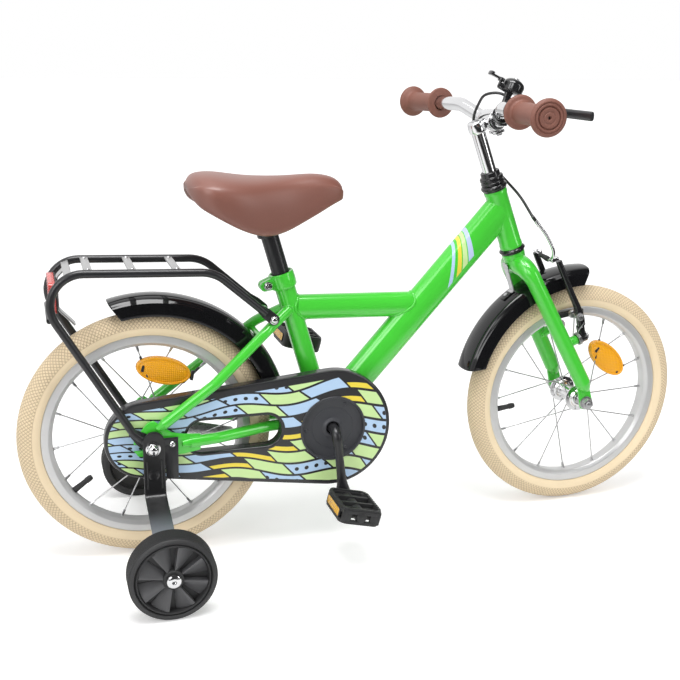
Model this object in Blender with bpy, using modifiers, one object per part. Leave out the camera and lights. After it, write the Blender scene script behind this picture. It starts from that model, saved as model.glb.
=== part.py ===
"""A kids' bike on 16-inch wheels, with stabilisers, a rear carrier and a full chain case.

Metres, +Z up, +X ahead, +Y to the rider's left. The origin is on the floor, under the middle
of the bike. The chain, the cranks and the brake lever are the rider's right, at -Y.
"""

import math

import bmesh
import bpy
from mathutils import Matrix, Vector

FIT = 0.0003
RUN = 0.0006

WHEELBASE = 0.730
TYRE_RADIUS = 0.1925
TYRE_SECTION = 0.0400
RIM_RADIUS = 0.1585
RIM_WIDTH = 0.0280
RIM_DEPTH = 0.0175
SPOKES = 16
SPOKE_RADIUS = 0.0010
VALVE_LENGTH = 0.0340
FRONT_SPOKE_TURN = 0.0
REAR_SPOKE_TURN = -63.0
SPOKE_LEAN = math.radians(55)

HEAD_ANGLE = math.radians(69.5)
FORK_OFFSET = 0.0280
HEAD_TUBE_FOOT = 0.2925
HEAD_TUBE_LENGTH = 0.1000
HEAD_TUBE_RADIUS = 0.0180
STEERER_RADIUS = 0.0127
STEERER_WALL = 0.0013
HEADSET_RADIUS = 0.0215
LOWER_CUP_HEIGHT = 0.0080
UPPER_CUP_HEIGHT = 0.0100
LOCKNUT_HEIGHT = 0.0210

BB_AHEAD = 0.2830
BB_DROP = 0.0025
BB_SHELL_RADIUS = 0.0285
BB_SHELL_HALF = 0.0325
SEAT_ANGLE = math.radians(73.7)
SEAT_TUBE_LENGTH = 0.2520
SEAT_TUBE_RADIUS = 0.0159
SEATPOST_RADIUS = 0.0136
SEATPOST_LENGTH = 0.2500
SEATPOST_TOP = 0.3340

DOWN_TUBE_DEPTH_FOOT = 0.0520
DOWN_TUBE_DEPTH_HEAD = 0.0540
DOWN_TUBE_WIDTH = 0.0370
DOWN_TUBE_BELOW_TOP = 0.0330
TOP_TUBE_DEPTH = 0.0400
TOP_TUBE_WIDTH = 0.0310
TOP_TUBE_UP_SEAT = 0.1950
TOP_TUBE_UP_DOWN = 0.2420

REAR_DROPOUT_INNER = 0.0573
REAR_DROPOUT_THICK = 0.0045
CHAINSTAY_RADIUS = 0.0080
SEATSTAY_RADIUS = 0.0080
STAY_LUG_UP_SEAT = 0.1960

AXLE_RADIUS = 0.0047
NUT_RADIUS = 0.0095
NUT_HEIGHT = 0.0080
WASHER_RADIUS = 0.0115
WASHER_HEIGHT = 0.0020

CHAINLINE = 0.0410
CHAIN_PITCH = 0.0127
RING_TEETH = 32
SPROCKET_TEETH = 18
CHAIN_HEIGHT = 0.0084
CHAIN_WIDTH = 0.0070
CRANK_LENGTH = 0.1020
CRANK_ANGLE = math.radians(-84.2)

CASE_FACE = 0.0525
CASE_BACK = 0.0330
CASE_WALL = 0.0018
CASE_FRONT_RADIUS = 0.0950
CASE_REAR_RADIUS = 0.0600
CASE_REAR_BEHIND = 0.0090
CASE_REAR_RISE = 0.0065
CASE_HOLE_RADIUS = 0.0515
CASE_DISC_DEPTH = 0.0065

PEDAL_LENGTH = 0.0820
PEDAL_WIDTH = 0.0660
PEDAL_HEIGHT = 0.0260
PEDAL_MIDDLE = 0.1290
PEDAL_TILT = math.radians(-14)

GUARD_RADIUS = 0.2140
GUARD_EDGE_RADIUS = 0.1850
GUARD_HALF_WIDTH = 0.0280
GUARD_WALL = 0.0018
GUARD_END_SLANT = math.radians(20)
REAR_GUARD_SHIFT = (0.0066, 0.0050)
FRONT_GUARD_SHIFT = (0.0010, 0.0130)

CARRIER_HALF = 0.0560
CARRIER_TUBE_RADIUS = 0.0060
CARRIER_HEIGHT = 0.4538
CARRIER_FALL = 0.0380
CARRIER_SLATS = (-0.0780, -0.0165, 0.0470)

STABILISER_RADIUS = 0.0615
STABILISER_WIDTH = 0.0370
STABILISER_MIDDLE = 0.2140
STABILISER_AHEAD = 0.0030
ARM_WIDTH = 0.0320
ARM_THICK = 0.0035
ARM_KNEE_HEIGHT = 0.1170
ARM_FOOT_HEIGHT = 0.0820

FORK_DROPOUT_INNER = 0.0500
FORK_DROPOUT_THICK = 0.0050
FORK_LEG_TOP_RADIUS = 0.0170
FORK_LEG_FOOT_RADIUS = 0.0130

STEM_HEIGHT = 0.5000
STEM_REACH = 0.0285
QUILL_RADIUS = 0.0111
BAR_RADIUS = 0.0111
BAR_HALF = 0.2480
BAR_RISE = 0.0200
BAR_DROOP = 0.0030
BAR_SWEEP = 0.0200
GRIP_INNER = BAR_HALF - 0.1030
GRIP_OUTER = BAR_HALF + 0.0040
GRIP_RADIUS = 0.0155
GRIP_INNER_FLANGE = 0.0250
GRIP_OUTER_FLANGE = 0.0260

BRAKE_PIVOT_UP = 0.1085
BRAKE_PIVOT_AHEAD = 0.0600
BRAKE_HALF = 0.0400
BRAKE_ARM_LENGTH = 0.1420
BRAKE_BOW = 0.0050
BRAKE_TOP_BACK = 0.0045
PAD_GAP = 0.0015
PAD_LENGTH = 0.0460
CABLE_RADIUS = 0.0022

LEVER_MIDDLE = BAR_HALF - 0.1210
LEVER_REACH = 0.0690
LEVER_TIP = BAR_HALF - 0.0040

REAR_HUB = Vector((-WHEELBASE / 2, 0, TYRE_RADIUS))
FRONT_HUB = Vector((WHEELBASE / 2, 0, TYRE_RADIUS))
BOTTOM = REAR_HUB + Vector((BB_AHEAD, 0, -BB_DROP))
LEFT = Vector((0, 1, 0))
RIGHT = Vector((0, -1, 0))
UP = Vector((0, 0, 1))
AHEAD = Vector((1, 0, 0))
STEER_UP = Vector((-math.cos(HEAD_ANGLE), 0, math.sin(HEAD_ANGLE)))
STEER_AHEAD = Vector((math.sin(HEAD_ANGLE), 0, math.cos(HEAD_ANGLE)))
STEER_FOOT = FRONT_HUB - STEER_AHEAD * FORK_OFFSET
SEAT_UP = Vector((-math.cos(SEAT_ANGLE), 0, math.sin(SEAT_ANGLE)))
SEAT_AHEAD = Vector((math.sin(SEAT_ANGLE), 0, math.cos(SEAT_ANGLE)))

for old in list(bpy.data.objects):
    bpy.data.objects.remove(old, do_unlink=True)

PARTS = bpy.data.collections.new("kids_bike")
HELPERS = bpy.data.collections.new("cutters")
bpy.context.scene.collection.children.link(PARTS)
bpy.context.scene.collection.children.link(HELPERS)


def on_steering(up, ahead=0.0, side=0.0):
    """A point measured from the foot of the steering axis, along it and square to it."""
    return STEER_FOOT + STEER_UP * up + STEER_AHEAD * ahead + LEFT * side


def on_seat(up, ahead=0.0, side=0.0):
    """A point measured from the bottom bracket, along the seat tube and square to it."""
    return BOTTOM + SEAT_UP * up + SEAT_AHEAD * ahead + LEFT * side


def from_rear(ahead, side, height):
    """A point measured ahead of the rear hub, to the left of the middle and up from the floor."""
    return Vector((REAR_HUB.x + ahead, side, height))


def material(name, colour, roughness, metallic=0.0):
    made = bpy.data.materials.new(name)
    made.use_nodes = True
    shader = made.node_tree.nodes["Principled BSDF"]
    shader.inputs["Base Color"].default_value = (*colour, 1.0)
    shader.inputs["Roughness"].default_value = roughness
    shader.inputs["Metallic"].default_value = metallic
    made.diffuse_color = (*colour, 1.0)
    return made


def axes_matrix(origin, x_axis, y_axis):
    """A placement whose local X and Y follow the two axes."""
    x = x_axis.normalized()
    z = x.cross(y_axis).normalized()
    y = z.cross(x)
    rotation = Matrix((x, y, z)).transposed().to_4x4()
    return Matrix.Translation(origin) @ rotation


def axis_matrix(origin, z_axis):
    """A placement whose local Z follows the axis."""
    return Matrix.Translation(origin) @ z_axis.to_track_quat("Z", "Y").to_matrix().to_4x4()


def new_object(name, data, matrix=None):
    made = bpy.data.objects.new(name, data)
    PARTS.objects.link(made)
    if matrix is not None:
        made.matrix_world = matrix
    return made


def from_bmesh(name, shape, matrix=None):
    bmesh.ops.remove_doubles(shape, verts=shape.verts, dist=0.000002)
    bmesh.ops.recalc_face_normals(shape, faces=shape.faces)
    mesh = bpy.data.meshes.new(name)
    shape.to_mesh(mesh)
    shape.free()
    return new_object(name, mesh, matrix)


def as_mesh(source):
    """The evaluated form of an object as a new mesh object in the same place."""
    graph = bpy.context.evaluated_depsgraph_get()
    mesh = bpy.data.meshes.new_from_object(source.evaluated_get(graph))
    name = source.name
    matrix = source.matrix_world.copy()
    source.name = name + "_source"
    bpy.data.objects.remove(source, do_unlink=True)
    shape = bmesh.new()
    shape.from_mesh(mesh)
    bpy.data.meshes.remove(mesh)
    return from_bmesh(name, shape, matrix)


def helper(piece):
    """Keeps a Boolean's other operand out of the model."""
    PARTS.objects.unlink(piece)
    HELPERS.objects.link(piece)
    piece.hide_render = True
    piece.display_type = "WIRE"
    return piece


def boolean(piece, others, operation):
    for other in others:
        modifier = piece.modifiers.new(operation.lower(), "BOOLEAN")
        modifier.operation = operation
        modifier.object = helper(other)
    return piece


def join(piece, *others):
    return boolean(piece, others, "UNION")


def cut(piece, *others):
    return boolean(piece, others, "DIFFERENCE")


def bored(radius, sides):
    """The corner radius of a many-sided hole whose flats clear a round bar of the radius."""
    return (radius + FIT) / math.cos(math.pi / sides)


def arc(centre, radius, start, end, count):
    """Points on an arc in a plane, from one angle in degrees to another."""
    points = []
    for step in range(count + 1):
        angle = math.radians(start + (end - start) * step / count)
        points.append((centre[0] + radius * math.cos(angle), centre[1] + radius * math.sin(angle)))
    return points


def rounded_path(corners, radii, count=5):
    """A route through the corners with each inner corner rounded to its radius."""
    points = [Vector(corners[0])]
    for before, corner, after, radius in zip(corners, corners[1:], corners[2:], radii):
        into = (Vector(before) - corner).normalized()
        out = (Vector(after) - corner).normalized()
        half = into.angle(out) / 2
        middle = corner + (into + out).normalized() * (radius / math.sin(half))
        start = corner + into * (radius / math.tan(half)) - middle
        end = corner + out * (radius / math.tan(half)) - middle
        sweep = start.angle(end)
        for step in range(count + 1):
            part = step / count
            near = math.sin((1 - part) * sweep) / math.sin(sweep)
            far = math.sin(part * sweep) / math.sin(sweep)
            points.append(middle + start * near + end * far)
    points.append(Vector(corners[-1]))
    return points


def smooth_route(points, count):
    """A Catmull-Rom curve through the route's own points."""
    ends = [points[0] * 2 - points[1]] + list(points) + [points[-1] * 2 - points[-2]]
    route = []
    for a, b, c, d in zip(ends, ends[1:], ends[2:], ends[3:]):
        for step in range(count):
            t = step / count
            route.append(
                (b * 2 + (c - a) * t + (a * 2 - b * 5 + c * 4 - d) * t * t
                 + (b * 3 - a - c * 3 + d) * t * t * t) / 2
            )
    return route + [points[-1]]


def tube(name, points, radius, sides=12, end_radius=None):
    """A round tube or wire along the points, tapering evenly to its end radius."""
    curve = bpy.data.curves.new(name, "CURVE")
    curve.dimensions = "3D"
    curve.bevel_depth = radius
    curve.bevel_resolution = (sides - 4) // 2
    curve.use_fill_caps = True
    spline = curve.splines.new("POLY")
    spline.points.add(len(points) - 1)
    taper = 1.0 if end_radius is None else end_radius / radius
    for index, (place, point) in enumerate(zip(spline.points, points)):
        place.co = (*point, 1.0)
        place.radius = 1.0 + (taper - 1.0) * index / (len(points) - 1)
    return as_mesh(new_object(name, curve))


def rod(name, start, end, radius, sides=16, end_radius=None):
    """A straight bar between two points."""
    shape = bmesh.new()
    length = (end - start).length
    bmesh.ops.create_cone(
        shape, cap_ends=True, segments=sides, radius1=radius,
        radius2=radius if end_radius is None else end_radius, depth=length,
        matrix=Matrix.Translation((0, 0, length / 2)),
    )
    return from_bmesh(name, shape, axis_matrix(start, end - start))


def block(name, size, matrix, bevel=0.0, segments=2):
    """A box with its centre at the placement and its edges rounded."""
    shape = bmesh.new()
    bmesh.ops.create_cube(shape, size=1.0)
    bmesh.ops.scale(shape, vec=size, verts=shape.verts)
    if bevel:
        bmesh.ops.bevel(
            shape, geom=shape.edges, offset=bevel, offset_type="OFFSET", segments=segments,
            profile=0.5, affect="EDGES", material=-1,
        )
    return from_bmesh(name, shape, matrix)


def turned(name, profile, origin, axis, steps=32, closed=True, sweep=360.0, turn=0.0):
    """A profile of (radius, distance along the axis) turned about the axis."""
    mesh = bpy.data.meshes.new(name)
    points = [(radius, 0.0, along) for radius, along in profile]
    edges = [(index, index + 1) for index in range(len(points) - 1)]
    if closed:
        edges.append((len(points) - 1, 0))
    mesh.from_pydata(points, edges, [])
    matrix = axis_matrix(origin, axis) @ Matrix.Rotation(math.radians(turn), 4, "Z")
    made = new_object(name, mesh, matrix)
    screw = made.modifiers.new("turn", "SCREW")
    screw.axis = "Z"
    screw.angle = math.radians(sweep)
    screw.steps = steps
    screw.render_steps = steps
    screw.use_merge_vertices = True
    screw.merge_threshold = 0.000002
    return as_mesh(made)


def plate(name, outlines, thick, origin, x_axis, y_axis):
    """A flat plate: its first outline is the edge and the others are holes."""
    curve = bpy.data.curves.new(name, "CURVE")
    curve.dimensions = "2D"
    curve.fill_mode = "BOTH"
    curve.extrude = thick / 2
    for outline in outlines:
        spline = curve.splines.new("POLY")
        spline.points.add(len(outline) - 1)
        spline.use_cyclic_u = True
        for place, point in zip(spline.points, outline):
            place.co = (point[0], point[1], 0.0, 1.0)
    return as_mesh(new_object(name, curve, axes_matrix(origin, x_axis, y_axis)))


def circle(radius, count, centre=(0.0, 0.0)):
    return arc(centre, radius, 0, 360, count)[:-1]


def rounded_box(width, height, radius, count=3, centre=(0.0, 0.0)):
    x = width / 2 - radius
    y = height / 2 - radius
    points = []
    for corner, (side, rise) in enumerate(((1, 1), (-1, 1), (-1, -1), (1, -1))):
        middle = (centre[0] + side * x, centre[1] + rise * y)
        points += arc(middle, radius, corner * 90, corner * 90 + 90, count)
    return points


def slot(length, width, count, centre=(0.0, 0.0)):
    """A slot with round ends, as long as the distance between the ends' centres."""
    half = length / 2
    points = arc((centre[0] + half, centre[1]), width / 2, -90, 90, count)
    return points + arc((centre[0] - half, centre[1]), width / 2, 90, 270, count)


def belt(first, first_radius, second, second_radius, count):
    """The outline of a belt round two circles, the first being ahead of the second."""
    run = math.hypot(first[0] - second[0], first[1] - second[1])
    tilt = math.degrees(math.atan2(first[1] - second[1], first[0] - second[0]))
    lean = math.degrees(math.asin((first_radius - second_radius) / run))
    points = arc(first, first_radius, tilt - 90 - lean, tilt + 90 + lean, count)
    return points + arc(second, second_radius, tilt + 90 + lean, tilt + 270 - lean, count)


def strip(name, path, width, thick, origin, x_axis, y_axis):
    """A flat bar bent along a route in the plane of the two axes, and as wide as given across it."""
    left = []
    right = []
    for index, point in enumerate(path):
        before = Vector(path[max(index - 1, 0)])
        after = Vector(path[min(index + 1, len(path) - 1)])
        along = (after - before).normalized()
        across = Vector((-along[1], along[0])) * (thick / 2)
        left.append((point[0] + across[0], point[1] + across[1]))
        right.append((point[0] - across[0], point[1] - across[1]))
    return plate(name, [left + right[::-1]], width, origin, x_axis, y_axis)


def loft(name, rings, matrix=None):
    """A closed skin over rings that have the same number of points."""
    shape = bmesh.new()
    loops = []
    for ring in rings:
        verts = [shape.verts.new(point) for point in ring]
        loops.append([shape.edges.new((a, b)) for a, b in zip(verts, verts[1:] + verts[:1])])
    for first, second in zip(loops, loops[1:]):
        bmesh.ops.bridge_loops(shape, edges=first + second)
    bmesh.ops.contextual_create(shape, geom=loops[0])
    bmesh.ops.contextual_create(shape, geom=loops[-1])
    return from_bmesh(name, shape, matrix)


def oval_ring(centre, across, along, width, depth, count):
    ring = []
    for step in range(count):
        angle = 2 * math.pi * step / count
        ring.append(
            centre + across * (width / 2 * math.cos(angle)) + along * (depth / 2 * math.sin(angle))
        )
    return ring


def oval_tube(name, start, end, width, start_depth, end_depth, sides=16):
    """A straight oval tube whose depth lies in the plane of the bike."""
    depth_axis = (end - start).cross(LEFT).normalized()
    rings = [
        oval_ring(start, LEFT, depth_axis, width, start_depth, sides),
        oval_ring(end, LEFT, depth_axis, width, end_depth, sides),
    ]
    return loft(name, rings)


def axis_empty(name, origin, axis, parent=None):
    """An empty whose Z lies on a joint's axis. The joint's pieces hang from it."""
    made = bpy.data.objects.new(name, None)
    made.empty_display_type = "SINGLE_ARROW"
    made.empty_display_size = 0.05
    PARTS.objects.link(made)
    made.matrix_world = axis_matrix(origin, axis)
    if parent is not None:
        hang(made, parent)
    return made


def hang(piece, parent):
    """Parents a piece without moving it."""
    bpy.context.view_layer.update()
    place = piece.matrix_world.copy()
    piece.parent = parent
    piece.matrix_parent_inverse = parent.matrix_world.inverted()
    piece.matrix_world = place


def finish(piece, finish_material, parent=None, smooth_below=35):
    """Gives a piece its one material, smooth shading and its place on a joint."""
    piece.data.materials.clear()
    piece.data.materials.append(finish_material)
    piece.data.shade_smooth()
    piece.data.set_sharp_from_angle(angle=math.radians(smooth_below))
    if parent is not None:
        hang(piece, parent)
    return piece


GREEN = material("green_paint", (0.075, 0.56, 0.03), 0.22)
GLOSS_BLACK = material("gloss_black", (0.012, 0.012, 0.013), 0.15)
SATIN_BLACK = material("satin_black", (0.022, 0.022, 0.024), 0.42)
BLACK_PLASTIC = material("black_plastic", (0.025, 0.025, 0.027), 0.5)
CHROME = material("chrome", (0.80, 0.80, 0.80), 0.12, 1.0)
ALLOY = material("brushed_alloy", (0.62, 0.62, 0.62), 0.34, 1.0)
STEEL = material("zinc_steel", (0.50, 0.50, 0.50), 0.35, 1.0)
CREAM = material("cream_rubber", (0.66, 0.49, 0.30), 0.75)
BROWN = material("brown_vinyl", (0.20, 0.085, 0.055), 0.45)
BROWN_RUBBER = material("brown_rubber", (0.19, 0.08, 0.055), 0.6)
RED_LENS = material("red_lens", (0.45, 0.02, 0.015), 0.2)
ORANGE_LENS = material("orange_lens", (0.85, 0.27, 0.01), 0.22)

STEERING = axis_empty("steering_axis", on_steering(HEAD_TUBE_FOOT), STEER_UP)
FRONT_WHEEL = axis_empty("front_wheel_axis", FRONT_HUB, LEFT, STEERING)
REAR_WHEEL = axis_empty("rear_wheel_axis", REAR_HUB, LEFT)
DRIVER = axis_empty("driver_axis", REAR_HUB, LEFT)
CRANKS = axis_empty("crank_axis", BOTTOM, LEFT)
SEAT = axis_empty("seat_axis", on_seat(SEAT_TUBE_LENGTH), SEAT_UP)


WHEEL_STEPS = 24


def tyre(name, hub, parent):
    """A balloon tyre whose beads sit inside the rim."""
    section = TYRE_SECTION / 2
    middle = TYRE_RADIUS - section
    bead = RIM_WIDTH / 2 - 0.0020 - FIT
    lip = math.sqrt(section ** 2 - (middle - RIM_RADIUS - FIT) ** 2)
    open_angle = math.degrees(math.atan2(lip, RIM_RADIUS + FIT - middle))
    arch = [(middle + x, y) for x, y in arc((0.0, 0.0), section, -open_angle, open_angle, 4)]
    foot = RIM_RADIUS - 0.0055
    profile = [(foot, -bead), (RIM_RADIUS + FIT, -bead)] + arch
    profile += [(RIM_RADIUS + FIT, bead), (foot, bead)]
    return finish(turned(name, profile, hub, LEFT, WHEEL_STEPS), CREAM, parent, 50)


def rim(name, hub, valve_angle, parent):
    """A double-walled alloy rim with hooked flanges and the valve."""
    half = RIM_WIDTH / 2
    well = RIM_RADIUS - 0.0065
    inner = RIM_RADIUS - RIM_DEPTH
    side = [(inner, half * 0.60), (well - 0.0050, half), (RIM_RADIUS, half), (RIM_RADIUS, half - 0.0020),
            (well, half - 0.0020)]
    profile = side + [(radius, -along) for radius, along in reversed(side)]
    made = turned(name, profile, hub, LEFT, WHEEL_STEPS)
    out = direction(valve_angle)
    valve = rod(name + "_valve", hub + out * (inner + 0.004), hub + out * (inner - VALVE_LENGTH), 0.0042,
                6, 0.0036)
    return finish(join(made, valve), ALLOY, parent)


def spoke_line(hub, turn, index, reach, holes):
    """The two ends of one spoke. Sides alternate, and so does the way each side's spokes lean."""
    side, lean = ((1, -1), (-1, 1), (1, 1), (-1, -1))[index % 4]
    at_rim = math.radians(turn) + 2 * math.pi * index / SPOKES
    facet = 2 * math.pi / WHEEL_STEPS
    flat = (RIM_RADIUS - RIM_DEPTH) * math.cos(facet / 2)
    inner = flat / math.cos(at_rim % facet - facet / 2)
    at_hub = at_rim + SPOKE_LEAN * lean
    start = hub + Vector((holes * math.cos(at_hub), side * (reach[side] - 0.0010 * lean),
                          holes * math.sin(at_hub)))
    end = hub + Vector((inner * math.cos(at_rim), side * 0.0030, inner * math.sin(at_rim)))
    return start, end


def spoke_set(name, hub, turn, quarter, reach, holes):
    """Every fourth spoke: the ones of one side that lean the same way."""
    shape = bmesh.new()
    for index in range(quarter, SPOKES, 4):
        start, end = spoke_line(hub, turn, index, reach, holes)
        end = start.lerp(end, 1 - (0.0004 + FIT) / (end - start).length)
        run = end - start
        place = Matrix.Translation((start + end) / 2) @ run.to_track_quat("Z", "Y").to_matrix().to_4x4()
        bmesh.ops.create_cone(
            shape, cap_ends=True, segments=3, radius1=SPOKE_RADIUS, radius2=SPOKE_RADIUS,
            depth=run.length, matrix=place,
        )
    return from_bmesh(name, shape)


def hub_with_spokes(name, hub, turn, profile, reach, holes, finish_material, parent):
    made = turned(name, profile, hub, LEFT, 12)
    for quarter in range(4):
        join(made, spoke_set(f"{name}_spokes_{quarter}", hub, turn, quarter, reach, holes))
    return finish(made, finish_material, parent)


FRONT_FLANGE = 0.0270
FRONT_FLANGE_RADIUS = 0.0230
FRONT_HUB_END = FRONT_FLANGE + 0.0070
FRONT_REACH = {-1: FRONT_FLANGE, 1: FRONT_FLANGE}
FRONT_HOLES = FRONT_FLANGE_RADIUS - 0.0035


def front_wheel():
    tyre("front_tyre", FRONT_HUB, FRONT_WHEEL)
    rim("front_rim", FRONT_HUB, 187.0, FRONT_WHEEL)
    bore = AXLE_RADIUS + RUN
    half = [
        (bore, FRONT_HUB_END), (0.0135, FRONT_HUB_END), (0.0145, FRONT_FLANGE + 0.0018),
        (FRONT_FLANGE_RADIUS, FRONT_FLANGE + 0.0018), (FRONT_FLANGE_RADIUS, FRONT_FLANGE - 0.0018),
        (0.0125, FRONT_FLANGE - 0.0040),
    ]
    profile = half + [(radius, -along) for radius, along in reversed(half)]
    hub_with_spokes("front_hub", FRONT_HUB, FRONT_SPOKE_TURN, profile, FRONT_REACH, FRONT_HOLES, ALLOY,
                    FRONT_WHEEL)
    spoke_reflector("front_spoke_reflector", FRONT_HUB, FRONT_SPOKE_TURN, (1, 3), 47.0, 0.0860,
                    FRONT_REACH, FRONT_HOLES, FRONT_WHEEL)


REAR_FLANGE_RADIUS = 0.0330
HUB_SHELL_RADIUS = 0.0225
REAR_REACH = {-1: 0.0235, 1: 0.0280}
REAR_HOLES = REAR_FLANGE_RADIUS - 0.0035
REAR_HUB_END = REAR_REACH[-1] + 0.0060


def rear_wheel():
    """The coaster hub's shell is wide, because the brake is inside it."""
    tyre("rear_tyre", REAR_HUB, REAR_WHEEL)
    rim("rear_rim", REAR_HUB, 216.0, REAR_WHEEL)
    bore = AXLE_RADIUS + RUN
    left = REAR_REACH[1]
    right = REAR_REACH[-1]
    profile = [
        (bore, left + 0.0080), (0.0200, left + 0.0080), (HUB_SHELL_RADIUS, left + 0.0018),
        (REAR_FLANGE_RADIUS, left + 0.0018), (REAR_FLANGE_RADIUS, left - 0.0018),
        (HUB_SHELL_RADIUS, left - 0.0035), (HUB_SHELL_RADIUS, 0.0035 - right),
        (REAR_FLANGE_RADIUS, 0.0018 - right), (REAR_FLANGE_RADIUS, -0.0018 - right),
        (0.0190, -0.0018 - right), (0.0180, -REAR_HUB_END), (bore, -REAR_HUB_END),
    ]
    hub_with_spokes("rear_hub", REAR_HUB, REAR_SPOKE_TURN, profile, REAR_REACH, REAR_HOLES, CHROME,
                    REAR_WHEEL)
    spoke_reflector("rear_spoke_reflector", REAR_HUB, REAR_SPOKE_TURN, (5, 7), 75.0, 0.1040, REAR_REACH,
                    REAR_HOLES, REAR_WHEEL)


def spoke_reflector(name, hub, turn, spokes, angle, out_to, reach, holes, parent):
    """A moulded oval lens that clips over two spokes on the right of the wheel."""
    out = direction(angle)
    across = LEFT.cross(out)
    lines = [spoke_line(hub, turn, index, reach, holes) for index in spokes]
    depth = 0.0
    for start, end in lines:
        share = (out_to - (start - hub).dot(out)) / (end - start).dot(out)
        depth += start.lerp(end, share).y / 2
    outline = []
    for step in range(14):
        turned_by = 2 * math.pi * step / 14
        outline.append((REFLECTOR_LENGTH / 2 * math.cos(turned_by),
                        REFLECTOR_HEIGHT / 2 * math.sin(turned_by)))
    made = plate(name, [outline], REFLECTOR_THICK, hub + out * out_to + LEFT * depth, across, out)
    for number, (start, end) in enumerate(lines):
        cut(made, rod(f"{name}_groove_{number}", start, end, SPOKE_RADIUS + FIT, 6))
    return finish(made, ORANGE_LENS, parent)


REFLECTOR_LENGTH = 0.0840
REFLECTOR_HEIGHT = 0.0420
REFLECTOR_THICK = 0.0120


def axle(name, hub, shoulder, shoulder_radius, seat, end, parent=None):
    """A spindle with its cones inside the dropouts and its nuts outside all they clamp."""
    made = rod(name, hub - LEFT * end, hub + LEFT * end, AXLE_RADIUS, 8)
    for side in (-1, 1):
        cone = rod(
            f"{name}_cone_{side}", hub + LEFT * (side * shoulder[side]),
            hub + LEFT * (side * (seat[0] - FIT)), shoulder_radius, 6,
        )
        face = seat[1] + FIT
        washer = rod(f"{name}_washer_{side}", hub + LEFT * (side * face),
                     hub + LEFT * (side * (face + WASHER_HEIGHT)), WASHER_RADIUS, 8)
        nut = rod(f"{name}_nut_{side}", hub + LEFT * (side * face),
                  hub + LEFT * (side * (face + NUT_HEIGHT)), NUT_RADIUS, 6, NUT_RADIUS * 0.94)
        join(made, cone, washer, nut)
    return finish(made, STEEL, parent)


CARRIER_END_THICK = 0.0025
LOCK_THICK = 0.0020
CARRIER_END = REAR_DROPOUT_INNER + REAR_DROPOUT_THICK + FIT
LOCK_INNER = CARRIER_END + CARRIER_END_THICK + FIT
ARM_INNER = LOCK_INNER + LOCK_THICK + FIT
CLAMPED = ARM_INNER + ARM_THICK


def axles():
    front_cone = FRONT_HUB_END + RUN
    front_seat = (FORK_DROPOUT_INNER, FORK_DROPOUT_INNER + FORK_DROPOUT_THICK)
    axle("front_axle", FRONT_HUB, {-1: front_cone, 1: front_cone}, 0.0085, front_seat,
         front_seat[1] + NUT_HEIGHT + 0.0040, STEERING)
    axle("rear_axle", REAR_HUB,
         {-1: CHAINLINE + 0.0040 + RUN, 1: BRAKE_ARM_SIDE + BRAKE_ARM_THICK + FIT}, 0.0085,
         (REAR_DROPOUT_INNER, CLAMPED), CLAMPED + NUT_HEIGHT + 0.0040)


BRAKE_ARM_SIDE = 0.0405
BRAKE_ARM_THICK = 0.0030
BRAKE_ARM_REACH = 0.1350


def coaster_brake_arm():
    """The flat lever that holds the hub's brake still, clipped to the left chain stay."""
    end = (BRAKE_ARM_REACH, -0.0260)
    outline = arc((0.0, 0.0), 0.0150, 60, 300, 6) + arc(end, 0.0080, -90, 90, 3)
    made = plate(
        "coaster_brake_arm", [outline, circle(AXLE_RADIUS + FIT, 8)], BRAKE_ARM_THICK,
        REAR_HUB + LEFT * (BRAKE_ARM_SIDE + BRAKE_ARM_THICK / 2), AHEAD, UP,
    )
    return finish(made, STEEL)


def chainstay_route(side):
    """From the bottom bracket, out through the chain case's slot, to the dropout."""
    height = BOTTOM.z + 0.0040
    inner = CASE_BACK - CHAINSTAY_RADIUS - RUN
    outer = CASE_FACE + CHAINSTAY_RADIUS + RUN
    corners = [
        from_rear(BB_AHEAD - 0.0130, side * inner, height),
        from_rear(BB_AHEAD - 0.0930, side * inner, height),
        from_rear(0.0980, side * (outer - 0.0065), height),
        from_rear(0.0560, side * outer, height),
    ]
    return rounded_path(corners, [0.0400, 0.0400], 3)


def seatstay_route(side):
    """From the side of the seat tube, out round the mudguard, down to the dropout."""
    outer = CASE_FACE + SEATSTAY_RADIUS + RUN
    top = on_seat(STAY_LUG_UP_SEAT, -0.0060, side * 0.0100)
    guard_side = GUARD_HALF_WIDTH + SEATSTAY_RADIUS + 0.0015
    shoulder = Vector((BOTTOM.x - 0.1030, side * guard_side, BOTTOM.z + 0.1600))
    above_case = from_rear(0.0960, side * outer, TYRE_RADIUS + 0.0890)
    return rounded_path([top, shoulder, above_case, from_rear(0.0180, side * outer, TYRE_RADIUS + 0.0330)],
                        [0.0500, 0.0500], 3)


def dropout_outline():
    """The rear dropout, with its slot for the axle open to the back."""
    slot_half = AXLE_RADIUS + FIT
    slot_end = arc((0.0080, 0.0), slot_half, -90, 90, 6)
    return (
        [(-0.0270, -slot_half)] + slot_end + [(-0.0270, slot_half), (-0.0240, 0.0130)]
        + arc((0.0020, 0.0250), 0.0140, 150, 80, 3) + [(0.0720, 0.0140), (0.0720, -0.0150)]
        + [(0.0300, -0.0170), (-0.0230, -0.0130)]
    )


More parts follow.
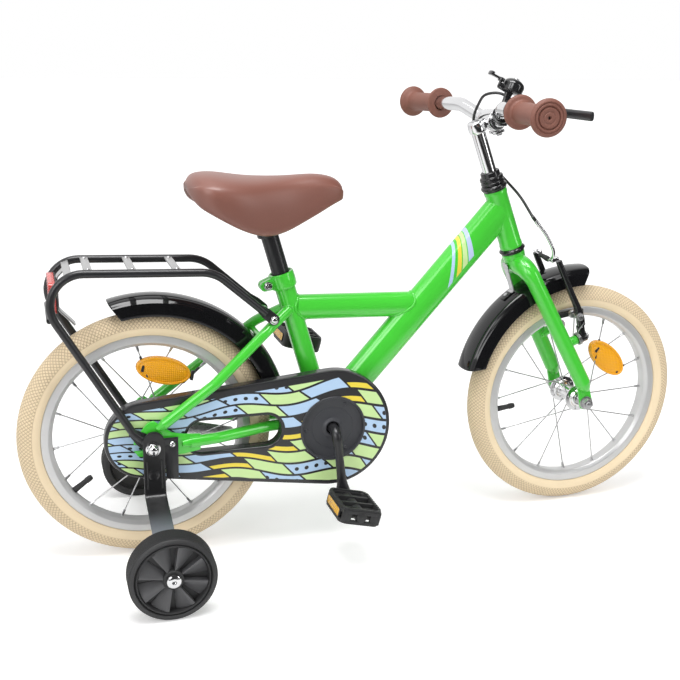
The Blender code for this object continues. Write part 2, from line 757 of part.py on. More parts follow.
def frame():
    """The four main tubes and the bottom bracket's shell, welded into one piece and bored."""
    head_foot = on_steering(HEAD_TUBE_FOOT)
    head_top = on_steering(HEAD_TUBE_FOOT + HEAD_TUBE_LENGTH)
    down_top = on_steering(HEAD_TUBE_FOOT + HEAD_TUBE_LENGTH - DOWN_TUBE_BELOW_TOP)
    down_run = (down_top - BOTTOM).normalized()
    made = rod("frame", head_foot, head_top, HEAD_TUBE_RADIUS, 16)
    down = oval_tube("down_tube", BOTTOM, down_top, DOWN_TUBE_WIDTH, DOWN_TUBE_DEPTH_FOOT,
                     DOWN_TUBE_DEPTH_HEAD, 12)
    top = oval_tube("top_tube", on_seat(TOP_TUBE_UP_SEAT), BOTTOM + down_run * TOP_TUBE_UP_DOWN,
                    TOP_TUBE_WIDTH, TOP_TUBE_DEPTH, TOP_TUBE_DEPTH, 12)
    seat = rod("seat_tube", BOTTOM, on_seat(SEAT_TUBE_LENGTH), SEAT_TUBE_RADIUS, 16)
    shell = rod("bb_shell", BOTTOM + RIGHT * BB_SHELL_HALF, BOTTOM + LEFT * BB_SHELL_HALF,
                BB_SHELL_RADIUS, 18)
    join(made, down, top, seat, shell)
    head_bore = rod("head_bore", on_steering(HEAD_TUBE_FOOT - 0.01),
                    on_steering(HEAD_TUBE_FOOT + HEAD_TUBE_LENGTH + 0.01), HEAD_TUBE_RADIUS - 0.0030, 14)
    seat_bore = rod("seat_bore", on_seat(0.0300), on_seat(SEAT_TUBE_LENGTH + 0.01),
                    bored(SEATPOST_RADIUS, 16), 16)
    shell_bore = rod("shell_bore", BOTTOM + RIGHT * 0.05, BOTTOM + LEFT * 0.05,
                     BB_SHELL_RADIUS - 0.0030, 12)
    cut(made, head_bore, seat_bore, shell_bore)
    return finish(made, GREEN)


def rear_stays():
    """The rear triangle: stays, dropouts, bridge and lugs, mitred to the seat tube and the shell."""
    made = rod("rear_stays", bridge_point() + RIGHT * 0.0350, bridge_point() + LEFT * 0.0350,
               BRIDGE_RADIUS, 8)
    for side in (-1, 1):
        chainstay = tube(f"chainstay_{side}", chainstay_route(side), CHAINSTAY_RADIUS, 8)
        seatstay = tube(f"seatstay_{side}", seatstay_route(side), SEATSTAY_RADIUS, 8)
        dropout = plate(
            f"dropout_{side}", [dropout_outline()], REAR_DROPOUT_THICK,
            REAR_HUB + LEFT * (side * (REAR_DROPOUT_INNER + REAR_DROPOUT_THICK / 2)), AHEAD, UP,
        )
        join(made, chainstay, seatstay, dropout, carrier_lug(side))
    seat_mitre = rod("seat_mitre", BOTTOM, on_seat(SEAT_TUBE_LENGTH), bored(SEAT_TUBE_RADIUS, 16), 16)
    half = BB_SHELL_HALF + FIT
    shell_mitre = rod("shell_mitre", BOTTOM + RIGHT * half, BOTTOM + LEFT * half,
                      bored(BB_SHELL_RADIUS, 18), 18)
    return finish(cut(made, seat_mitre, shell_mitre), GREEN)


BRIDGE_RADIUS = 0.0045
BRIDGE_ANGLE = 40.0


def bridge_point():
    """The bridge between the seat stays lies just clear of the mudguard's crown."""
    reach = GUARD_RADIUS + BRIDGE_RADIUS + GUARD_WALL / 2 - 0.0003
    return guard_centre(REAR_HUB, REAR_GUARD_SHIFT) + direction(BRIDGE_ANGLE) * reach


CARRIER_LUG_UP = 0.1973
CARRIER_LUG_BACK = 0.0371
CARRIER_LUG_SIDE = 0.0380


def carrier_lug_point(side, out):
    return on_seat(CARRIER_LUG_UP, -CARRIER_LUG_BACK, side * out)


def carrier_lug(side):
    """The threaded eye on a seat stay that takes the carrier's front end."""
    return rod(f"carrier_lug_{side}", carrier_lug_point(side, 0.0240),
               carrier_lug_point(side, CARRIER_LUG_SIDE), 0.0060, 8)


def seat_clamp():
    """A split collar round the top of the seat tube, drawn tight by a bolt through its ears."""
    foot = SEAT_TUBE_LENGTH - 0.0220
    inner = bored(SEAT_TUBE_RADIUS, 14)
    profile = [(inner, 0.0), (inner, 0.0240), (inner + 0.0032, 0.0240), (inner + 0.0038, 0.0120),
               (inner + 0.0032, 0.0)]
    made = turned("seat_clamp", profile, on_seat(foot), SEAT_UP, 14)
    ear = block("seat_clamp_ears", (0.0160, 0.0200, 0.0180),
                axes_matrix(on_seat(foot + 0.0120, -inner - 0.0085), SEAT_AHEAD, LEFT))
    split = block("seat_clamp_split", (0.0300, 0.0020, 0.0400),
                  axes_matrix(on_seat(foot + 0.0120, -inner - 0.0120), SEAT_AHEAD, LEFT))
    hole = rod("seat_clamp_hole", on_seat(foot + 0.0120, -inner - 0.0100, -0.02),
               on_seat(foot + 0.0120, -inner - 0.0100, 0.02), 0.0030 + FIT, 8)
    cut(join(made, ear), split, hole)
    finish(made, GREEN)
    bolt = rod("seat_clamp_bolt", on_seat(foot + 0.0120, -inner - 0.0100, -0.0180),
               on_seat(foot + 0.0120, -inner - 0.0100, 0.0150), 0.0030, 8)
    head = rod("seat_bolt_head", on_seat(foot + 0.0120, -inner - 0.0100, -0.0100 - FIT),
               on_seat(foot + 0.0120, -inner - 0.0100, -0.0160), 0.0062, 8)
    nut = rod("seat_bolt_nut", on_seat(foot + 0.0120, -inner - 0.0100, 0.0100 + FIT),
              on_seat(foot + 0.0120, -inner - 0.0100, 0.0145), 0.0060, 6)
    return finish(join(bolt, head, nut), CHROME)


def headset():
    """Two pressed cups on the frame, and the cone and locknut that turn with the fork."""
    clear = STEERER_RADIUS + RUN
    edge = HEADSET_RADIUS
    low = [(clear, 0.0), (clear, LOWER_CUP_HEIGHT), (edge - 0.0015, LOWER_CUP_HEIGHT), (edge, 0.0045),
           (edge - 0.0015, 0.0)]
    finish(turned("lower_headset_cup", low, on_steering(HEAD_TUBE_FOOT - LOWER_CUP_HEIGHT - FIT),
                  STEER_UP, 14), GLOSS_BLACK)
    head_top = HEAD_TUBE_FOOT + HEAD_TUBE_LENGTH
    high = [(clear, 0.0), (clear, UPPER_CUP_HEIGHT), (edge - 0.0030, UPPER_CUP_HEIGHT),
            (edge - 0.0004, UPPER_CUP_HEIGHT - 0.0025), (edge - 0.0004, 0.0025), (edge - 0.0030, 0.0)]
    finish(turned("upper_headset_cup", high, on_steering(head_top + FIT), STEER_UP, 14), GLOSS_BLACK)
    wide = edge - 0.0025
    narrow = edge - 0.0060
    nut = [(clear, 0.0), (clear, LOCKNUT_HEIGHT - 0.0030), (QUILL_RADIUS + FIT, LOCKNUT_HEIGHT),
           (narrow, LOCKNUT_HEIGHT), (narrow, 0.0125), (wide, 0.0110), (wide, 0.0)]
    finish(turned("headset_locknut", nut, on_steering(head_top + UPPER_CUP_HEIGHT + FIT + RUN),
                  STEER_UP, 14), GLOSS_BLACK, STEERING)


def fork_leg_route(side):
    """A leg bows out below the crown and runs straight to its dropout."""
    foot_side = FORK_DROPOUT_INNER + FORK_DROPOUT_THICK / 2
    return rounded_path(
        [
            on_steering(CROWN_TOP - 0.0190, 0.0, side * 0.0020),
            on_steering(CROWN_TOP - 0.0270, 0.0020, side * 0.0400),
            on_steering(CROWN_TOP - 0.2480, 0.0330, side * foot_side),
        ],
        [0.0300], 3,
    )


CROWN_TOP = HEAD_TUBE_FOOT - LOWER_CUP_HEIGHT - FIT - RUN


def fork():
    """Steerer, bowed legs, dropouts and the brake's two bosses."""
    steerer_top = HEAD_TUBE_FOOT + HEAD_TUBE_LENGTH + UPPER_CUP_HEIGHT + LOCKNUT_HEIGHT - 0.0040
    made = rod("fork", on_steering(CROWN_TOP - 0.0180), on_steering(steerer_top), STEERER_RADIUS, 16)
    crown = rod("fork_crown", on_steering(CROWN_TOP - 0.0240), on_steering(CROWN_TOP), 0.0170, 16,
                0.0190)
    join(made, crown)
    for side in (-1, 1):
        foot_side = FORK_DROPOUT_INNER + FORK_DROPOUT_THICK / 2
        leg = tube(f"fork_leg_{side}", fork_leg_route(side), FORK_LEG_TOP_RADIUS, 10,
                   FORK_LEG_FOOT_RADIUS)
        outline = (
            arc((0.0, 0.0), 0.0125, 200, 250, 2) + [(-AXLE_RADIUS - FIT, -0.0120)]
            + arc((0.0, 0.0), AXLE_RADIUS + FIT, 180, 0, 6) + [(AXLE_RADIUS + FIT, -0.0120)]
            + arc((0.0, 0.0), 0.0125, 290, 360, 3) + [(0.0150, 0.0400), (-0.0050, 0.0420)]
        )
        dropout = plate(f"fork_dropout_{side}", [outline], FORK_DROPOUT_THICK,
                        FRONT_HUB + LEFT * (side * foot_side), STEER_AHEAD, STEER_UP)
        boss_side = side * BRAKE_HALF
        boss_end = BRAKE_PIVOT_AHEAD - BRAKE_HUB_BACK - FIT
        boss = rod(f"brake_boss_{side}", on_steering(BRAKE_PIVOT_UP, 0.0200, boss_side),
                   on_steering(BRAKE_PIVOT_UP, boss_end, boss_side), 0.0080, 8)
        pin = rod(f"brake_pin_{side}", on_steering(BRAKE_PIVOT_UP, 0.0300, boss_side),
                  on_steering(BRAKE_PIVOT_UP, BRAKE_PIVOT_AHEAD + 0.0070, boss_side), 0.0040, 8)
        bolt = rod(f"brake_bolt_{side}", on_steering(BRAKE_PIVOT_UP, BRAKE_PIVOT_AHEAD + 0.0063, boss_side),
                   on_steering(BRAKE_PIVOT_UP, BRAKE_PIVOT_AHEAD + 0.0100, boss_side), 0.0065, 6)
        join(made, leg, dropout, boss, pin, bolt)
    bore = rod("steerer_bore", on_steering(CROWN_TOP - 0.0100), on_steering(steerer_top + 0.01),
               STEERER_RADIUS - STEERER_WALL, 16)
    return finish(cut(made, bore), GREEN, STEERING)


STEM_CLAMP_RADIUS = 0.0158
STEM_CLAMP_HALF = 0.0200


def stem():
    """A quill stem: the post in the steerer, a short neck and the clamp round the bar."""
    made = rod("stem", on_steering(HEAD_TUBE_FOOT + 0.0200), on_steering(STEM_HEIGHT - 0.0040),
               QUILL_RADIUS, 14)
    top = rod("stem_top", on_steering(STEM_HEIGHT - 0.0120), on_steering(STEM_HEIGHT + 0.0080), 0.0140,
              12, 0.0125)
    neck = loft(
        "stem_neck",
        [
            oval_ring(on_steering(STEM_HEIGHT - 0.0040, -0.0040), LEFT, STEER_UP, 0.0250, 0.0210, 10),
            oval_ring(on_steering(STEM_HEIGHT, STEM_REACH), LEFT, STEER_UP, 0.0220, 0.0240, 10),
        ],
    )
    centre = on_steering(STEM_HEIGHT, STEM_REACH)
    clamp = rod("stem_clamp", centre + RIGHT * STEM_CLAMP_HALF, centre + LEFT * STEM_CLAMP_HALF,
                STEM_CLAMP_RADIUS, 16)
    ears = block("stem_ears", (0.0180, 0.0280, 0.0100),
                 axes_matrix(on_steering(STEM_HEIGHT - 0.0170, STEM_REACH + 0.0020), STEER_AHEAD, LEFT))
    bore = rod("stem_bore", centre + RIGHT * 0.04, centre + LEFT * 0.04, bored(BAR_RADIUS, 12), 12)
    return finish(cut(join(made, top, neck, clamp, ears), bore), CHROME, STEERING)


BAR_FLAT = 0.0320
BAR_SHOULDER = 0.0760
BAR_BACKSWEEP = 0.0170


def bar_corners(side):
    """The right or left half of the bar: flat in the clamp, up and back, then out to the end."""
    centre = on_steering(STEM_HEIGHT, STEM_REACH)
    return [
        centre,
        centre + Vector((0, side * BAR_FLAT, 0)),
        centre + Vector((-BAR_SWEEP, side * BAR_SHOULDER, BAR_RISE)),
        centre + Vector((-BAR_SWEEP - BAR_BACKSWEEP, side * BAR_HALF, BAR_RISE - BAR_DROOP)),
    ]


def bar_point(side, reach):
    """The bar's centre at a distance out from the middle, on its outer run."""
    shoulder, end = bar_corners(side)[2:]
    return shoulder.lerp(end, (reach - BAR_SHOULDER) / (BAR_HALF - BAR_SHOULDER))


def bar_run(side):
    shoulder, end = bar_corners(side)[2:]
    return (end - shoulder).normalized()


def handlebar():
    left = rounded_path(bar_corners(1), [0.0300, 0.0300], 3)
    right = rounded_path(bar_corners(-1), [0.0300, 0.0300], 3)
    route = right[:0:-1] + left[1:]
    return finish(tube("handlebar", route, BAR_RADIUS, 10), CHROME, STEERING)


def grip(name, side):
    """A soft grip with a round flange at each end. Its outer end is closed but for a small hole."""
    length = GRIP_OUTER - GRIP_INNER
    bore = bored(BAR_RADIUS, 14)
    stop = (bar_corners(side)[3] - bar_point(side, GRIP_INNER)).length + FIT
    profile = [
        (bore, 0.0), (bore, stop), (0.0020, stop), (0.0020, length + 0.0030), (0.0200, length + 0.0030),
        (GRIP_OUTER_FLANGE, length - 0.0005), (GRIP_OUTER_FLANGE, length - 0.0062),
        (GRIP_RADIUS, length - 0.0110), (GRIP_RADIUS, 0.0100), (GRIP_INNER_FLANGE, 0.0050),
        (GRIP_INNER_FLANGE, 0.0),
    ]
    made = turned(name, profile, bar_point(side, GRIP_INNER), bar_run(side), 14)
    return finish(made, BROWN_RUBBER, STEERING)


def clamp_ring(name, centre, run, width, out_radius):
    """A band that grips the bar."""
    half = width / 2
    inner = bored(BAR_RADIUS, 14)
    profile = [(inner, -half), (inner, half), (out_radius, half), (out_radius, -half)]
    return turned(name, profile, centre, run, 14)


BELL_REACH = 0.0530
BELL_RISE = 0.0360
BELL_AHEAD = 0.0140
BELL_TILT = math.radians(24)
BELL_RADIUS = 0.0170


def bell_place():
    """The bell's own placement, with its dome's axis tipped ahead, and the bar under it."""
    flat, shoulder = bar_corners(-1)[1:3]
    on_bar = flat.lerp(shoulder, (BELL_REACH - BAR_FLAT) / (BAR_SHOULDER - BAR_FLAT))
    run = (shoulder - flat).normalized()
    seat = on_bar + Vector((BELL_AHEAD, 0, BELL_RISE))
    top = Vector((math.sin(BELL_TILT), 0, math.cos(BELL_TILT)))
    return on_bar, run, seat, top


def bell():
    """A clamp, a neck and a base, with the dome above and a thumb lever behind it."""
    on_bar, run, seat, top = bell_place()
    level = top.cross(LEFT) * -1
    made = clamp_ring("bell", on_bar, run, 0.0110, BAR_RADIUS + 0.0032)
    neck = loft(
        "bell_neck",
        [
            oval_ring(on_bar + Vector((0.0010, 0, BAR_RADIUS + 0.0024)), AHEAD, LEFT, 0.0120, 0.0090, 8),
            oval_ring(seat - top * 0.0020 - level * 0.0030, level, LEFT, 0.0160, 0.0120, 8),
        ],
    )
    dome = [(0.0, 0.0), (BELL_RADIUS, 0.0), (BELL_RADIUS, 0.0130), (BELL_RADIUS * 0.88, 0.0180),
            (BELL_RADIUS * 0.50, 0.0208), (0.0, 0.0215)]
    cup = turned("bell_dome", dome, seat - top * 0.0030, top, 14, closed=False)
    pivot = bell_lever_pivot()
    foot = rod("bell_foot", seat - level * 0.0080 - top * 0.0010, pivot - top * 0.0010, 0.0060, 8, 0.0045)
    post = rod("bell_pivot", pivot - top * 0.0040, pivot + top * 0.0112, 0.0022, 8)
    finish(join(made, neck, cup, foot, post), GLOSS_BLACK, STEERING)
    hinge = axis_empty("bell_lever_axis", pivot, top, STEERING)
    thumb = turned("bell_lever", [(0.0022 + FIT, 0.0045 + FIT), (0.0022 + FIT, 0.0105), (0.0050, 0.0105),
                                  (0.0050, 0.0045 + FIT)], pivot, top, 8)
    arm = block("bell_lever_arm", (0.0150, 0.0070, 0.0032),
                axes_matrix(pivot - level * 0.0110 + top * 0.0085, level, LEFT))
    tab = block("bell_lever_tab", (0.0060, 0.0130, 0.0060),
                axes_matrix(pivot - level * 0.0190 + top * 0.0095, level, LEFT))
    return finish(join(thumb, arm, tab), GLOSS_BLACK, hinge)


def bell_lever_pivot():
    _, _, seat, top = bell_place()
    return seat + top.cross(LEFT) * (BELL_RADIUS + 0.0060)


LEVER_PIVOT_AHEAD = 0.0340


def lever_pivot():
    return bar_point(-1, LEVER_MIDDLE) + Vector((LEVER_PIVOT_AHEAD, 0.0060, -0.0010))


def brake_lever():
    """The bracket clamps to the bar, and the blade turns about an upright pin in its jaws."""
    on_bar = bar_point(-1, LEVER_MIDDLE)
    pivot = lever_pivot()
    made = clamp_ring("brake_lever_bracket", on_bar, bar_run(-1), 0.0180, BAR_RADIUS + 0.0042)
    body = block("lever_body", (0.0300, 0.0200, 0.0200),
                 Matrix.Translation(on_bar + Vector((0.0275, 0.0050, -0.0005))), 0.0030, 1)
    barrel = rod("lever_barrel", pivot + Vector((-0.0060, 0.0050, 0)),
                 pivot + Vector((-0.0060, 0.0240, 0)), 0.0055, 8, 0.0042)
    join(made, body, barrel)
    gap = block("lever_gap", (0.0290, 0.0430, 0.0096),
                Matrix.Translation(pivot + Vector((0.0060, -0.0130, 0))))
    cut(made, gap)
    pin = rod("lever_pin", pivot - UP * 0.0090, pivot + UP * 0.0090, 0.0025, 8)
    finish(join(made, pin), SATIN_BLACK, STEERING)
    hinge = axis_empty("brake_lever_axis", pivot, UP, STEERING)
    tip = Vector((bar_point(-1, LEVER_TIP).x + LEVER_REACH, -LEVER_TIP, pivot.z))
    knuckle = pivot + Vector((0.0270, -0.0300, 0.0))
    route = rounded_path([pivot, knuckle, tip], [0.0300], 3)
    rings = []
    for index, point in enumerate(route):
        run = (route[min(index + 1, len(route) - 1)] - route[max(index - 1, 0)]).normalized()
        tall = 0.0070 if index == 0 else LEVER_BLADE_HEIGHT
        rings.append(oval_ring(point, UP, run.cross(UP), tall, LEVER_BLADE_THICK, 8))
    blade = loft("brake_lever", rings)
    eye = rod("lever_eye", pivot - UP * 0.0040, pivot + UP * 0.0040, 0.0072, 12)
    bore = rod("lever_bore", pivot - UP * 0.02, pivot + UP * 0.02, 0.0025 + FIT, 10)
    return finish(cut(join(blade, eye), bore), SATIN_BLACK, hinge)


LEVER_BLADE_HEIGHT = 0.0130
LEVER_BLADE_THICK = 0.0060


def brake_arm_top(side):
    return on_steering(BRAKE_PIVOT_UP + BRAKE_ARM_LENGTH, BRAKE_PIVOT_AHEAD - BRAKE_TOP_BACK,
                       side * BRAKE_HALF)


def pad_height():
    """How far up the steering axis the pad's middle is, on the rim's side wall above the pivot."""
    return (FRONT_HUB - STEER_FOOT).dot(STEER_UP) + pad_above_hub()


def pad_above_hub():
    wall = RIM_RADIUS - 0.0075
    return math.sqrt(wall ** 2 - (BRAKE_PIVOT_AHEAD - FORK_OFFSET) ** 2)


def pad_run():
    """The way a pad points, along the rim."""
    return STEER_AHEAD * pad_above_hub() - STEER_UP * (BRAKE_PIVOT_AHEAD - FORK_OFFSET)


def brake_arm(name, side):
    """A cast arm on its boss, bowed ahead of the tyre, with the pad on its threaded post."""
    pivot = on_steering(BRAKE_PIVOT_UP, BRAKE_PIVOT_AHEAD, side * BRAKE_HALF)
    hinge = axis_empty(name + "_axis", pivot, STEER_AHEAD, STEERING)
    made = rod(name, pivot - STEER_AHEAD * BRAKE_HUB_BACK, pivot + STEER_AHEAD * 0.0060, 0.0094, 12, 0.0088)
    pad_up = pad_height()
    bowed = BRAKE_PIVOT_AHEAD + BRAKE_BOW
    rings = [
        oval_ring(on_steering(BRAKE_PIVOT_UP + 0.0060, BRAKE_PIVOT_AHEAD, side * BRAKE_HALF),
                  LEFT, STEER_AHEAD, 0.0140, 0.0110, 8),
        oval_ring(on_steering(pad_up - 0.0060, bowed, side * (BRAKE_HALF + 0.0010)), LEFT, STEER_AHEAD,
                  0.0120, 0.0125, 8),
        oval_ring(on_steering(pad_up + 0.0160, bowed, side * (BRAKE_HALF + 0.0010)), LEFT, STEER_AHEAD,
                  0.0110, 0.0105, 8),
        oval_ring(brake_arm_top(side), LEFT, STEER_AHEAD, 0.0075, 0.0095, 8),
    ]
    blade = loft(name + "_blade", rings)
    post = rod(name + "_post", on_steering(pad_up, BRAKE_PIVOT_AHEAD, side * (BRAKE_HALF + 0.0110)),
               on_steering(pad_up, BRAKE_PIVOT_AHEAD, side * (PAD_BACK + 0.0020)), 0.0042, 6)
    washer = rod(name + "_washer", on_steering(pad_up, BRAKE_PIVOT_AHEAD, side * (PAD_BACK + FIT)),
                 on_steering(pad_up, BRAKE_PIVOT_AHEAD, side * (PAD_BACK + 0.0050)), 0.0075, 8)
    join(made, blade, post, washer)
    bore = rod(name + "_bore", on_steering(BRAKE_PIVOT_UP, BRAKE_PIVOT_AHEAD - 0.02, side * BRAKE_HALF),
               on_steering(BRAKE_PIVOT_UP, BRAKE_PIVOT_AHEAD + 0.02, side * BRAKE_HALF), 0.0040 + FIT, 12)
    finish(cut(made, bore), SATIN_BLACK, hinge)
    pad_centre = on_steering(pad_up, BRAKE_PIVOT_AHEAD, side * (PAD_BACK - PAD_THICK / 2))
    pad = block(name.replace("arm", "pad"), (PAD_LENGTH, PAD_THICK, PAD_HEIGHT),
                axes_matrix(pad_centre, pad_run().normalized(), LEFT), 0.0015, 1)
    finish(pad, BLACK_PLASTIC, hinge)
    return hinge


BRAKE_HUB_BACK = 0.0110
PAD_THICK = 0.0085
PAD_HEIGHT = 0.0085
PAD_BACK = RIM_WIDTH / 2 + PAD_GAP + PAD_THICK


def noodle(hinge):
    """The bent guide pipe, its rubber boot and the wire's bare end, held in the right arm's cradle."""
    made = tube("brake_noodle", smooth_route([noodle_point(*place) for place in NOODLE_BEND], 2), 0.0026, 6)
    boot = rod("noodle_boot", noodle_point(0.0010, -0.0115, 0.0120), noodle_point(0.0040, -0.0110, 0.0420),
               0.0046, 8, 0.0026)
    wire = rod("noodle_wire", noodle_point(0.0038, -0.0110, 0.0400), noodle_point(0.0060, -0.0090, 0.0680),
               0.0009, 6)
    cradle = block("noodle_cradle", (0.0130, 0.0110, 0.0070),
                   axes_matrix(noodle_point(0.0010, -0.0065, 0.0010), STEER_AHEAD, LEFT))
    return finish(join(made, boot, wire, cradle), STEEL, hinge)


NOODLE_LIFT = 0.0050
NOODLE_BEND = (
    (0.0720, -0.0190, 0.0000), (0.0470, -0.0110, -0.0040), (0.0210, -0.0070, -0.0060),
    (0.0080, -0.0090, -0.0040), (0.0010, -0.0115, 0.0060), (0.0010, -0.0115, 0.0150),
)


def noodle_point(up, ahead, side):
    """A point measured from the seat of the noodle, on top of the right arm."""
    return brake_arm_top(-1) + STEER_UP * (NOODLE_LIFT + up) + STEER_AHEAD * ahead + LEFT * side


def cable_route():
    """The housing leaves the lever, loops over the bar and drops past the left of the head tube."""
    start = lever_pivot() + Vector((-0.0060, 0.0246 + FIT, 0))
    end = noodle_point(*NOODLE_BEND[0])
    last = (noodle_point(*NOODLE_BEND[0]) - noodle_point(*NOODLE_BEND[1])).normalized()
    middle = [STEER_FOOT + Vector(place) for place in CABLE_BEND]
    return [start, start + LEFT * 0.0100] + middle + [end + last * 0.0120, end + last * 0.0016]


CABLE_BEND = (
    (-0.1318, -0.0660, 0.5033), (-0.1378, -0.0460, 0.5093), (-0.1528, -0.0310, 0.5193),
    (-0.1688, -0.0140, 0.5163), (-0.1700, 0.0060, 0.5020), (-0.1690, 0.0240, 0.4810),
    (-0.1630, 0.0320, 0.4570), (-0.1500, 0.0310, 0.4310), (-0.1310, 0.0240, 0.4020),
    (-0.1100, 0.0120, 0.3780), (-0.0930, -0.0040, 0.3550),
)


def brake_cable():
    route = smooth_route(cable_route(), 2)
    return finish(tube("brake_cable", route, CABLE_RADIUS, 8), BLACK_PLASTIC, STEERING)


def guard_shell(name, centre, start, end, steps):
    """A deep mudguard: a crowned section turned about its own centre between two angles."""
    half = GUARD_HALF_WIDTH
    crown = GUARD_RADIUS
    shoulder = crown - 0.0090
    section = [(GUARD_EDGE_RADIUS, -half), (shoulder, -half + 0.0010), (crown - 0.0025, -half * 0.68),
               (crown, 0.0), (crown - 0.0025, half * 0.68), (shoulder, half - 0.0010),
               (GUARD_EDGE_RADIUS, half)]
    mesh = bpy.data.meshes.new(name)
    points = [(radius, 0.0, along) for radius, along in section]
    mesh.from_pydata(points, [(index, index + 1) for index in range(len(points) - 1)], [])
    matrix = axis_matrix(centre, RIGHT)
    first = (matrix.inverted() @ (centre + direction(start))).normalized()
    turn = math.atan2(first.y, first.x)
    made = new_object(name, mesh, matrix @ Matrix.Rotation(turn, 4, "Z"))
    screw = made.modifiers.new("turn", "SCREW")
    screw.axis = "Z"
    screw.angle = math.radians(end - start)
    screw.steps = steps
    screw.render_steps = steps
    wall = made.modifiers.new("wall", "SOLIDIFY")
    wall.thickness = GUARD_WALL
    wall.offset = 0.0
    return as_mesh(made)


def guard_centre(hub, shift):
    """A mudguard isn't quite concentric with its wheel."""
    return hub + Vector((shift[0], 0, shift[1]))


def direction(angle):
    """A unit vector in the plane of the bike, in degrees up from straight ahead."""
    return Vector((math.cos(math.radians(angle)), 0, math.sin(math.radians(angle))))


REAR_GUARD_FRONT = 10.0
REAR_GUARD_BACK = 106.0
FRONT_GUARD_FRONT = 88.0
FRONT_GUARD_BACK = 167.0


def mudguards():
    rear_centre = guard_centre(REAR_HUB, REAR_GUARD_SHIFT)
    rear = guard_shell("rear_mudguard", rear_centre, REAR_GUARD_FRONT, REAR_GUARD_BACK, 9)
    finish(cut(rear, guard_trim("rear_guard_trim", rear_centre, REAR_GUARD_BACK, 1)), GLOSS_BLACK)
    front_centre = guard_centre(FRONT_HUB, FRONT_GUARD_SHIFT)
    front = guard_shell("front_mudguard", front_centre, FRONT_GUARD_FRONT, FRONT_GUARD_BACK, 8)
    cut(front, guard_trim("front_guard_trim", front_centre, FRONT_GUARD_BACK, 1),
        guard_trim("front_tip_trim", front_centre, FRONT_GUARD_FRONT, -1))
    finish(front, GLOSS_BLACK, STEERING)
    centre_up = (front_centre - STEER_FOOT).dot(STEER_UP)
    centre_ahead = (front_centre - STEER_FOOT).dot(STEER_AHEAD)
    reach = GUARD_RADIUS + GUARD_WALL / 2 + FIT + 0.0010
    path = [Vector((-0.0192, CROWN_TOP - 0.0140)), Vector((-0.0205, CROWN_TOP - 0.0320))]
    for ahead in (-0.0200, -0.0420):
        path.append(Vector((ahead, centre_up + math.sqrt(reach ** 2 - (ahead - centre_ahead) ** 2))))
    bracket = strip("front_mudguard_bracket", path, 0.0160, 0.0020, STEER_FOOT, STEER_AHEAD, STEER_UP)
    return finish(bracket, STEEL, STEERING)


def guard_trim(name, centre, angle, end_side):
    """A cutter that slants a mudguard's end, so that its sides stop short of its crown."""
    out = direction(angle)
    onward = out.cross(LEFT) * end_side
    facing = onward * math.cos(GUARD_END_SLANT) - out * math.sin(GUARD_END_SLANT)
    corner = centre + out * (GUARD_RADIUS + 0.0020)
    inward = facing.cross(LEFT) * end_side
    middle = corner + facing * 0.0200 + inward * 0.0200
    return block(name, (0.0400, 0.0800, 0.1000), axes_matrix(middle, facing, LEFT))


def rail_height(ahead):
    """The platform's tubes fall a little towards the front."""
    return CARRIER_HEIGHT - CARRIER_FALL * ahead


def carrier_route(side):
    """One side of the carrier: eye, front corner, back corner, knee and axle."""
    eye = carrier_lug_point(side, CARRIER_LUG_SIDE + FIT + CARRIER_END_THICK / 2)
    front = from_rear(0.1000, side * CARRIER_HALF, rail_height(0.1000))
    back = from_rear(-0.1680, side * CARRIER_HALF, rail_height(-0.1680))
    foot = REAR_HUB + LEFT * (side * (CARRIER_END + CARRIER_END_THICK / 2))
    knee = foot + Vector((-0.0270, 0, 0.0240))
    return eye, front, back, knee, foot


def flat_end(name, at, towards, length, width, hole):
    """The flattened, bored end of a carrier tube."""
    run = towards - at
    run.y = 0
    run.normalize()
    outline = arc((0.0, 0.0), width / 2, 90, 270, 4)
    outline += [(length, -CARRIER_TUBE_RADIUS), (length, CARRIER_TUBE_RADIUS)]
    return plate(name, [outline, circle(hole, 8)], CARRIER_END_THICK, at, run, LEFT.cross(run))


def rear_carrier():
    """Two bent tubes with flattened ends, tied to each other by a cross tube at the back."""
    made = None
    for side in (-1, 1):
        eye, front, back, knee, foot = carrier_route(side)
        from_eye = (front - eye).normalized()
        route = rounded_path([eye + from_eye * 0.0180, front, back, knee], [0.0550, 0.0460], 3)
        rail = tube(f"carrier_rail_{side}", route, CARRIER_TUBE_RADIUS, 8)
        front_end = flat_end(f"carrier_eye_{side}", eye, front, 0.0300, 0.0170, 0.0028)
        foot_end = flat_end(f"carrier_foot_{side}", foot, knee, 0.0400, 0.0220, AXLE_RADIUS + FIT)
        join(rail, front_end, foot_end)
        if made is None:
            made = rail
            made.name = "rear_carrier"
        else:
            join(made, rail)
    tie_at = bend_point(205)
    tie = rod("carrier_tie", tie_at + RIGHT * CARRIER_HALF, tie_at + LEFT * CARRIER_HALF, 0.0040, 6)
    return finish(join(made, tie), SATIN_BLACK)


def bend_point(angle):
    """A point in the middle of the bike, on the rear bend's centre line."""
    centre = Vector((REAR_HUB.x - 0.0930, 0, rail_height(-0.0930) - 0.0460))
    return centre + direction(angle) * 0.0460


SLAT_WIDTH = 0.0120
SLAT_THICK = 0.0030


def carrier_slats():
    """Flat bars between the rails, their tops level with the load they carry."""
    half = CARRIER_HALF - CARRIER_TUBE_RADIUS - FIT
    names = ("carrier_slat_rear", "carrier_slat_middle", "carrier_slat_front")
    for name, ahead in zip(names, CARRIER_SLATS):
        middle = from_rear(ahead, 0.0, rail_height(ahead) + 0.0025)
        made = block(name, (SLAT_WIDTH, half * 2, SLAT_THICK), Matrix.Translation(middle), 0.0008, 1)
        finish(made, ALLOY)


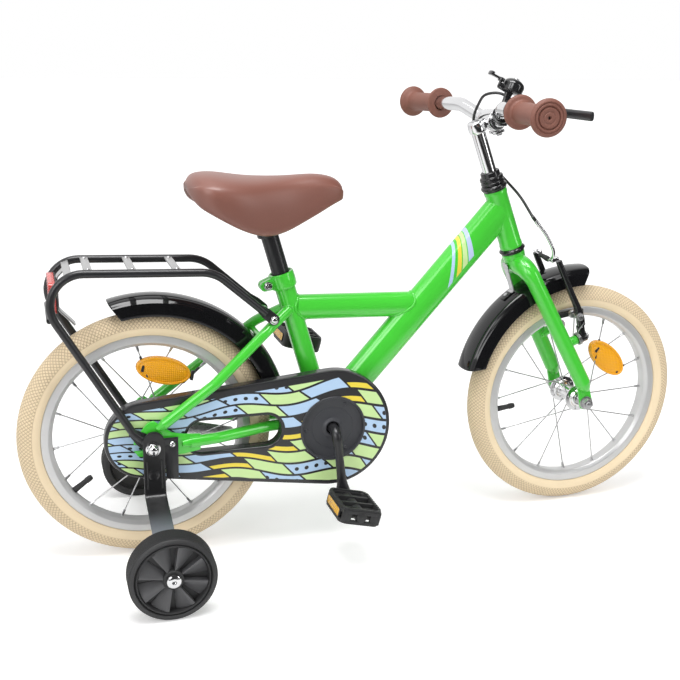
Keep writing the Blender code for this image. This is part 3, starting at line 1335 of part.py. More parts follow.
def rear_reflector():
    """A strip down the back of the carrier holds the reflector between the two bends."""
    half = CARRIER_HALF - CARRIER_TUBE_RADIUS + 0.0011
    floor = Vector((REAR_HUB.x, 0, 0))
    top = bend_point(112) - floor
    plane = -0.1200
    lens_height = rail_height(plane) - 0.0380
    path = [
        Vector((top.x + 0.0100, top.z + 0.0020)), Vector((top.x, top.z)),
        Vector((plane, lens_height + 0.0240)), Vector((plane, lens_height - 0.0240)),
        Vector((plane + 0.0220, lens_height - 0.0480)),
    ]
    strap = strip("reflector_bracket", path, 0.0220, 0.0025, floor, AHEAD, UP)
    cross = block("reflector_cross", (0.0110, half * 2, 0.0028),
                  axes_matrix(floor + Vector((top.x + 0.0040, 0, top.z + 0.0010)), Vector((0.93, 0, 0.3)),
                              LEFT))
    finish(join(strap, cross), ALLOY)
    centre = floor + Vector((plane - 0.00125 - FIT - REAR_LENS_THICK / 2, 0, lens_height))
    lens = plate("rear_reflector", [rounded_box(REAR_LENS_WIDTH, REAR_LENS_HEIGHT, 0.0060, 3)],
                 REAR_LENS_THICK, centre, LEFT, UP)
    return finish(lens, RED_LENS)


REAR_LENS_WIDTH = 0.0860
REAR_LENS_HEIGHT = 0.0460
REAR_LENS_THICK = 0.0080


def stabiliser(side, word):
    """One outrigger: a lock plate, the stepped arm with its spindle, and the wheel."""
    lock_middle = REAR_HUB + LEFT * (side * (LOCK_INNER + LOCK_THICK / 2))
    outline = (
        arc((0.0, 0.0), 0.0135, 90, 250, 4) + [(0.0170, -0.0140), (0.0190, -0.0520), (0.0370, -0.0520),
                                                (0.0380, 0.0135)]
    )
    lock = plate(f"stabiliser_lock_{word}", [outline, circle(AXLE_RADIUS + FIT, 8),
                                             circle(0.0030, 6, (0.0290, 0.0035))],
                 LOCK_THICK, lock_middle, AHEAD, UP)
    finish(lock, SATIN_BLACK)
    middle = ARM_INNER + ARM_THICK / 2
    foot_side = STABILISER_MIDDLE - STABILISER_WIDTH / 2 - 0.0010 - RUN - ARM_THICK / 2
    top = TYRE_RADIUS + 0.0260
    corners = [
        Vector((side * middle, top, 0)), Vector((side * middle, ARM_KNEE_HEIGHT, 0)),
        Vector((side * foot_side, ARM_FOOT_HEIGHT, 0)),
        Vector((side * foot_side, STABILISER_RADIUS - 0.0150, 0)),
    ]
    path = [point.to_2d() for point in rounded_path(corners, [0.0100, 0.0100], 2)]
    floor = Vector((REAR_HUB.x, 0, 0))
    arm = strip(f"stabiliser_arm_{word}", path, ARM_WIDTH, ARM_THICK, floor, LEFT, UP)
    trim_top = corner_trim(f"arm_trim_{word}", REAR_HUB + LEFT * (side * middle), top - TYRE_RADIUS, 1)
    axle_x = REAR_HUB.x + STABILISER_AHEAD
    wheel_at = Vector((axle_x, side * STABILISER_MIDDLE, STABILISER_RADIUS))
    foot_at = Vector((REAR_HUB.x, side * foot_side, STABILISER_RADIUS))
    trim_foot = corner_trim(f"arm_foot_trim_{word}", foot_at, 0.0150, -1)
    slot_cut = plate(f"arm_slot_{word}", [slot(0.0200, (AXLE_RADIUS + FIT) * 2, 4)], 0.0200,
                     REAR_HUB + LEFT * (side * middle) + UP * 0.0020, UP, AHEAD)
    cut(arm, trim_top, trim_foot, slot_cut)
    outer = STABILISER_WIDTH / 2 + 0.0005
    spindle = rod(f"stabiliser_spindle_{word}", Vector((axle_x, side * foot_side, STABILISER_RADIUS)),
                  wheel_at + LEFT * (side * outer), 0.0050, 10)
    cap = rod(f"stabiliser_cap_{word}", wheel_at + LEFT * (side * (outer - 0.0080)),
              wheel_at + LEFT * (side * (outer + 0.0030)), 0.0095, 10, 0.0070)
    finish(join(arm, spindle, cap), SATIN_BLACK)
    hinge = axis_empty(f"stabiliser_axis_{word}", wheel_at, LEFT)
    return stabiliser_wheel(f"stabiliser_wheel_{word}", wheel_at, side, hinge)


def corner_trim(name, at, reach, up):
    """A cutter that rounds a bar's end: a square frame with a round opening."""
    half = ARM_WIDTH / 2
    tip = reach - half
    outline = [(-half - 0.01, tip), (-half, tip)] + arc((0.0, tip), half, 180, 0, 6)
    outline += [(half + 0.01, tip), (half + 0.01, reach + 0.02), (-half - 0.01, reach + 0.02)]
    outline = [(x, y * up) for x, y in outline]
    return plate(name, [outline], 0.0200, at, AHEAD, UP)


FAN_BLADES = 8
FAN_RADIUS = 0.0520
FAN_HUB_RADIUS = 0.0140
FAN_DEPTH = 0.0120
FAN_BLADE_TURN = math.radians(25)


def stabiliser_wheel(name, centre, side, hinge):
    """A solid tyre round a dished hub with eight fan blades, each a ramp up to a sharp edge."""
    half = STABILISER_WIDTH / 2
    radius = STABILISER_RADIUS
    bore = 0.0050 + RUN
    cap_clear = 0.0095 + RUN
    floor = half - FAN_DEPTH
    profile = [
        (bore, -half - 0.0010), (0.0150, -half - 0.0010), (0.0160, -half + 0.0040),
        (FAN_RADIUS, -half + 0.0040), (FAN_RADIUS + 0.0020, -half), (radius - 0.0030, -half),
        (radius, half),
        (FAN_RADIUS + 0.0012, half), (FAN_RADIUS, floor), (FAN_HUB_RADIUS, floor),
        (FAN_HUB_RADIUS - 0.0012, half), (cap_clear, half), (cap_clear, half - 0.0090),
        (bore, half - 0.0090),
    ]
    made = turned(name, profile, centre, LEFT * side, 20)
    blades = bmesh.new()
    for index in range(FAN_BLADES):
        turn = 2 * math.pi * (index + 0.3) / FAN_BLADES
        corners = []
        for reach in (FAN_HUB_RADIUS - 0.0015, FAN_RADIUS - 0.0060):
            for angle, height in ((0, -0.0010), (0, 0.0004), (FAN_BLADE_TURN, FAN_DEPTH - 0.0030),
                                  (FAN_BLADE_TURN, -0.0010)):
                corners.append(blades.verts.new((reach * math.cos(turn + angle),
                                                 reach * math.sin(turn + angle), floor + height)))
        bmesh.ops.convex_hull(blades, input=corners)
    fan = from_bmesh(name + "_fan", blades, axis_matrix(centre, LEFT * side))
    return finish(join(made, fan), BLACK_PLASTIC, hinge)


def case_circles(inset):
    front = (BOTTOM.x - REAR_HUB.x, BOTTOM.z - REAR_HUB.z)
    rear = (-CASE_REAR_BEHIND, CASE_REAR_RISE)
    return belt(front, CASE_FRONT_RADIUS - inset, rear, CASE_REAR_RADIUS - inset, 10)


SLOT_FROM = 0.0780
SLOT_TO = 0.1750
SLOT_HALF = 0.0250
SLOT_RISE = 0.0040


def case_slot(grow):
    """The opening between the chain's two runs, which the chain stay passes through."""
    middle = ((SLOT_FROM + SLOT_TO) / 2, SLOT_RISE)
    return slot(SLOT_TO - SLOT_FROM, (SLOT_HALF + grow) * 2, 5, middle)


def chain_case():
    """A face shell with its rim, a back plate and the dished disc round the crank."""
    bb_at = (BOTTOM.x - REAR_HUB.x, BOTTOM.z - REAR_HUB.z)
    back_middle = REAR_HUB + RIGHT * (CASE_BACK + CASE_WALL / 2)
    back = plate(
        "chain_case_back",
        [case_circles(0.0006), case_slot(0.0), circle(BB_CUP_RADIUS + FIT, 12, bb_at), circle(0.0200, 12)],
        CASE_WALL, back_middle, AHEAD, UP,
    )
    finish(back, GLOSS_BLACK)
    rim_edge = CASE_BACK + CASE_WALL + FIT
    depth = CASE_FACE - rim_edge
    shell = plate("chain_case_cover", [case_circles(0.0), case_slot(0.0)], depth,
                  REAR_HUB + RIGHT * (rim_edge + depth / 2), AHEAD, UP)
    cavity = plate("case_cavity", [case_circles(CASE_WALL), case_slot(CASE_WALL)], depth,
                   REAR_HUB + RIGHT * (rim_edge + depth / 2 - CASE_WALL), AHEAD, UP)
    crank_hole = rod("case_crank_hole", BOTTOM + RIGHT * (CASE_FACE - 0.01),
                     BOTTOM + RIGHT * (CASE_FACE + 0.01), CASE_HOLE_RADIUS, 20)
    axle_hole = rod("case_axle_hole", REAR_HUB + RIGHT * (CASE_FACE - 0.01),
                    REAR_HUB + RIGHT * (CASE_FACE + 0.01), 0.0105, 10)
    finish(cut(shell, cavity, crank_hole, axle_hole), GLOSS_BLACK)
    hole = CASE_HOLE_RADIUS - FIT
    floor = CASE_WALL - CASE_DISC_DEPTH
    profile = [
        (CRANK_HOLE_RADIUS, -CASE_DISC_DEPTH), (CRANK_HOLE_RADIUS, floor + 0.0030),
        (CRANK_HOLE_RADIUS + 0.0035, floor + 0.0030), (CRANK_HOLE_RADIUS + 0.0070, floor),
        (hole - CASE_WALL, floor), (hole - CASE_WALL, 0.0012), (hole + 0.0018, 0.0012),
        (hole + 0.0018, FIT), (hole, FIT), (hole, -CASE_DISC_DEPTH),
    ]
    disc = turned("chain_case_disc", profile, BOTTOM + RIGHT * CASE_FACE, RIGHT, 20)
    return finish(disc, SATIN_BLACK)


CRANK_HOLE_RADIUS = 0.0105
BB_CUP_RADIUS = BB_SHELL_RADIUS - 0.0030 - FIT
SPINDLE_RADIUS = 0.0110


def bottom_bracket():
    """The bearing sleeve in the shell, whose lip clamps the chain case's back plate."""
    bore = SPINDLE_RADIUS + RUN
    hollow = BB_CUP_RADIUS - 0.0030
    lip = BB_SHELL_RADIUS + 0.0010
    back = CASE_BACK + CASE_WALL + FIT
    right_end = back + 0.0020
    left_end = -BB_SHELL_HALF - 0.0020
    profile = [
        (bore, left_end), (bore, left_end + 0.0100), (hollow, left_end + 0.0130),
        (hollow, right_end - 0.0130), (bore, right_end - 0.0100), (bore, right_end), (lip, right_end),
        (lip, back), (BB_CUP_RADIUS, back), (BB_CUP_RADIUS, -BB_SHELL_HALF - FIT),
        (lip, -BB_SHELL_HALF - FIT), (lip, left_end),
    ]
    return finish(turned("bottom_bracket", profile, BOTTOM, RIGHT, 12), STEEL)


def sprocket_outline(teeth):
    """Teeth that run just inside the chain, so that the chain can stay still while they turn."""
    tip = sprocket_pitch(teeth) - CHAIN_HEIGHT / 2 - RUN
    root = tip - 0.0035
    step = 360 / teeth
    points = []
    for index in range(teeth):
        points += arc((0.0, 0.0), tip, index * step, index * step, 1)[:1]
        points += arc((0.0, 0.0), root, (index + 0.5) * step, (index + 0.5) * step, 1)[:1]
    return points


def sprocket_pitch(teeth):
    return CHAIN_PITCH / (2 * math.sin(math.pi / teeth))


def chain():
    """A plain band as wide and as deep as the links, round both sprockets."""
    ring = sprocket_pitch(RING_TEETH)
    small = sprocket_pitch(SPROCKET_TEETH)
    front = (BOTTOM.x - REAR_HUB.x, BOTTOM.z - REAR_HUB.z)
    outlines = []
    for reach in (CHAIN_HEIGHT / 2, -CHAIN_HEIGHT / 2):
        outlines.append(belt(front, ring + reach, (0.0, 0.0), small + reach, 12))
    made = plate("chain", outlines, CHAIN_WIDTH, REAR_HUB + RIGHT * CHAINLINE, AHEAD, UP)
    return finish(made, STEEL)


def rear_sprocket():
    """The hub's driver, which the chain turns, on its own bearing."""
    made = plate("rear_sprocket", [sprocket_outline(SPROCKET_TEETH)], 0.0030,
                 REAR_HUB + RIGHT * CHAINLINE, AHEAD, UP)
    inner = REAR_HUB_END + RUN
    neck = rod("driver_neck", REAR_HUB + RIGHT * inner, REAR_HUB + RIGHT * (CHAINLINE + 0.0040), 0.0145, 10)
    bore = rod("driver_bore", REAR_HUB + RIGHT * 0.02, REAR_HUB + RIGHT * 0.06, AXLE_RADIUS + RUN, 8)
    return finish(cut(join(made, neck), bore), STEEL, DRIVER)


CRANK_NECK_RADIUS = 0.0080
CRANK_TURN_START = 0.0590
CRANK_TURN_RADIUS = 0.0130
CRANK_TIP = 0.0775
RING_LUG_RADIUS = 0.0165


def crank_out(side):
    """The way the right or left crank points from the bottom bracket."""
    turn = CRANK_ANGLE if side < 0 else CRANK_ANGLE + math.pi
    return Vector((math.cos(turn), 0, math.sin(turn)))


def crank_rings(side):
    """One half of the forging, from the bearing's seat round the bend to the pedal's eye."""
    out = crank_out(side)
    across = LEFT.cross(crank_out(-1))
    away = LEFT * side
    round_seat = SPINDLE_RADIUS * 2
    round_neck = CRANK_NECK_RADIUS * 2
    bend = CRANK_TURN_START + CRANK_TURN_RADIUS
    rise = (CRANK_TIP - bend) / (CRANK_LENGTH - CRANK_TURN_RADIUS)
    stations = [(0.0372, 0.0, 0.0, round_seat, round_seat), (0.0388, 0.0, 0.0, round_neck, round_neck),
                (CRANK_TURN_START, 0.0, 0.0, round_neck, round_neck)]
    for degrees in (45, 90):
        angle = math.radians(degrees)
        stations.append((CRANK_TURN_START + CRANK_TURN_RADIUS * math.sin(angle),
                         CRANK_TURN_RADIUS * (1 - math.cos(angle)), angle, round_neck, 0.0150))
    for reach, width, thick in ((0.0420, 0.0132, 0.0125), (0.0780, 0.0150, 0.0125),
                                (CRANK_LENGTH - 0.0100, 0.0210, 0.0130), (CRANK_LENGTH, 0.0240, 0.0130),
                                (CRANK_LENGTH + 0.0080, 0.0190, 0.0125),
                                (CRANK_LENGTH + 0.0120, 0.0090, 0.0115)):
        stations.append((bend + rise * (reach - CRANK_TURN_RADIUS), reach, math.pi / 2, width, thick))
    rings = []
    for outward, reach, angle, width, thick in stations:
        centre = BOTTOM + away * outward + out * reach
        normal = (out * math.cos(angle) - away * math.sin(angle)) * -side
        rings.append(oval_ring(centre, across, normal, width, thick, 8))
    return rings


def pedal_inner():
    return PEDAL_MIDDLE - PEDAL_LENGTH / 2


def cranks():
    """Both arms and the spindle are one bent forging, with the chainring fixed to its lug."""
    made = loft("crank", crank_rings(1)[::-1] + crank_rings(-1))
    for side in (-1, 1):
        eye = BOTTOM + crank_out(side) * CRANK_LENGTH + LEFT * (side * CRANK_TIP)
        pin = rod(f"pedal_pin_{side}", eye,
                  eye + LEFT * (side * (pedal_inner() - CRANK_TIP + PEDAL_LENGTH - PEDAL_WALL)), 0.0045, 8)
        collar = rod(f"pedal_collar_{side}", eye + LEFT * (side * 0.0030),
                     eye + LEFT * (side * (pedal_inner() - RUN - CRANK_TIP)), 0.0070, 8)
        join(made, pin, collar)
    ring_back = CHAINLINE - RING_THICK / 2
    lug = rod("ring_lug", BOTTOM + RIGHT * (ring_back - 0.0018), BOTTOM + RIGHT * CHAINLINE,
              RING_LUG_RADIUS, 12)
    nut = rod("ring_nut", BOTTOM + RIGHT * CHAINLINE,
              BOTTOM + RIGHT * (CHAINLINE + RING_THICK / 2 + 0.0023), RING_LUG_RADIUS - 0.0020, 6)
    ring = plate("chainring", [sprocket_outline(RING_TEETH)], RING_THICK, BOTTOM + RIGHT * CHAINLINE,
                 AHEAD, UP)
    return finish(join(made, lug, ring, nut), SATIN_BLACK, CRANKS)


RING_THICK = 0.0030
PEDAL_WALL = 0.0060


def pedal(name, side):
    """A block pedal: a rounded cage, a barrel on the pin and ribs from side to side."""
    middle = BOTTOM + crank_out(side) * CRANK_LENGTH + LEFT * (side * PEDAL_MIDDLE)
    level = Vector((math.cos(PEDAL_TILT), 0, math.sin(PEDAL_TILT)))
    hinge = axis_empty(name + "_axis", middle, LEFT, CRANKS)
    cage = [rounded_box(PEDAL_WIDTH, PEDAL_LENGTH, 0.0120, 2),
            rounded_box(PEDAL_WIDTH - PEDAL_WALL * 2, PEDAL_LENGTH - PEDAL_WALL * 2, 0.0060, 1)]
    made = plate(name, cage, PEDAL_HEIGHT, middle, level, LEFT)
    half = PEDAL_LENGTH / 2 - 0.0030
    barrel = rod(name + "_barrel", middle - LEFT * half, middle + LEFT * half, 0.0095, 10)
    join(made, barrel)
    for number, place in enumerate((-0.0150, 0.0090)):
        rib = block(f"{name}_rib_{number}", (PEDAL_WIDTH - 0.0070, 0.0050, PEDAL_HEIGHT - 0.0034),
                    axes_matrix(middle + LEFT * (side * place), level, LEFT))
        join(made, rib)
    bore = rod(name + "_bore", middle - LEFT * (side * PEDAL_LENGTH),
               middle + LEFT * (side * (PEDAL_LENGTH / 2 - PEDAL_WALL + RUN)), 0.0045 + RUN, 8)
    return finish(cut(made, bore), BLACK_PLASTIC, hinge)


SADDLE_STATIONS = (
    (-0.1100, 0.0300, 0.0370, 0.0200), (-0.1020, 0.0560, 0.0470, 0.0060),
    (-0.0760, 0.0720, 0.0500, -0.0100), (-0.0380, 0.0680, 0.0450, -0.0310),
    (0.0020, 0.0520, 0.0420, -0.0430), (0.0400, 0.0370, 0.0420, -0.0360),
    (0.0780, 0.0290, 0.0440, -0.0180), (0.1080, 0.0245, 0.0400, -0.0020),
    (0.1260, 0.0170, 0.0270, 0.0050),
)
SADDLE_UP = 0.3640
SADDLE_UNDER = 0.0247


def saddle_ring(ahead, half, top, low):
    """One cross-section of the saddle: crowned on top, drawn in at the sides, hollow below."""
    under = low + min(SADDLE_UNDER, (top - low) * 0.45)
    upper = [(0.0, top), (half * 0.50, top - 0.0030), (half * 0.86, top - 0.0130),
             (half, top - (top - low) * 0.48), (half * 0.94, low + 0.0020), (half * 0.78, low),
             (half * 0.45, under)]
    ring = upper + [(0.0, under)] + [(-across, height) for across, height in reversed(upper[1:])]
    return [Vector((ahead, across, height)) for across, height in ring]


def saddle():
    """A deep moulded saddle from a coarse cage, smoothed once."""
    origin = on_seat(SADDLE_UP)
    rings = [saddle_ring(*station) for station in SADDLE_STATIONS]
    made = loft("saddle", rings, Matrix.Translation(origin))
    smooth = made.modifiers.new("smooth", "SUBSURF")
    smooth.levels = 1
    smooth.render_levels = 1
    finish(made, BROWN, SEAT, 80)
    post = rod("seatpost", on_seat(SEATPOST_TOP - SEATPOST_LENGTH), on_seat(SEATPOST_TOP),
               SEATPOST_RADIUS, 16)
    finish(post, SATIN_BLACK, SEAT)
    rail_top = SEATPOST_TOP + 0.0090
    clamp = rod("saddle_clamp", on_seat(SEATPOST_TOP - 0.0200), on_seat(rail_top), 0.0185, 12)
    for side in (-1, 1):
        middle = on_seat(rail_top - 0.0050, 0.0, side * 0.0200)
        rail = rod(f"saddle_rail_{side}", middle - AHEAD * 0.0500, middle + AHEAD * 0.0450, 0.0035, 8)
        join(clamp, rail)
    socket = rod("saddle_socket", on_seat(SEATPOST_TOP - 0.03), on_seat(SEATPOST_TOP + FIT),
                 bored(SEATPOST_RADIUS, 14), 14)
    return finish(cut(clamp, socket), STEEL, SEAT)


def build():
    frame()
    rear_stays()
    headset()
    seat_clamp()
    fork()
    stem()
    handlebar()
    grip("grip_right", -1)
    grip("grip_left", 1)
    bell()
    brake_lever()
    right_hinge = brake_arm("brake_arm_right", -1)
    brake_arm("brake_arm_left", 1)
    noodle(right_hinge)
    brake_cable()
    mudguards()
    front_wheel()
    rear_wheel()
    axles()
    coaster_brake_arm()
    rear_carrier()
    carrier_slats()
    rear_reflector()
    stabiliser(-1, "right")
    stabiliser(1, "left")
    chain_case()
    bottom_bracket()
    chain()
    rear_sprocket()
    cranks()
    pedal("pedal_right", -1)
    pedal("pedal_left", 1)
    saddle()


build()
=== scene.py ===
# %% [markdown]
# # A kids' bike, dressed over its working frame
#
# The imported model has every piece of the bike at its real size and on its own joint. Its forms
# are kept light, with few facets. This lesson puts the smooth, detailed piece over each plain
# one and gives it the finish of the real bike: gloss green paint, cream rubber, brown vinyl,
# bright plate and black plastic.

# %% Load the frame
import math

import bmesh
import bpy
from mathutils import Matrix, Vector
from mathutils.bvhtree import BVHTree


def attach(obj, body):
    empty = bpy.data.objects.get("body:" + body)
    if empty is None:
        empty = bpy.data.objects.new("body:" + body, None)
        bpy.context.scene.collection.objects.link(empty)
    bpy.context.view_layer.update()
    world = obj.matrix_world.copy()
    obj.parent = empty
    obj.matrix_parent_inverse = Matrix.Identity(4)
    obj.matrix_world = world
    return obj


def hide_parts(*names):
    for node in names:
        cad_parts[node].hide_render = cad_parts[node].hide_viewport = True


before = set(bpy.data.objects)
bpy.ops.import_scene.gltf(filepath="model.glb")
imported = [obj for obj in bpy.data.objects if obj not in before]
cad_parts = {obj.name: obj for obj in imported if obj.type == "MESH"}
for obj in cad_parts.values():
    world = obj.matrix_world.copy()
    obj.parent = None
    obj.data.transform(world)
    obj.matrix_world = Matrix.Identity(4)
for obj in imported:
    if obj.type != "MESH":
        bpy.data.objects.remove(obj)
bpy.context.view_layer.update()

# %% [markdown]
# ## The camera
#
# The photograph's camera was found from the two wheels, which are true circles. It stands on the
# chain side, behind the saddle and a little above it, and looks down on the bike. A focal length
# in pixels becomes a lens in millimetres through the 36 mm width of the sensor.

# %% Place the camera
CAMERA_AT = Vector((-0.52126, -1.48837, 0.75506))
YAW = math.radians(17.36)
PITCH = math.radians(15.65)
ROLL = math.radians(0.69)
FOCAL_PIXELS = 1015.95
PICTURE_PIXELS = 680
SENSOR = 36.0


def place_camera():
    forward = Vector((math.sin(YAW) * math.cos(PITCH), math.cos(YAW) * math.cos(PITCH), -math.sin(PITCH)))
    level = Vector((math.cos(YAW), -math.sin(YAW), 0.0))
    rise = level.cross(forward)
    right = level * math.cos(ROLL) + rise * math.sin(ROLL)
    up = rise * math.cos(ROLL) - level * math.sin(ROLL)
    lens = bpy.data.cameras.new("camera")
    lens.sensor_width = SENSOR
    lens.lens = FOCAL_PIXELS / PICTURE_PIXELS * SENSOR
    lens.clip_start = 0.05
    made = bpy.data.objects.new("camera", lens)
    bpy.context.scene.collection.objects.link(made)
    made.matrix_world = Matrix.Translation(CAMERA_AT) @ Matrix((right, up, -forward)).transposed().to_4x4()
    bpy.context.scene.camera = made
    print("lens:", round(lens.lens, 2), "mm")


place_camera()
bpy.context.scene.view_settings.view_transform = "Standard"

# %% [markdown]
# ## Where things are
#
# A piece is placed by the bike's own lines: the hubs, the bottom bracket, the steering axis and
# the seat tube. With a few named points and directions, each later step can say "up the
# steering axis" instead of giving loose numbers.

# %% Name the bike's lines and sizes
FIT = 0.0003
RUN = 0.0006
WHEELBASE = 0.730
TYRE_RADIUS = 0.1925
TYRE_SECTION = 0.0400
RIM_RADIUS = 0.1585
RIM_WIDTH = 0.0280
RIM_DEPTH = 0.0175
HEAD_ANGLE = math.radians(69.5)
SEAT_ANGLE = math.radians(73.7)
FORK_OFFSET = 0.0280
HEAD_TUBE_FOOT = 0.2925
HEAD_TUBE_LENGTH = 0.1000
HEAD_TUBE_RADIUS = 0.0180
BB_AHEAD = 0.2830
BB_DROP = 0.0025
BB_SHELL_RADIUS = 0.0285
BB_SHELL_HALF = 0.0325
SEAT_TUBE_LENGTH = 0.2520
SEAT_TUBE_RADIUS = 0.0159
BAR_RADIUS = 0.0111
AXLE_RADIUS = 0.0047
CASE_FACE = 0.0525
CASE_BACK = 0.0330
CHAINLINE = 0.0410

LEFT = Vector((0.0, 1.0, 0.0))
RIGHT = Vector((0.0, -1.0, 0.0))
UP = Vector((0.0, 0.0, 1.0))
AHEAD = Vector((1.0, 0.0, 0.0))
REAR_HUB = Vector((-WHEELBASE / 2, 0.0, TYRE_RADIUS))
FRONT_HUB = Vector((WHEELBASE / 2, 0.0, TYRE_RADIUS))
BOTTOM = REAR_HUB + Vector((BB_AHEAD, 0.0, -BB_DROP))
STEER_UP = Vector((-math.cos(HEAD_ANGLE), 0.0, math.sin(HEAD_ANGLE)))
STEER_AHEAD = Vector((math.sin(HEAD_ANGLE), 0.0, math.cos(HEAD_ANGLE)))
STEER_FOOT = FRONT_HUB - STEER_AHEAD * FORK_OFFSET
SEAT_UP = Vector((-math.cos(SEAT_ANGLE), 0.0, math.sin(SEAT_ANGLE)))
SEAT_AHEAD = Vector((math.sin(SEAT_ANGLE), 0.0, math.cos(SEAT_ANGLE)))


def on_steering(up, ahead=0.0, side=0.0):
    return STEER_FOOT + STEER_UP * up + STEER_AHEAD * ahead + LEFT * side


def on_seat(up, ahead=0.0, side=0.0):
    return BOTTOM + SEAT_UP * up + SEAT_AHEAD * ahead + LEFT * side


def from_rear(ahead, side, height):
    return Vector((REAR_HUB.x + ahead, side, height))


def direction(angle):
    """A unit vector in the plane of the bike, in degrees up from straight ahead."""
    return Vector((math.cos(math.radians(angle)), 0.0, math.sin(math.radians(angle))))


# %% [markdown]
# ## Shapes from a few operators
#
# A bike is made of turned parts, bent tubes, flat plates and small castings. Four makers cover
# them: a profile spun round an axis, a circle extruded along a route, an outline filled and
# extruded, and a skin bridged over rings. Each returns a bmesh that already lies in the bike's
# own frame, so a finished piece is only several of them put together.

# %% Placements and outlines
def axes_matrix(origin, x_axis, y_axis):
    x = x_axis.normalized()
    z = x.cross(y_axis).normalized()
    return Matrix.Translation(origin) @ Matrix((x, z.cross(x), z)).transposed().to_4x4()


def axis_matrix(origin, z_axis):
    return Matrix.Translation(origin) @ z_axis.to_track_quat("Z", "Y").to_matrix().to_4x4()


def arc(centre, radius, start, end, count):
    points = []
    for step in range(count + 1):
        angle = math.radians(start + (end - start) * step / count)
        points.append((centre[0] + radius * math.cos(angle), centre[1] + radius * math.sin(angle)))
    return points


def circle(radius, count=48, centre=(0.0, 0.0)):
    return arc(centre, radius, 0, 360, count)[:-1]


def rounded_box(width, height, radius, count=6, centre=(0.0, 0.0)):
    x = width / 2 - radius
    y = height / 2 - radius
    points = []
    for corner, (side, rise) in enumerate(((1, 1), (-1, 1), (-1, -1), (1, -1))):
        middle = (centre[0] + side * x, centre[1] + rise * y)
        points += arc(middle, radius, corner * 90, corner * 90 + 90, count)
    return points


def slot_outline(length, width, count, centre=(0.0, 0.0)):
    points = arc((centre[0] + length / 2, centre[1]), width / 2, -90, 90, count)
    return points + arc((centre[0] - length / 2, centre[1]), width / 2, 90, 270, count)


def belt(first, first_radius, second, second_radius, count):
    """The outline of a belt round two circles, the first being ahead of the second."""
    run = math.hypot(first[0] - second[0], first[1] - second[1])
    tilt = math.degrees(math.atan2(first[1] - second[1], first[0] - second[0]))
    lean = math.degrees(math.asin((first_radius - second_radius) / run))
    points = arc(first, first_radius, tilt - 90 - lean, tilt + 90 + lean, count)
    return points + arc(second, second_radius, tilt + 90 + lean, tilt + 270 - lean, count)


# %% Routes for tubes and wires
def rounded_route(corners, radii, count=8):
    """A route through the corners, with each inner corner rounded to its radius."""
    points = [Vector(corners[0])]
    for before, corner, after, radius in zip(corners, corners[1:], corners[2:], radii):
        into = (Vector(before) - corner).normalized()
        out = (Vector(after) - corner).normalized()
        half = into.angle(out) / 2
        middle = corner + (into + out).normalized() * (radius / math.sin(half))
        start = corner + into * (radius / math.tan(half)) - middle
        end = corner + out * (radius / math.tan(half)) - middle
        sweep = start.angle(end)
        for step in range(count + 1):
            part = step / count
            near = math.sin((1 - part) * sweep) / math.sin(sweep)
            far = math.sin(part * sweep) / math.sin(sweep)
            points.append(middle + start * near + end * far)
    points.append(Vector(corners[-1]))
    return points


def smooth_route(points, count):
    """A Catmull-Rom curve through the route's own points."""
    ends = [points[0] * 2 - points[1]] + list(points) + [points[-1] * 2 - points[-2]]
    route = []
    for a, b, c, d in zip(ends, ends[1:], ends[2:], ends[3:]):
        for step in range(count):
            t = step / count
            route.append(
                (b * 2 + (c - a) * t + (a * 2 - b * 5 + c * 4 - d) * t * t
                 + (b * 3 - a - c * 3 + d) * t * t * t) / 2
            )
    return route + [points[-1]]


# %% Turned shapes
def turned(profile, origin, axis, steps=64, closed=True):
    """A profile of (radius, distance along the axis), spun round the axis."""
    shape = bmesh.new()
    verts = [shape.verts.new((radius, 0.0, along)) for radius, along in profile]
    pairs = list(zip(verts, verts[1:])) + ([(verts[-1], verts[0])] if closed else [])
    edges = [shape.edges.new(pair) for pair in pairs]
    bmesh.ops.spin(shape, geom=verts + edges, cent=(0, 0, 0), axis=(0, 0, 1), angle=2 * math.pi,
                   steps=steps, use_merge=True)
    bmesh.ops.remove_doubles(shape, verts=shape.verts, dist=0.000004)
    bmesh.ops.transform(shape, matrix=axis_matrix(origin, axis), verts=shape.verts)
    return shape


def softened(profile, reach, closed=True, count=2):
    """The same profile with its corners cut back by a small arc of about the given reach."""
    points = []
    total = len(profile)
    for index, (x, y) in enumerate(profile):
        if not closed and index in (0, total - 1):
            points.append((x, y))
            continue
        here = Vector((x, y))
        before = Vector(profile[index - 1]) - here
        after = Vector(profile[(index + 1) % total]) - here
        cut = min(reach, before.length * 0.45, after.length * 0.45)
        start = here + before.normalized() * cut
        end = here + after.normalized() * cut
        for step in range(count + 1):
            t = step / count
            point = start * (1 - t) ** 2 + here * (2 * t * (1 - t)) + end * t ** 2
            points.append((point.x, point.y))
    return points


def rod(start, end, radius, sides=32, end_radius=None, soft=0.0006):
    """A straight round bar with its ends' edges rounded."""
    last = radius if end_radius is None else end_radius
    length = (end - start).length
    reach = min(soft, radius * 0.4, length * 0.4)
    profile = [(0.0, 0.0), (radius, 0.0), (last, length), (0.0, length)]
    return turned(softened(profile, reach, closed=False), start, end - start, sides, closed=False)


# %% Bent tubes
def ring_points(centre, across, along, width, depth, count):
    points = []
    for step in range(count):
        angle = 2 * math.pi * step / count
        points.append(centre + across * (width / 2 * math.cos(angle)) + along * (depth / 2 * math.sin(angle)))
    return points


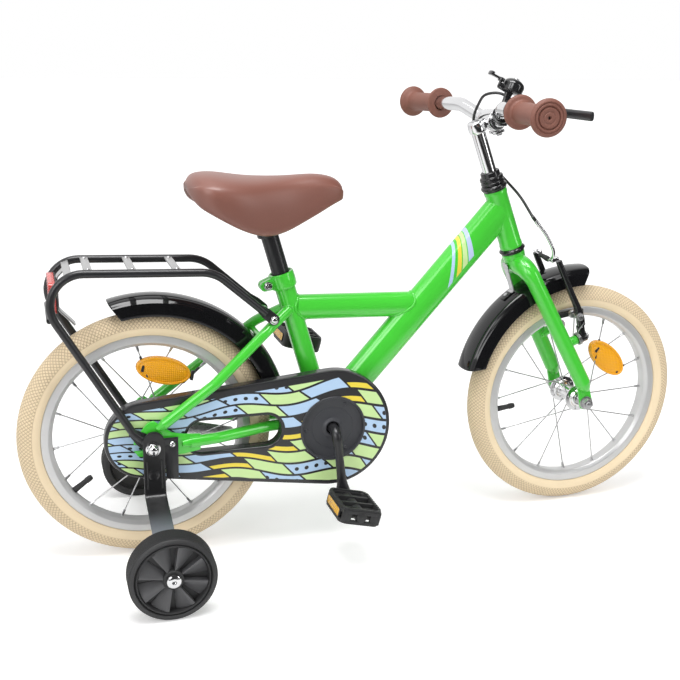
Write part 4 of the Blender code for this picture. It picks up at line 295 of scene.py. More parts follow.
def tube(route, radius, sides=24, end_radius=None, flat=1.0, across=None):
    """A circle extruded along the route. Its frame is carried along, so the tube never twists."""
    points = [Vector(point) for point in route]
    last = radius if end_radius is None else end_radius
    shape = bmesh.new()
    ring = bmesh.ops.create_circle(shape, cap_ends=True, segments=sides, radius=1.0)["verts"]
    normal = None
    for index, point in enumerate(points):
        run = (points[min(index + 1, len(points) - 1)] - points[max(index - 1, 0)]).normalized()
        if across is not None:
            normal = (across - run * across.dot(run)).normalized()
        elif normal is None:
            normal = run.orthogonal().normalized()
        else:
            normal = (normal - run * normal.dot(run)).normalized()
        size = radius + (last - radius) * index / (len(points) - 1)
        if index:
            edges = [edge for edge in shape.edges if edge.verts[0] in ring and edge.verts[1] in ring]
            grown = bmesh.ops.extrude_edge_only(shape, edges=edges)["geom"]
            new = {item for item in grown if isinstance(item, bmesh.types.BMVert)}
            ring = [next(e.other_vert(v) for e in v.link_edges if e.other_vert(v) in new) for v in ring]
        places = ring_points(point, normal, run.cross(normal), size * 2, size * 2 * flat, sides)
        for vert, place in zip(ring, places):
            vert.co = place
    bmesh.ops.contextual_create(shape, geom=[e for e in shape.edges if e.is_boundary])
    return shape


def spring(start, end, radius, wire, turns, sides=8):
    """A helix of wire between two points."""
    run = (end - start).normalized()
    normal = run.orthogonal().normalized()
    route = []
    for step in range(int(turns * 16) + 1):
        turn = 2 * math.pi * step / 16
        share = step / (turns * 16)
        route.append(start.lerp(end, share) + (normal * math.cos(turn) + run.cross(normal) * math.sin(turn))
                     * radius)
    return tube(route, wire, sides)


# %% Flat plates and small castings
def plate(outlines, thick, origin, x_axis, y_axis, soft=0.0006, segments=2):
    """Outlines filled and extruded. The first is the edge and the others are holes."""
    shape = bmesh.new()
    edges = []
    for outline in outlines:
        verts = [shape.verts.new((x, y, -thick / 2)) for x, y in outline]
        edges += [shape.edges.new(pair) for pair in zip(verts, verts[1:] + verts[:1])]
    bmesh.ops.triangle_fill(shape, use_beauty=True, edges=edges)
    if len(outlines) == 1:
        bmesh.ops.dissolve_faces(shape, faces=list(shape.faces))
    faces = bmesh.ops.extrude_face_region(shape, geom=list(shape.faces))["geom"]
    verts = [item for item in faces if isinstance(item, bmesh.types.BMVert)]
    bmesh.ops.translate(shape, vec=(0, 0, thick), verts=verts)
    bmesh.ops.recalc_face_normals(shape, faces=shape.faces)
    if soft:
        sharp = [e for e in shape.edges if len(e.link_faces) == 2 and e.calc_face_angle() > 1.2
                 and abs(e.verts[0].co.z - e.verts[1].co.z) < 1e-7]
        bmesh.ops.bevel(shape, geom=sharp, offset=soft, offset_type="OFFSET", segments=segments,
                        profile=0.5, affect="EDGES", material=-1)
    bmesh.ops.transform(shape, matrix=axes_matrix(origin, x_axis, y_axis), verts=shape.verts)
    return shape


def strip(path, width, thick, origin, x_axis, y_axis, soft=0.0006):
    """A flat bar bent along a route in the plane of the two axes, and as wide as given across it."""
    left = []
    right = []
    for index, point in enumerate(path):
        before = Vector(path[max(index - 1, 0)])
        after = Vector(path[min(index + 1, len(path) - 1)])
        along = (after - before).normalized()
        across = Vector((-along[1], along[0])) * (thick / 2)
        left.append((point[0] + across[0], point[1] + across[1]))
        right.append((point[0] - across[0], point[1] - across[1]))
    return plate([left + right[::-1]], width, origin, x_axis, y_axis, soft)


def block(size, matrix, soft=0.001, segments=3):
    """A box with its centre at the placement and its edges rounded."""
    shape = bmesh.new()
    bmesh.ops.create_cube(shape, size=1.0)
    bmesh.ops.scale(shape, vec=size, verts=shape.verts)
    bmesh.ops.bevel(shape, geom=shape.edges, offset=soft, offset_type="OFFSET", segments=segments,
                    profile=0.5, affect="EDGES", material=-1)
    bmesh.ops.transform(shape, matrix=matrix, verts=shape.verts)
    return shape


def skin(rings, closed=True):
    """A skin bridged over rings that have the same number of points."""
    shape = bmesh.new()
    loops = []
    for ring in rings:
        verts = [shape.verts.new(point) for point in ring]
        loops.append([shape.edges.new(pair) for pair in zip(verts, verts[1:] + verts[:1])])
    for first, second in zip(loops, loops[1:]):
        bmesh.ops.bridge_loops(shape, edges=first + second)
    if closed:
        bmesh.ops.contextual_create(shape, geom=loops[0])
        bmesh.ops.contextual_create(shape, geom=loops[-1])
    return shape


# %% Put shapes together into one piece
made_pieces = {}


def show(name, shapes, finish, body, nodes=(), sharp=40, normals=True):
    """Joins shapes into one piece that rides on a body and stands for the plain nodes."""
    whole = bmesh.new()
    for shape in shapes:
        if normals:
            bmesh.ops.recalc_face_normals(shape, faces=shape.faces)
        mesh = bpy.data.meshes.new("part")
        shape.to_mesh(mesh)
        shape.free()
        whole.from_mesh(mesh)
        bpy.data.meshes.remove(mesh)
    mesh = bpy.data.meshes.new(name)
    whole.to_mesh(mesh)
    whole.free()
    piece = bpy.data.objects.new(name, mesh)
    bpy.context.scene.collection.objects.link(piece)
    mesh.materials.append(finish.material)
    mesh.shade_smooth()
    mesh.set_sharp_from_angle(angle=math.radians(sharp))
    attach(piece, body)
    if nodes:
        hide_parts(*nodes)
    made_pieces[name] = piece
    return piece


def modify(piece, kind, name, **settings):
    modifier = piece.modifiers.new(name, kind)
    for key, value in settings.items():
        setattr(modifier, key, value)
    return modifier


print("shape makers ready")

# %% [markdown]
# ## Finishes as small programs
#
# A procedural finish is a sum: a base colour, a mask, some noise and a bump. Written as Python
# expressions it stays short. `Term` wraps one socket and turns + - * / into Math nodes, and
# `Finish.add` makes any other node from its type, its settings and its sockets.

# %% Wrap a socket and a material
class Term:
    """One value of a node tree, on which Python's own arithmetic works."""

    def __init__(self, finish, socket):
        self.finish = finish
        self.socket = socket

    def maths(self, operation, *others):
        sockets = {index: value for index, value in enumerate((self, *others))}
        return self.finish.add("ShaderNodeMath", {"operation": operation}, sockets)

    def flipped(self, operation, other):
        return self.finish.add("ShaderNodeMath", {"operation": operation}, {0: other, 1: self})

    def __add__(self, other):
        return self.maths("ADD", other)

    def __radd__(self, other):
        return self.flipped("ADD", other)

    def __sub__(self, other):
        return self.maths("SUBTRACT", other)

    def __rsub__(self, other):
        return self.flipped("SUBTRACT", other)

    def __mul__(self, other):
        return self.maths("MULTIPLY", other)

    def __rmul__(self, other):
        return self.flipped("MULTIPLY", other)

    def __truediv__(self, other):
        return self.maths("DIVIDE", other)

    def over(self, edge, soft):
        """0 below the edge and 1 above it, with a step as soft as given."""
        return self.finish.add(
            "ShaderNodeMapRange", {"interpolation_type": "SMOOTHSTEP"},
            {"Value": self, "From Min": edge - soft, "From Max": edge + soft},
        )

    def between(self, low, high, soft):
        return self.over(low, soft) * (1 - self.over(high, soft))


class Finish:
    """A material with its Principled shader, and one method that adds every other node."""

    def __init__(self, name, colour, roughness, metallic=0.0, coat=0.0, specular=0.5):
        self.material = bpy.data.materials.new(name)
        self.material.use_nodes = True
        self.material.diffuse_color = (*colour, 1.0)
        self.tree = self.material.node_tree
        self.shader = self.tree.nodes["Principled BSDF"]
        self.colour = colour
        self.set("Base Color", (*colour, 1.0))
        self.set("Roughness", roughness)
        self.set("Metallic", metallic)
        self.set("Coat Weight", coat)
        self.set("Coat Roughness", 0.06)
        self.set("Specular IOR Level", specular)

    def set(self, name, value):
        self.feed(self.shader.inputs[name], value)

    def feed(self, socket, value):
        if isinstance(value, Term):
            self.tree.links.new(value.socket, socket)
        else:
            socket.default_value = value

    def add(self, kind, settings=None, sockets=None, output=0):
        node = self.tree.nodes.new(kind)
        for key, value in (settings or {}).items():
            if key == "stops":
                ramp = node.color_ramp.elements
                while len(ramp) < len(value):
                    ramp.new(1.0)
                for element, (place, colour) in zip(ramp, value):
                    element.position = place
                    element.color = (*colour, 1.0)
            else:
                setattr(node, key, value)
        for key, value in (sockets or {}).items():
            self.feed(node.inputs[key], value)
        return Term(self, node.outputs[output])

    def place(self, source="Object"):
        return self.add("ShaderNodeTexCoord", output=source)

    def axes(self, source="Object"):
        """The three numbers of a place, or the two of a UV map and a zero."""
        split = self.tree.nodes.new("ShaderNodeSeparateXYZ")
        self.feed(split.inputs[0], self.place(source))
        return [Term(self, socket) for socket in split.outputs]

    def noise(self, scale, detail=3.0, stretch=(1.0, 1.0, 1.0)):
        where = self.add("ShaderNodeMapping", {}, {"Vector": self.place(), "Scale": stretch})
        return self.add("ShaderNodeTexNoise", {}, {"Vector": where, "Scale": scale, "Detail": detail})

    def cells(self, scale, feature="F1"):
        return self.add("ShaderNodeTexVoronoi", {"feature": feature}, {"Vector": self.place(), "Scale": scale},
                        "Distance")

    def mix(self, share, first, second):
        first = (*first, 1.0) if isinstance(first, tuple) else first
        second = (*second, 1.0) if isinstance(second, tuple) else second
        return self.add("ShaderNodeMix", {"data_type": "RGBA"}, {0: share, 6: first, 7: second}, 2)

    def tinted(self, share, amount):
        """The base colour, darker where the share is 0 and lighter where it is 1."""
        low = tuple(channel * (1 - amount) for channel in self.colour)
        high = tuple(min(channel * (1 + amount), 1.0) for channel in self.colour)
        return self.mix(share, low, high)

    def bump(self, height, distance, strength=1.0):
        self.set("Normal", self.add("ShaderNodeBump", {}, {"Height": height, "Distance": distance,
                                                           "Strength": strength}))


print("finish maker ready")

# %% [markdown]
# ## Gloss paint with stripes
#
# The green frame is powder coated under a clear coat. A coat layer gives the hard highlight, and
# a very fine bump breaks it up as real powder does. The down tube has a set of plain stripes
# that cross it at a slant. A stripe is a band of one number, the distance across the stripes, so
# four bands of that number colour it.

# %% Mix the paints
GREEN = (0.056, 0.600, 0.034)
PALE_GREEN = (0.60, 0.82, 0.36)
PALE_BLUE = (0.46, 0.64, 0.86)
YELLOW = (0.86, 0.68, 0.06)
LILAC_BLUE = (0.52, 0.62, 0.88)
STRIPE_MIDDLE = Vector((0.1408, 0.0, 0.4525))
STRIPE_LEAN = 0.027
STRIPE_FAN = 10.4
STRIPES = (
    (-0.0145, -0.0100, PALE_BLUE), (-0.0060, 0.0000, YELLOW), (0.0015, 0.0092, PALE_GREEN),
    (0.0108, 0.0205, LILAC_BLUE),
)


def green_paint(name, striped=False):
    made = Finish(name, GREEN, 0.28, coat=1.0)
    speck = made.noise(900.0, 2.0)
    colour = made.tinted(made.noise(9.0), 0.05)
    if striped:
        x, y, z = made.axes()
        ahead = x - STRIPE_MIDDLE.x
        rise = z - STRIPE_MIDDLE.z
        fan = (ahead + rise * STRIPE_LEAN) / (1 - rise * STRIPE_FAN)
        tube_angle = math.atan2(0.353, 0.293)
        along = rise * math.sin(tube_angle) + ahead * math.cos(tube_angle)
        above = rise * math.cos(tube_angle) - ahead * math.sin(tube_angle)
        on_tube = along.between(-0.065, 0.065, 0.0003) * above.between(-0.0195, 0.0285, 0.0003)
        for low, high, stripe in STRIPES:
            colour = made.mix(fan.between(low, high, 0.0002) * on_tube, colour, stripe)
    made.set("Base Color", colour)
    made.bump(speck, 0.00003)
    return made


frame_paint = green_paint("frame_paint", striped=True)
fork_paint = green_paint("fork_paint")


def black_enamel(name, roughness, coat, colour=(0.013, 0.013, 0.014), depth=0.00003):
    made = Finish(name, colour, roughness, coat=coat)
    made.set("Base Color", made.tinted(made.noise(14.0), 0.25))
    made.bump(made.noise(1100.0, 2.0), depth)
    return made


gloss_black = black_enamel("gloss_black", 0.12, 0.2)
satin_black = black_enamel("satin_black", 0.33, 0.15, (0.018, 0.018, 0.020))
def arm_enamel_and_painted_reflection():
    made = Finish("arm_black_and_painted_reflection", (0.013, 0.013, 0.014), 0.30, coat=0.2)
    x, y, z = made.axes()
    # Painted reflection: below the bend the arm is coloured a pale blue-grey, standing in for the bright surroundings
    # mirrored on its glossy lower face. Above the bend it is black enamel.
    made.set("Base Color", made.mix(z.over(0.100, 0.010), (0.185, 0.205, 0.235), made.tinted(made.noise(14.0), 0.25)))
    made.bump(made.noise(1100.0, 2.0), 0.00003)
    return made


arm_black_and_painted_reflection = arm_enamel_and_painted_reflection()
guard_black = black_enamel("guard_black", 0.07, 0.0, (0.007, 0.007, 0.008), 0.00001)

# %% [markdown]
# ## Plate, alloy and plastic
#
# Plated parts are smooth and clear with faint wear. Brushed alloy has long fine scratches, made
# by stretching noise, and zinc has a coarse crystal bloom. Moulded plastic has a fine grain from
# small cells, which only shows where the light grazes it.

# %% Mix the metals
def chrome_plate():
    made = Finish("chrome_plate", (0.80, 0.80, 0.81), 0.10, metallic=1.0)
    made.set("Roughness", made.noise(60.0, 4.0) * 0.10 + 0.06)
    made.set("Base Color", made.tinted(made.noise(25.0), 0.05))
    return made


def brushed_alloy(name, colour=(0.62, 0.62, 0.61), roughness=0.30, metallic=1.0):
    made = Finish(name, colour, roughness, metallic=metallic)
    scratch = made.noise(900.0, 3.0, (1.0, 0.06, 1.0))
    made.set("Roughness", scratch * 0.18 + (roughness - 0.06))
    made.set("Base Color", made.tinted(made.noise(30.0), 0.06))
    made.bump(scratch, 0.00004)
    return made


def zinc_plate():
    made = Finish("zinc_plate", (0.55, 0.55, 0.56), 0.32, metallic=1.0)
    bloom = made.cells(260.0)
    made.set("Base Color", made.tinted(bloom, 0.12))
    made.set("Roughness", bloom * 0.2 + 0.24)
    return made


chrome = chrome_plate()
alloy = brushed_alloy("slat_alloy", (0.55, 0.55, 0.55), 0.34)
rim_alloy = brushed_alloy("rim_alloy", (0.66, 0.66, 0.66), 0.30, 0.45)
zinc = zinc_plate()


# %% Mix the plastics and rubbers
def moulded(name, colour, roughness, grain, depth, tint=0.15, coat=0.0):
    made = Finish(name, colour, roughness, coat=coat)
    made.set("Base Color", made.tinted(made.noise(20.0), tint))
    made.set("Roughness", made.noise(45.0) * 0.12 + (roughness - 0.06))
    made.bump(made.cells(grain), depth)
    return made


black_plastic = moulded("black_plastic", (0.022, 0.022, 0.023), 0.48, 900.0, 0.00005)
case_black = moulded("case_black", (0.047, 0.049, 0.056), 0.46, 1300.0, 0.00003)
bell_black = moulded("bell_black", (0.014, 0.014, 0.015), 0.16, 1500.0, 0.00001, coat=0.6)
pad_rubber = moulded("pad_rubber", (0.030, 0.030, 0.031), 0.70, 700.0, 0.00008)
cable_black = moulded("cable_black", (0.018, 0.018, 0.019), 0.34, 1500.0, 0.00002)
# Painted light: the fan's ramps are part of the black wheel moulding, given a lighter grey for the light they catch
# above the shaded recess.
blade_painted_light = moulded("blade_painted_light", (0.085, 0.085, 0.089), 0.42, 800.0, 0.00005)
wheel_rubber = moulded("wheel_rubber", (0.028, 0.028, 0.029), 0.55, 800.0, 0.00006)

# %% [markdown]
# ## Cream tyres
#
# The tread is a net of diamonds moulded over the crown and shoulders, and the side walls stay
# smooth with fine rings. The pattern has to follow the wheel round, so the tyre gets a UV map
# in metres: round the wheel in one direction and across the section in the other.

# %% Mix the tyre and its tread
DIAMOND = 0.0062
TREAD_REACH = 0.0330


def tyre_rubber():
    made = Finish("tyre_rubber", (0.87, 0.71, 0.48), 0.62)
    round_wheel, across, _ = made.axes("UV")
    pair = []
    for lean in (1.0, -1.0):
        turn = (round_wheel + across * (0.9 * lean)) / DIAMOND
        pair.append(turn.maths("PINGPONG", 0.5))
    net = pair[0].maths("MINIMUM", pair[1])
    block_height = net.over(0.10, 0.05)
    tread = 1 - across.maths("ABSOLUTE").over(TREAD_REACH, 0.0008)
    rings = (across.maths("ABSOLUTE") / 0.0016).maths("PINGPONG", 0.5)
    wall = (1 - tread) * rings
    soil = made.noise(16.0)
    # Painted shade: the grooves between the tread blocks are coloured a darker brown, standing in for the shade that
    # falls into them.
    dark = (1 - block_height) * tread
    colour = made.mix(dark * 0.72, made.tinted(soil, 0.05), (0.50, 0.36, 0.21))
    made.set("Base Color", colour)
    made.set("Roughness", soil * 0.14 + 0.56)
    made.bump(block_height * tread + wall * 0.18, 0.0009)
    return made


cream = tyre_rubber()

# %% [markdown]
# ## Vinyl, grips and lenses
#
# The saddle's skin is a moulded vinyl with a soft leather grain: large cells for the creases and
# small ones for the pores. The grips are a duller rubber in the same brown. A lens is clear
# plastic over a field of tiny prisms, which a waffle of bumps stands for. The same waffle lightens
# and darkens the lens colour as painted light and shade on the prism facets.

# %% Mix the browns and the lenses
BROWN = (0.215, 0.081, 0.058)


def saddle_vinyl():
    made = Finish("saddle_vinyl", BROWN, 0.42, coat=0.30, specular=0.6)
    made.set("Coat Roughness", 0.36)
    crease = made.cells(520.0, "SMOOTH_F1")
    pores = made.noise(1400.0, 3.0)
    made.set("Base Color", made.tinted(made.noise(11.0) * 0.7 + crease * 0.3, 0.10))
    made.set("Roughness", crease * 0.08 + 0.38)
    made.bump(crease + pores * 0.3, 0.00006)
    return made


def grip_rubber():
    made = Finish("grip_rubber", (0.215, 0.085, 0.060), 0.55)
    made.set("Base Color", made.tinted(made.noise(30.0), 0.10))
    made.bump(made.cells(1000.0), 0.00006)
    return made


def lens(name, colour, pitch):
    made = Finish(name, colour, 0.14, coat=0.3)
    x, y, z = made.axes()
    waffle = (x / pitch).maths("PINGPONG", 0.5) + (z / pitch).maths("PINGPONG", 0.5)
    # Painted light and shade: the waffle lightens and darkens the lens colour over the prism facets.
    made.set("Base Color", made.tinted(waffle, 0.15))
    made.bump(waffle, 0.0006)
    return made


def back_lens(name, colour, pitch):
    made = Finish(name, colour, 0.14, coat=0.3)
    x, y, z = made.axes()
    waffle = (y / pitch).maths("PINGPONG", 0.5) + (z / pitch).maths("PINGPONG", 0.5)
    # Painted light and shade: the waffle lightens and darkens the lens colour over the prism facets.
    made.set("Base Color", made.tinted(waffle, 0.35))
    made.bump(waffle, 0.0006)
    return made


vinyl = saddle_vinyl()
grip_brown = grip_rubber()
orange_lens = lens("orange_lens", (1.00, 0.41, 0.012), 0.0030)
amber_lens = back_lens("amber_lens", (1.00, 0.43, 0.014), 0.0030)
red_lens = back_lens("red_lens", (0.62, 0.085, 0.075), 0.0032)

# %% [markdown]
# ## A printed sheet for the chain case
#
# The case carries a printed foil in pale green, pale blue and yellow on black. The one here is a
# plain pattern of its own: wavy rows of tiles that run the length of the case, some with a line
# of dots. Rows, tiles and dots are easy to write as maths on the case's own coordinates.

# %% Mix the case's print
WAVE_LENGTH = 0.1700
WAVE_HEIGHT = 0.0070
BAND_PITCH = 0.0215
TILE_LENGTH = 0.0640
DOT_PITCH = 0.0160
PRINT_EDGE = 0.0885


def case_print():
    made = Finish("case_print", (0.026, 0.026, 0.028), 0.26, coat=0.2)
    x, y, z = made.axes()
    along = x - REAR_HUB.x
    tilt = math.atan2(-BB_DROP - 0.0065, BB_AHEAD + 0.009)
    height = z - TYRE_RADIUS - along * math.tan(tilt)
    level = height / (0.62 + along * 1.35)
    wave = (along / WAVE_LENGTH * (2 * math.pi)).maths("SINE") * WAVE_HEIGHT
    rows = (level + wave) / BAND_PITCH + 0.12
    row = rows.maths("FLOOR")
    in_row = rows.maths("FRACT")
    tiles = (along + row * 0.0275 + (in_row - 0.5) * 0.0200) / TILE_LENGTH
    tile = tiles.maths("FLOOR")
    in_tile = tiles.maths("FRACT")
    inside = in_row.between(0.09, 0.91, 0.010) * in_tile.between(0.03, 0.97, 0.004)
    pick = (row * 0.382 + tile * 0.618).maths("FRACT")
    ahead = along - BB_AHEAD
    behind = along + 0.009
    front = ahead.over(0.0, 0.001) * (ahead * ahead + (z - BOTTOM.z) * (z - BOTTOM.z)).maths("SQRT").over(
        PRINT_EDGE, 0.0003)
    low = z - REAR_HUB.z - 0.0065
    rear = (1 - behind.over(0.0, 0.001)) * (behind * behind + low * low).maths("SQRT").over(0.0545, 0.0003)
    past = ((along - 0.1265).maths("ABSOLUTE") - 0.0485).maths("MAXIMUM", 0.0)
    beside = z - REAR_HUB.z - 0.0040
    clear = (past * past + beside * beside).maths("SQRT").over(0.0305, 0.0003)
    sheet = (1 - front) * (1 - rear) * clear * level.between(-0.0815, PRINT_EDGE, 0.0003)
    colour = made.tinted(made.noise(20.0), 0.10)
    ink = made.mix(pick.over(0.40, 0.001), PALE_BLUE, PALE_GREEN)
    ink = made.mix(pick.over(0.78, 0.001), ink, YELLOW)
    thin = 1 - pick.over(0.78, 0.001) * in_row.over(0.45, 0.010)
    colour = made.mix(inside * sheet * thin, colour, ink)
    dot_x = (along / DOT_PITCH).maths("PINGPONG", 0.5) * DOT_PITCH
    dot_y = (in_row - 0.5) * BAND_PITCH
    dots = 1 - (dot_x * dot_x + dot_y * dot_y).maths("SQRT").over(0.0034, 0.0002)
    colour = made.mix(dots * sheet * (1 - pick.over(0.20, 0.001)), colour, (0.026, 0.026, 0.028))
    made.set("Base Color", colour)
    made.bump(made.noise(900.0, 2.0), 0.00002)
    return made


printed = case_print()
print("finishes:", len(bpy.data.materials))

# %% [markdown]
# ## Studio
#
# A product picture of this kind is taken on a white sweep under large soft lamps. The sweep is
# white behind and below the bike, for the camera and for mirrors too. The side the camera stands
# on is a dark room, and that is what makes chrome and gloss black look deep. As a light, the
# world is an even fill, a little weaker, so that pale rubber keeps its shape. The lamps model the
# tubes and put bright lines on the plated parts.

# %% Light the studio
SOFT_BOXES = (((-0.54, -0.76, 0.36), 0.16, 3.0), ((-0.50, -0.70, 0.52), 0.16, 3.0), ((0.0, -0.25, 0.97), 0.30, 2.6))


def light_world():
    world = bpy.data.worlds.new("studio")
    bpy.context.scene.world = world
    world.use_nodes = True
    tree = world.node_tree
    back = tree.nodes["Background"]
    back.inputs["Color"].default_value = (1.0, 1.0, 1.0, 1.0)

    def node(kind, values, **settings):
        made = tree.nodes.new(kind)
        for key, value in settings.items():
            setattr(made, key, value)
        for key, value in values.items():
            if isinstance(value, bpy.types.NodeSocket):
                tree.links.new(value, made.inputs[key])
            else:
                made.inputs[key].default_value = value
        return made.outputs

    ray = node("ShaderNodeLightPath", {})
    where = node("ShaderNodeTexCoord", {})["Generated"]
    way = node("ShaderNodeSeparateXYZ", {0: where})
    beyond = node("ShaderNodeMath", {0: way["Y"], 1: 0.85}, operation="MULTIPLY")[0]
    aside = node("ShaderNodeMath", {0: way["X"], 1: -0.70, 2: beyond}, operation="MULTIPLY_ADD")[0]
    sweep = node("ShaderNodeMapRange", {"Value": aside, "From Min": -0.22, "From Max": 0.24,
                                        "To Min": 0.05, "To Max": 1.0})[0]
    low = node("ShaderNodeMapRange", {"Value": way["Z"], "From Min": 0.05, "From Max": -0.15})[0]
    shown = node("ShaderNodeMath", {0: sweep, 1: low}, operation="MAXIMUM")[0]
    for middle, reach, power in SOFT_BOXES:
        near = node("ShaderNodeVectorMath", {0: where, 1: middle}, operation="DISTANCE")["Value"]
        flat = node("ShaderNodeMapRange", {"Value": near, "From Min": reach * 1.15, "From Max": reach * 0.85,
                                           "To Max": power})[0]
        shown = node("ShaderNodeMath", {0: shown, 1: flat})[0]
    mirrored = node("ShaderNodeMath", {0: ray["Is Glossy Ray"], 1: ray["Is Transmission Ray"]},
                    operation="MAXIMUM")[0]
    fill = node("ShaderNodeMix", {0: mirrored, 2: 0.66, 3: shown})[0]
    strength = node("ShaderNodeMix", {0: ray["Is Camera Ray"], 2: fill, 3: 1.0})[0]
    tree.links.new(strength, back.inputs["Strength"])


def lamp(name, at, towards, width, height, power):
    light = bpy.data.lights.new(name, "AREA")
    light.shape = "RECTANGLE"
    light.size = width
    light.size_y = height
    light.energy = power
    made = bpy.data.objects.new(name, light)
    bpy.context.scene.collection.objects.link(made)
    at = Vector(at)
    made.matrix_world = Matrix.Translation(at) @ (Vector(towards) - at).to_track_quat("-Z", "Y").to_matrix().to_4x4()
    return made


light_world()
lamp("top_lamp", (-0.3, -0.5, 2.4), (0.0, 0.0, 0.3), 1.6, 0.9, 34.0)
lamp("side_lamp", (-2.0, -1.3, 1.5), (0.0, 0.0, 0.35), 0.6, 1.6, 12.0)
lamp("front_lamp", (1.7, -1.6, 1.1), (0.1, 0.0, 0.35), 0.4, 1.6, 8.0)


# %% Lay the floor
def lay_floor():
    made = Finish("floor_white", (0.90, 0.90, 0.90), 0.9, specular=0.1)
    grain = made.noise(3.0)
    made.set("Base Color", made.tinted(grain, 0.004))
    ray = made.add("ShaderNodeLightPath", output="Is Camera Ray")
    x, y, _ = made.axes()
    far = (x * x + y * y).maths("SQRT").over(2.4, 1.4)
    glow = made.add("ShaderNodeEmission", {}, {"Color": made.mix(far, (0.30, 0.30, 0.30), (0.60, 0.60, 0.60)),
                                               "Strength": 1.0})
    shade = made.tree.nodes.new("ShaderNodeMixShader")
    both = made.tree.nodes.new("ShaderNodeAddShader")
    made.tree.links.new(made.shader.outputs[0], both.inputs[0])
    made.tree.links.new(glow.socket, both.inputs[1])
    made.tree.links.new(ray.socket, shade.inputs[0])
    made.tree.links.new(made.shader.outputs[0], shade.inputs[1])
    made.tree.links.new(both.outputs[0], shade.inputs[2])
    mirrored = made.add("ShaderNodeLightPath", output="Is Glossy Ray")
    dark = made.add("ShaderNodeEmission", {}, {"Color": (0.03, 0.03, 0.03, 1.0), "Strength": 1.0})
    room = mirrored * (1 - (y * 0.85 - x * 0.45).over(-0.60, 0.35))
    last = made.tree.nodes.new("ShaderNodeMixShader")
    made.tree.links.new(room.socket, last.inputs[0])
    made.tree.links.new(shade.outputs[0], last.inputs[1])
    made.tree.links.new(dark.socket, last.inputs[2])
    made.tree.links.new(last.outputs[0], made.tree.nodes["Material Output"].inputs["Surface"])
    shape = bmesh.new()
    bmesh.ops.create_grid(shape, x_segments=8, y_segments=8, size=30.0,
                          matrix=Matrix.Translation((0.0, 0.0, -0.0006)))
    mesh = bpy.data.meshes.new("floor_sheet")
    shape.to_mesh(mesh)
    shape.free()
    mesh.materials.append(made.material)
    sheet = bpy.data.objects.new("floor_sheet", mesh)
    bpy.context.scene.collection.objects.link(sheet)


lay_floor()
print("lamps:", len(bpy.data.lights))

# %% [markdown]
# ## Tyres and rims
#
# A 40 mm balloon tyre is nearly a circle in section, with its feet gripped by the rim. Spun
# round the hub it is a smooth ring, and each face corner gets its place on the rubber in metres
# for the tread. The rim is a rolled double-walled section with hooked edges and flat tracks for
# the brake pads.

# %% Make the tyres
def tyre(name, hub, body):
    section = TYRE_SECTION / 2
    middle = TYRE_RADIUS - section
    bead = RIM_WIDTH / 2 - 0.0020 - FIT
    lip = math.sqrt(section ** 2 - (middle - RIM_RADIUS - FIT) ** 2)
    open_angle = math.degrees(math.atan2(lip, RIM_RADIUS + FIT - middle))
    arch = [(middle + x, y) for x, y in arc((0.0, 0.0), section, -open_angle, open_angle, 36)]
    foot = RIM_RADIUS - 0.0055
    profile = [(foot, -bead), (RIM_RADIUS + FIT, -bead)] + arch + [(RIM_RADIUS + FIT, bead), (foot, bead)]
    made = show(name, [turned(profile, hub, LEFT, 180)], cream, body, [name])
    layer = made.data.uv_layers.new(name="UVMap")
    for face in made.data.polygons:
        base = math.atan2(face.center.z - hub.z, face.center.x - hub.x)
        for loop in face.loop_indices:
            place = made.data.vertices[made.data.loops[loop].vertex_index].co - hub
            angle = math.atan2(place.z, place.x)
            angle += 2 * math.pi * round((base - angle) / (2 * math.pi))
            radius = math.hypot(place.x, place.z)
            across = math.atan2(place.y, radius - middle) * section
            layer.data[loop].uv = (angle / (2 * math.pi) * 195 * DIAMOND, across)
    return made


def rim(name, hub, body):
    half = RIM_WIDTH / 2
    well = RIM_RADIUS - 0.0065
    inner = RIM_RADIUS - RIM_DEPTH
    side = [(inner, 0.0), (inner, half * 0.45), (inner + 0.0008, half * 0.66), (well - 0.0050, half - 0.0002),
            (well - 0.0042, half), (RIM_RADIUS - 0.0016, half), (RIM_RADIUS, half - 0.0006),
            (RIM_RADIUS, half - 0.0020), (well, half - 0.0020), (well - 0.0010, 0.0)]
    profile = side[:-1] + [(radius, -along) for radius, along in reversed(side)][:-1]
    soft = softened(profile, 0.0007)
    return show(name, [turned(soft, hub, LEFT, 160)], rim_alloy, body, [name])


tyre("front_tyre", FRONT_HUB, "front_wheel")
tyre("rear_tyre", REAR_HUB, "rear_wheel")
rim("front_rim", FRONT_HUB, "front_wheel")
rim("rear_rim", REAR_HUB, "rear_wheel")
print("tyre faces:", len(made_pieces["front_tyre"].data.polygons))

# %% [markdown]
# ## Spokes and hubs
#
# Each wheel has sixteen spokes. A spoke is a straight wire with a bent end that hooks through the
# hub's flange, and it screws into a nipple at the rim. Neighbours go to opposite flanges and
# every second pair leans the other way, which is the crossed lacing of the photograph.

# %% Lace the spokes
SPOKES = 16
SPOKE_RADIUS = 0.0010
SPOKE_LEAN = math.radians(55)
FRONT_FLANGE = 0.0270
FRONT_FLANGE_RADIUS = 0.0230
FRONT_HUB_END = FRONT_FLANGE + 0.0070
FRONT_REACH = {-1: FRONT_FLANGE, 1: FRONT_FLANGE}
FRONT_HOLES = FRONT_FLANGE_RADIUS - 0.0035
REAR_FLANGE_RADIUS = 0.0330
HUB_SHELL_RADIUS = 0.0225
REAR_REACH = {-1: 0.0235, 1: 0.0280}
REAR_HOLES = REAR_FLANGE_RADIUS - 0.0035
REAR_HUB_END = REAR_REACH[-1] + 0.0060


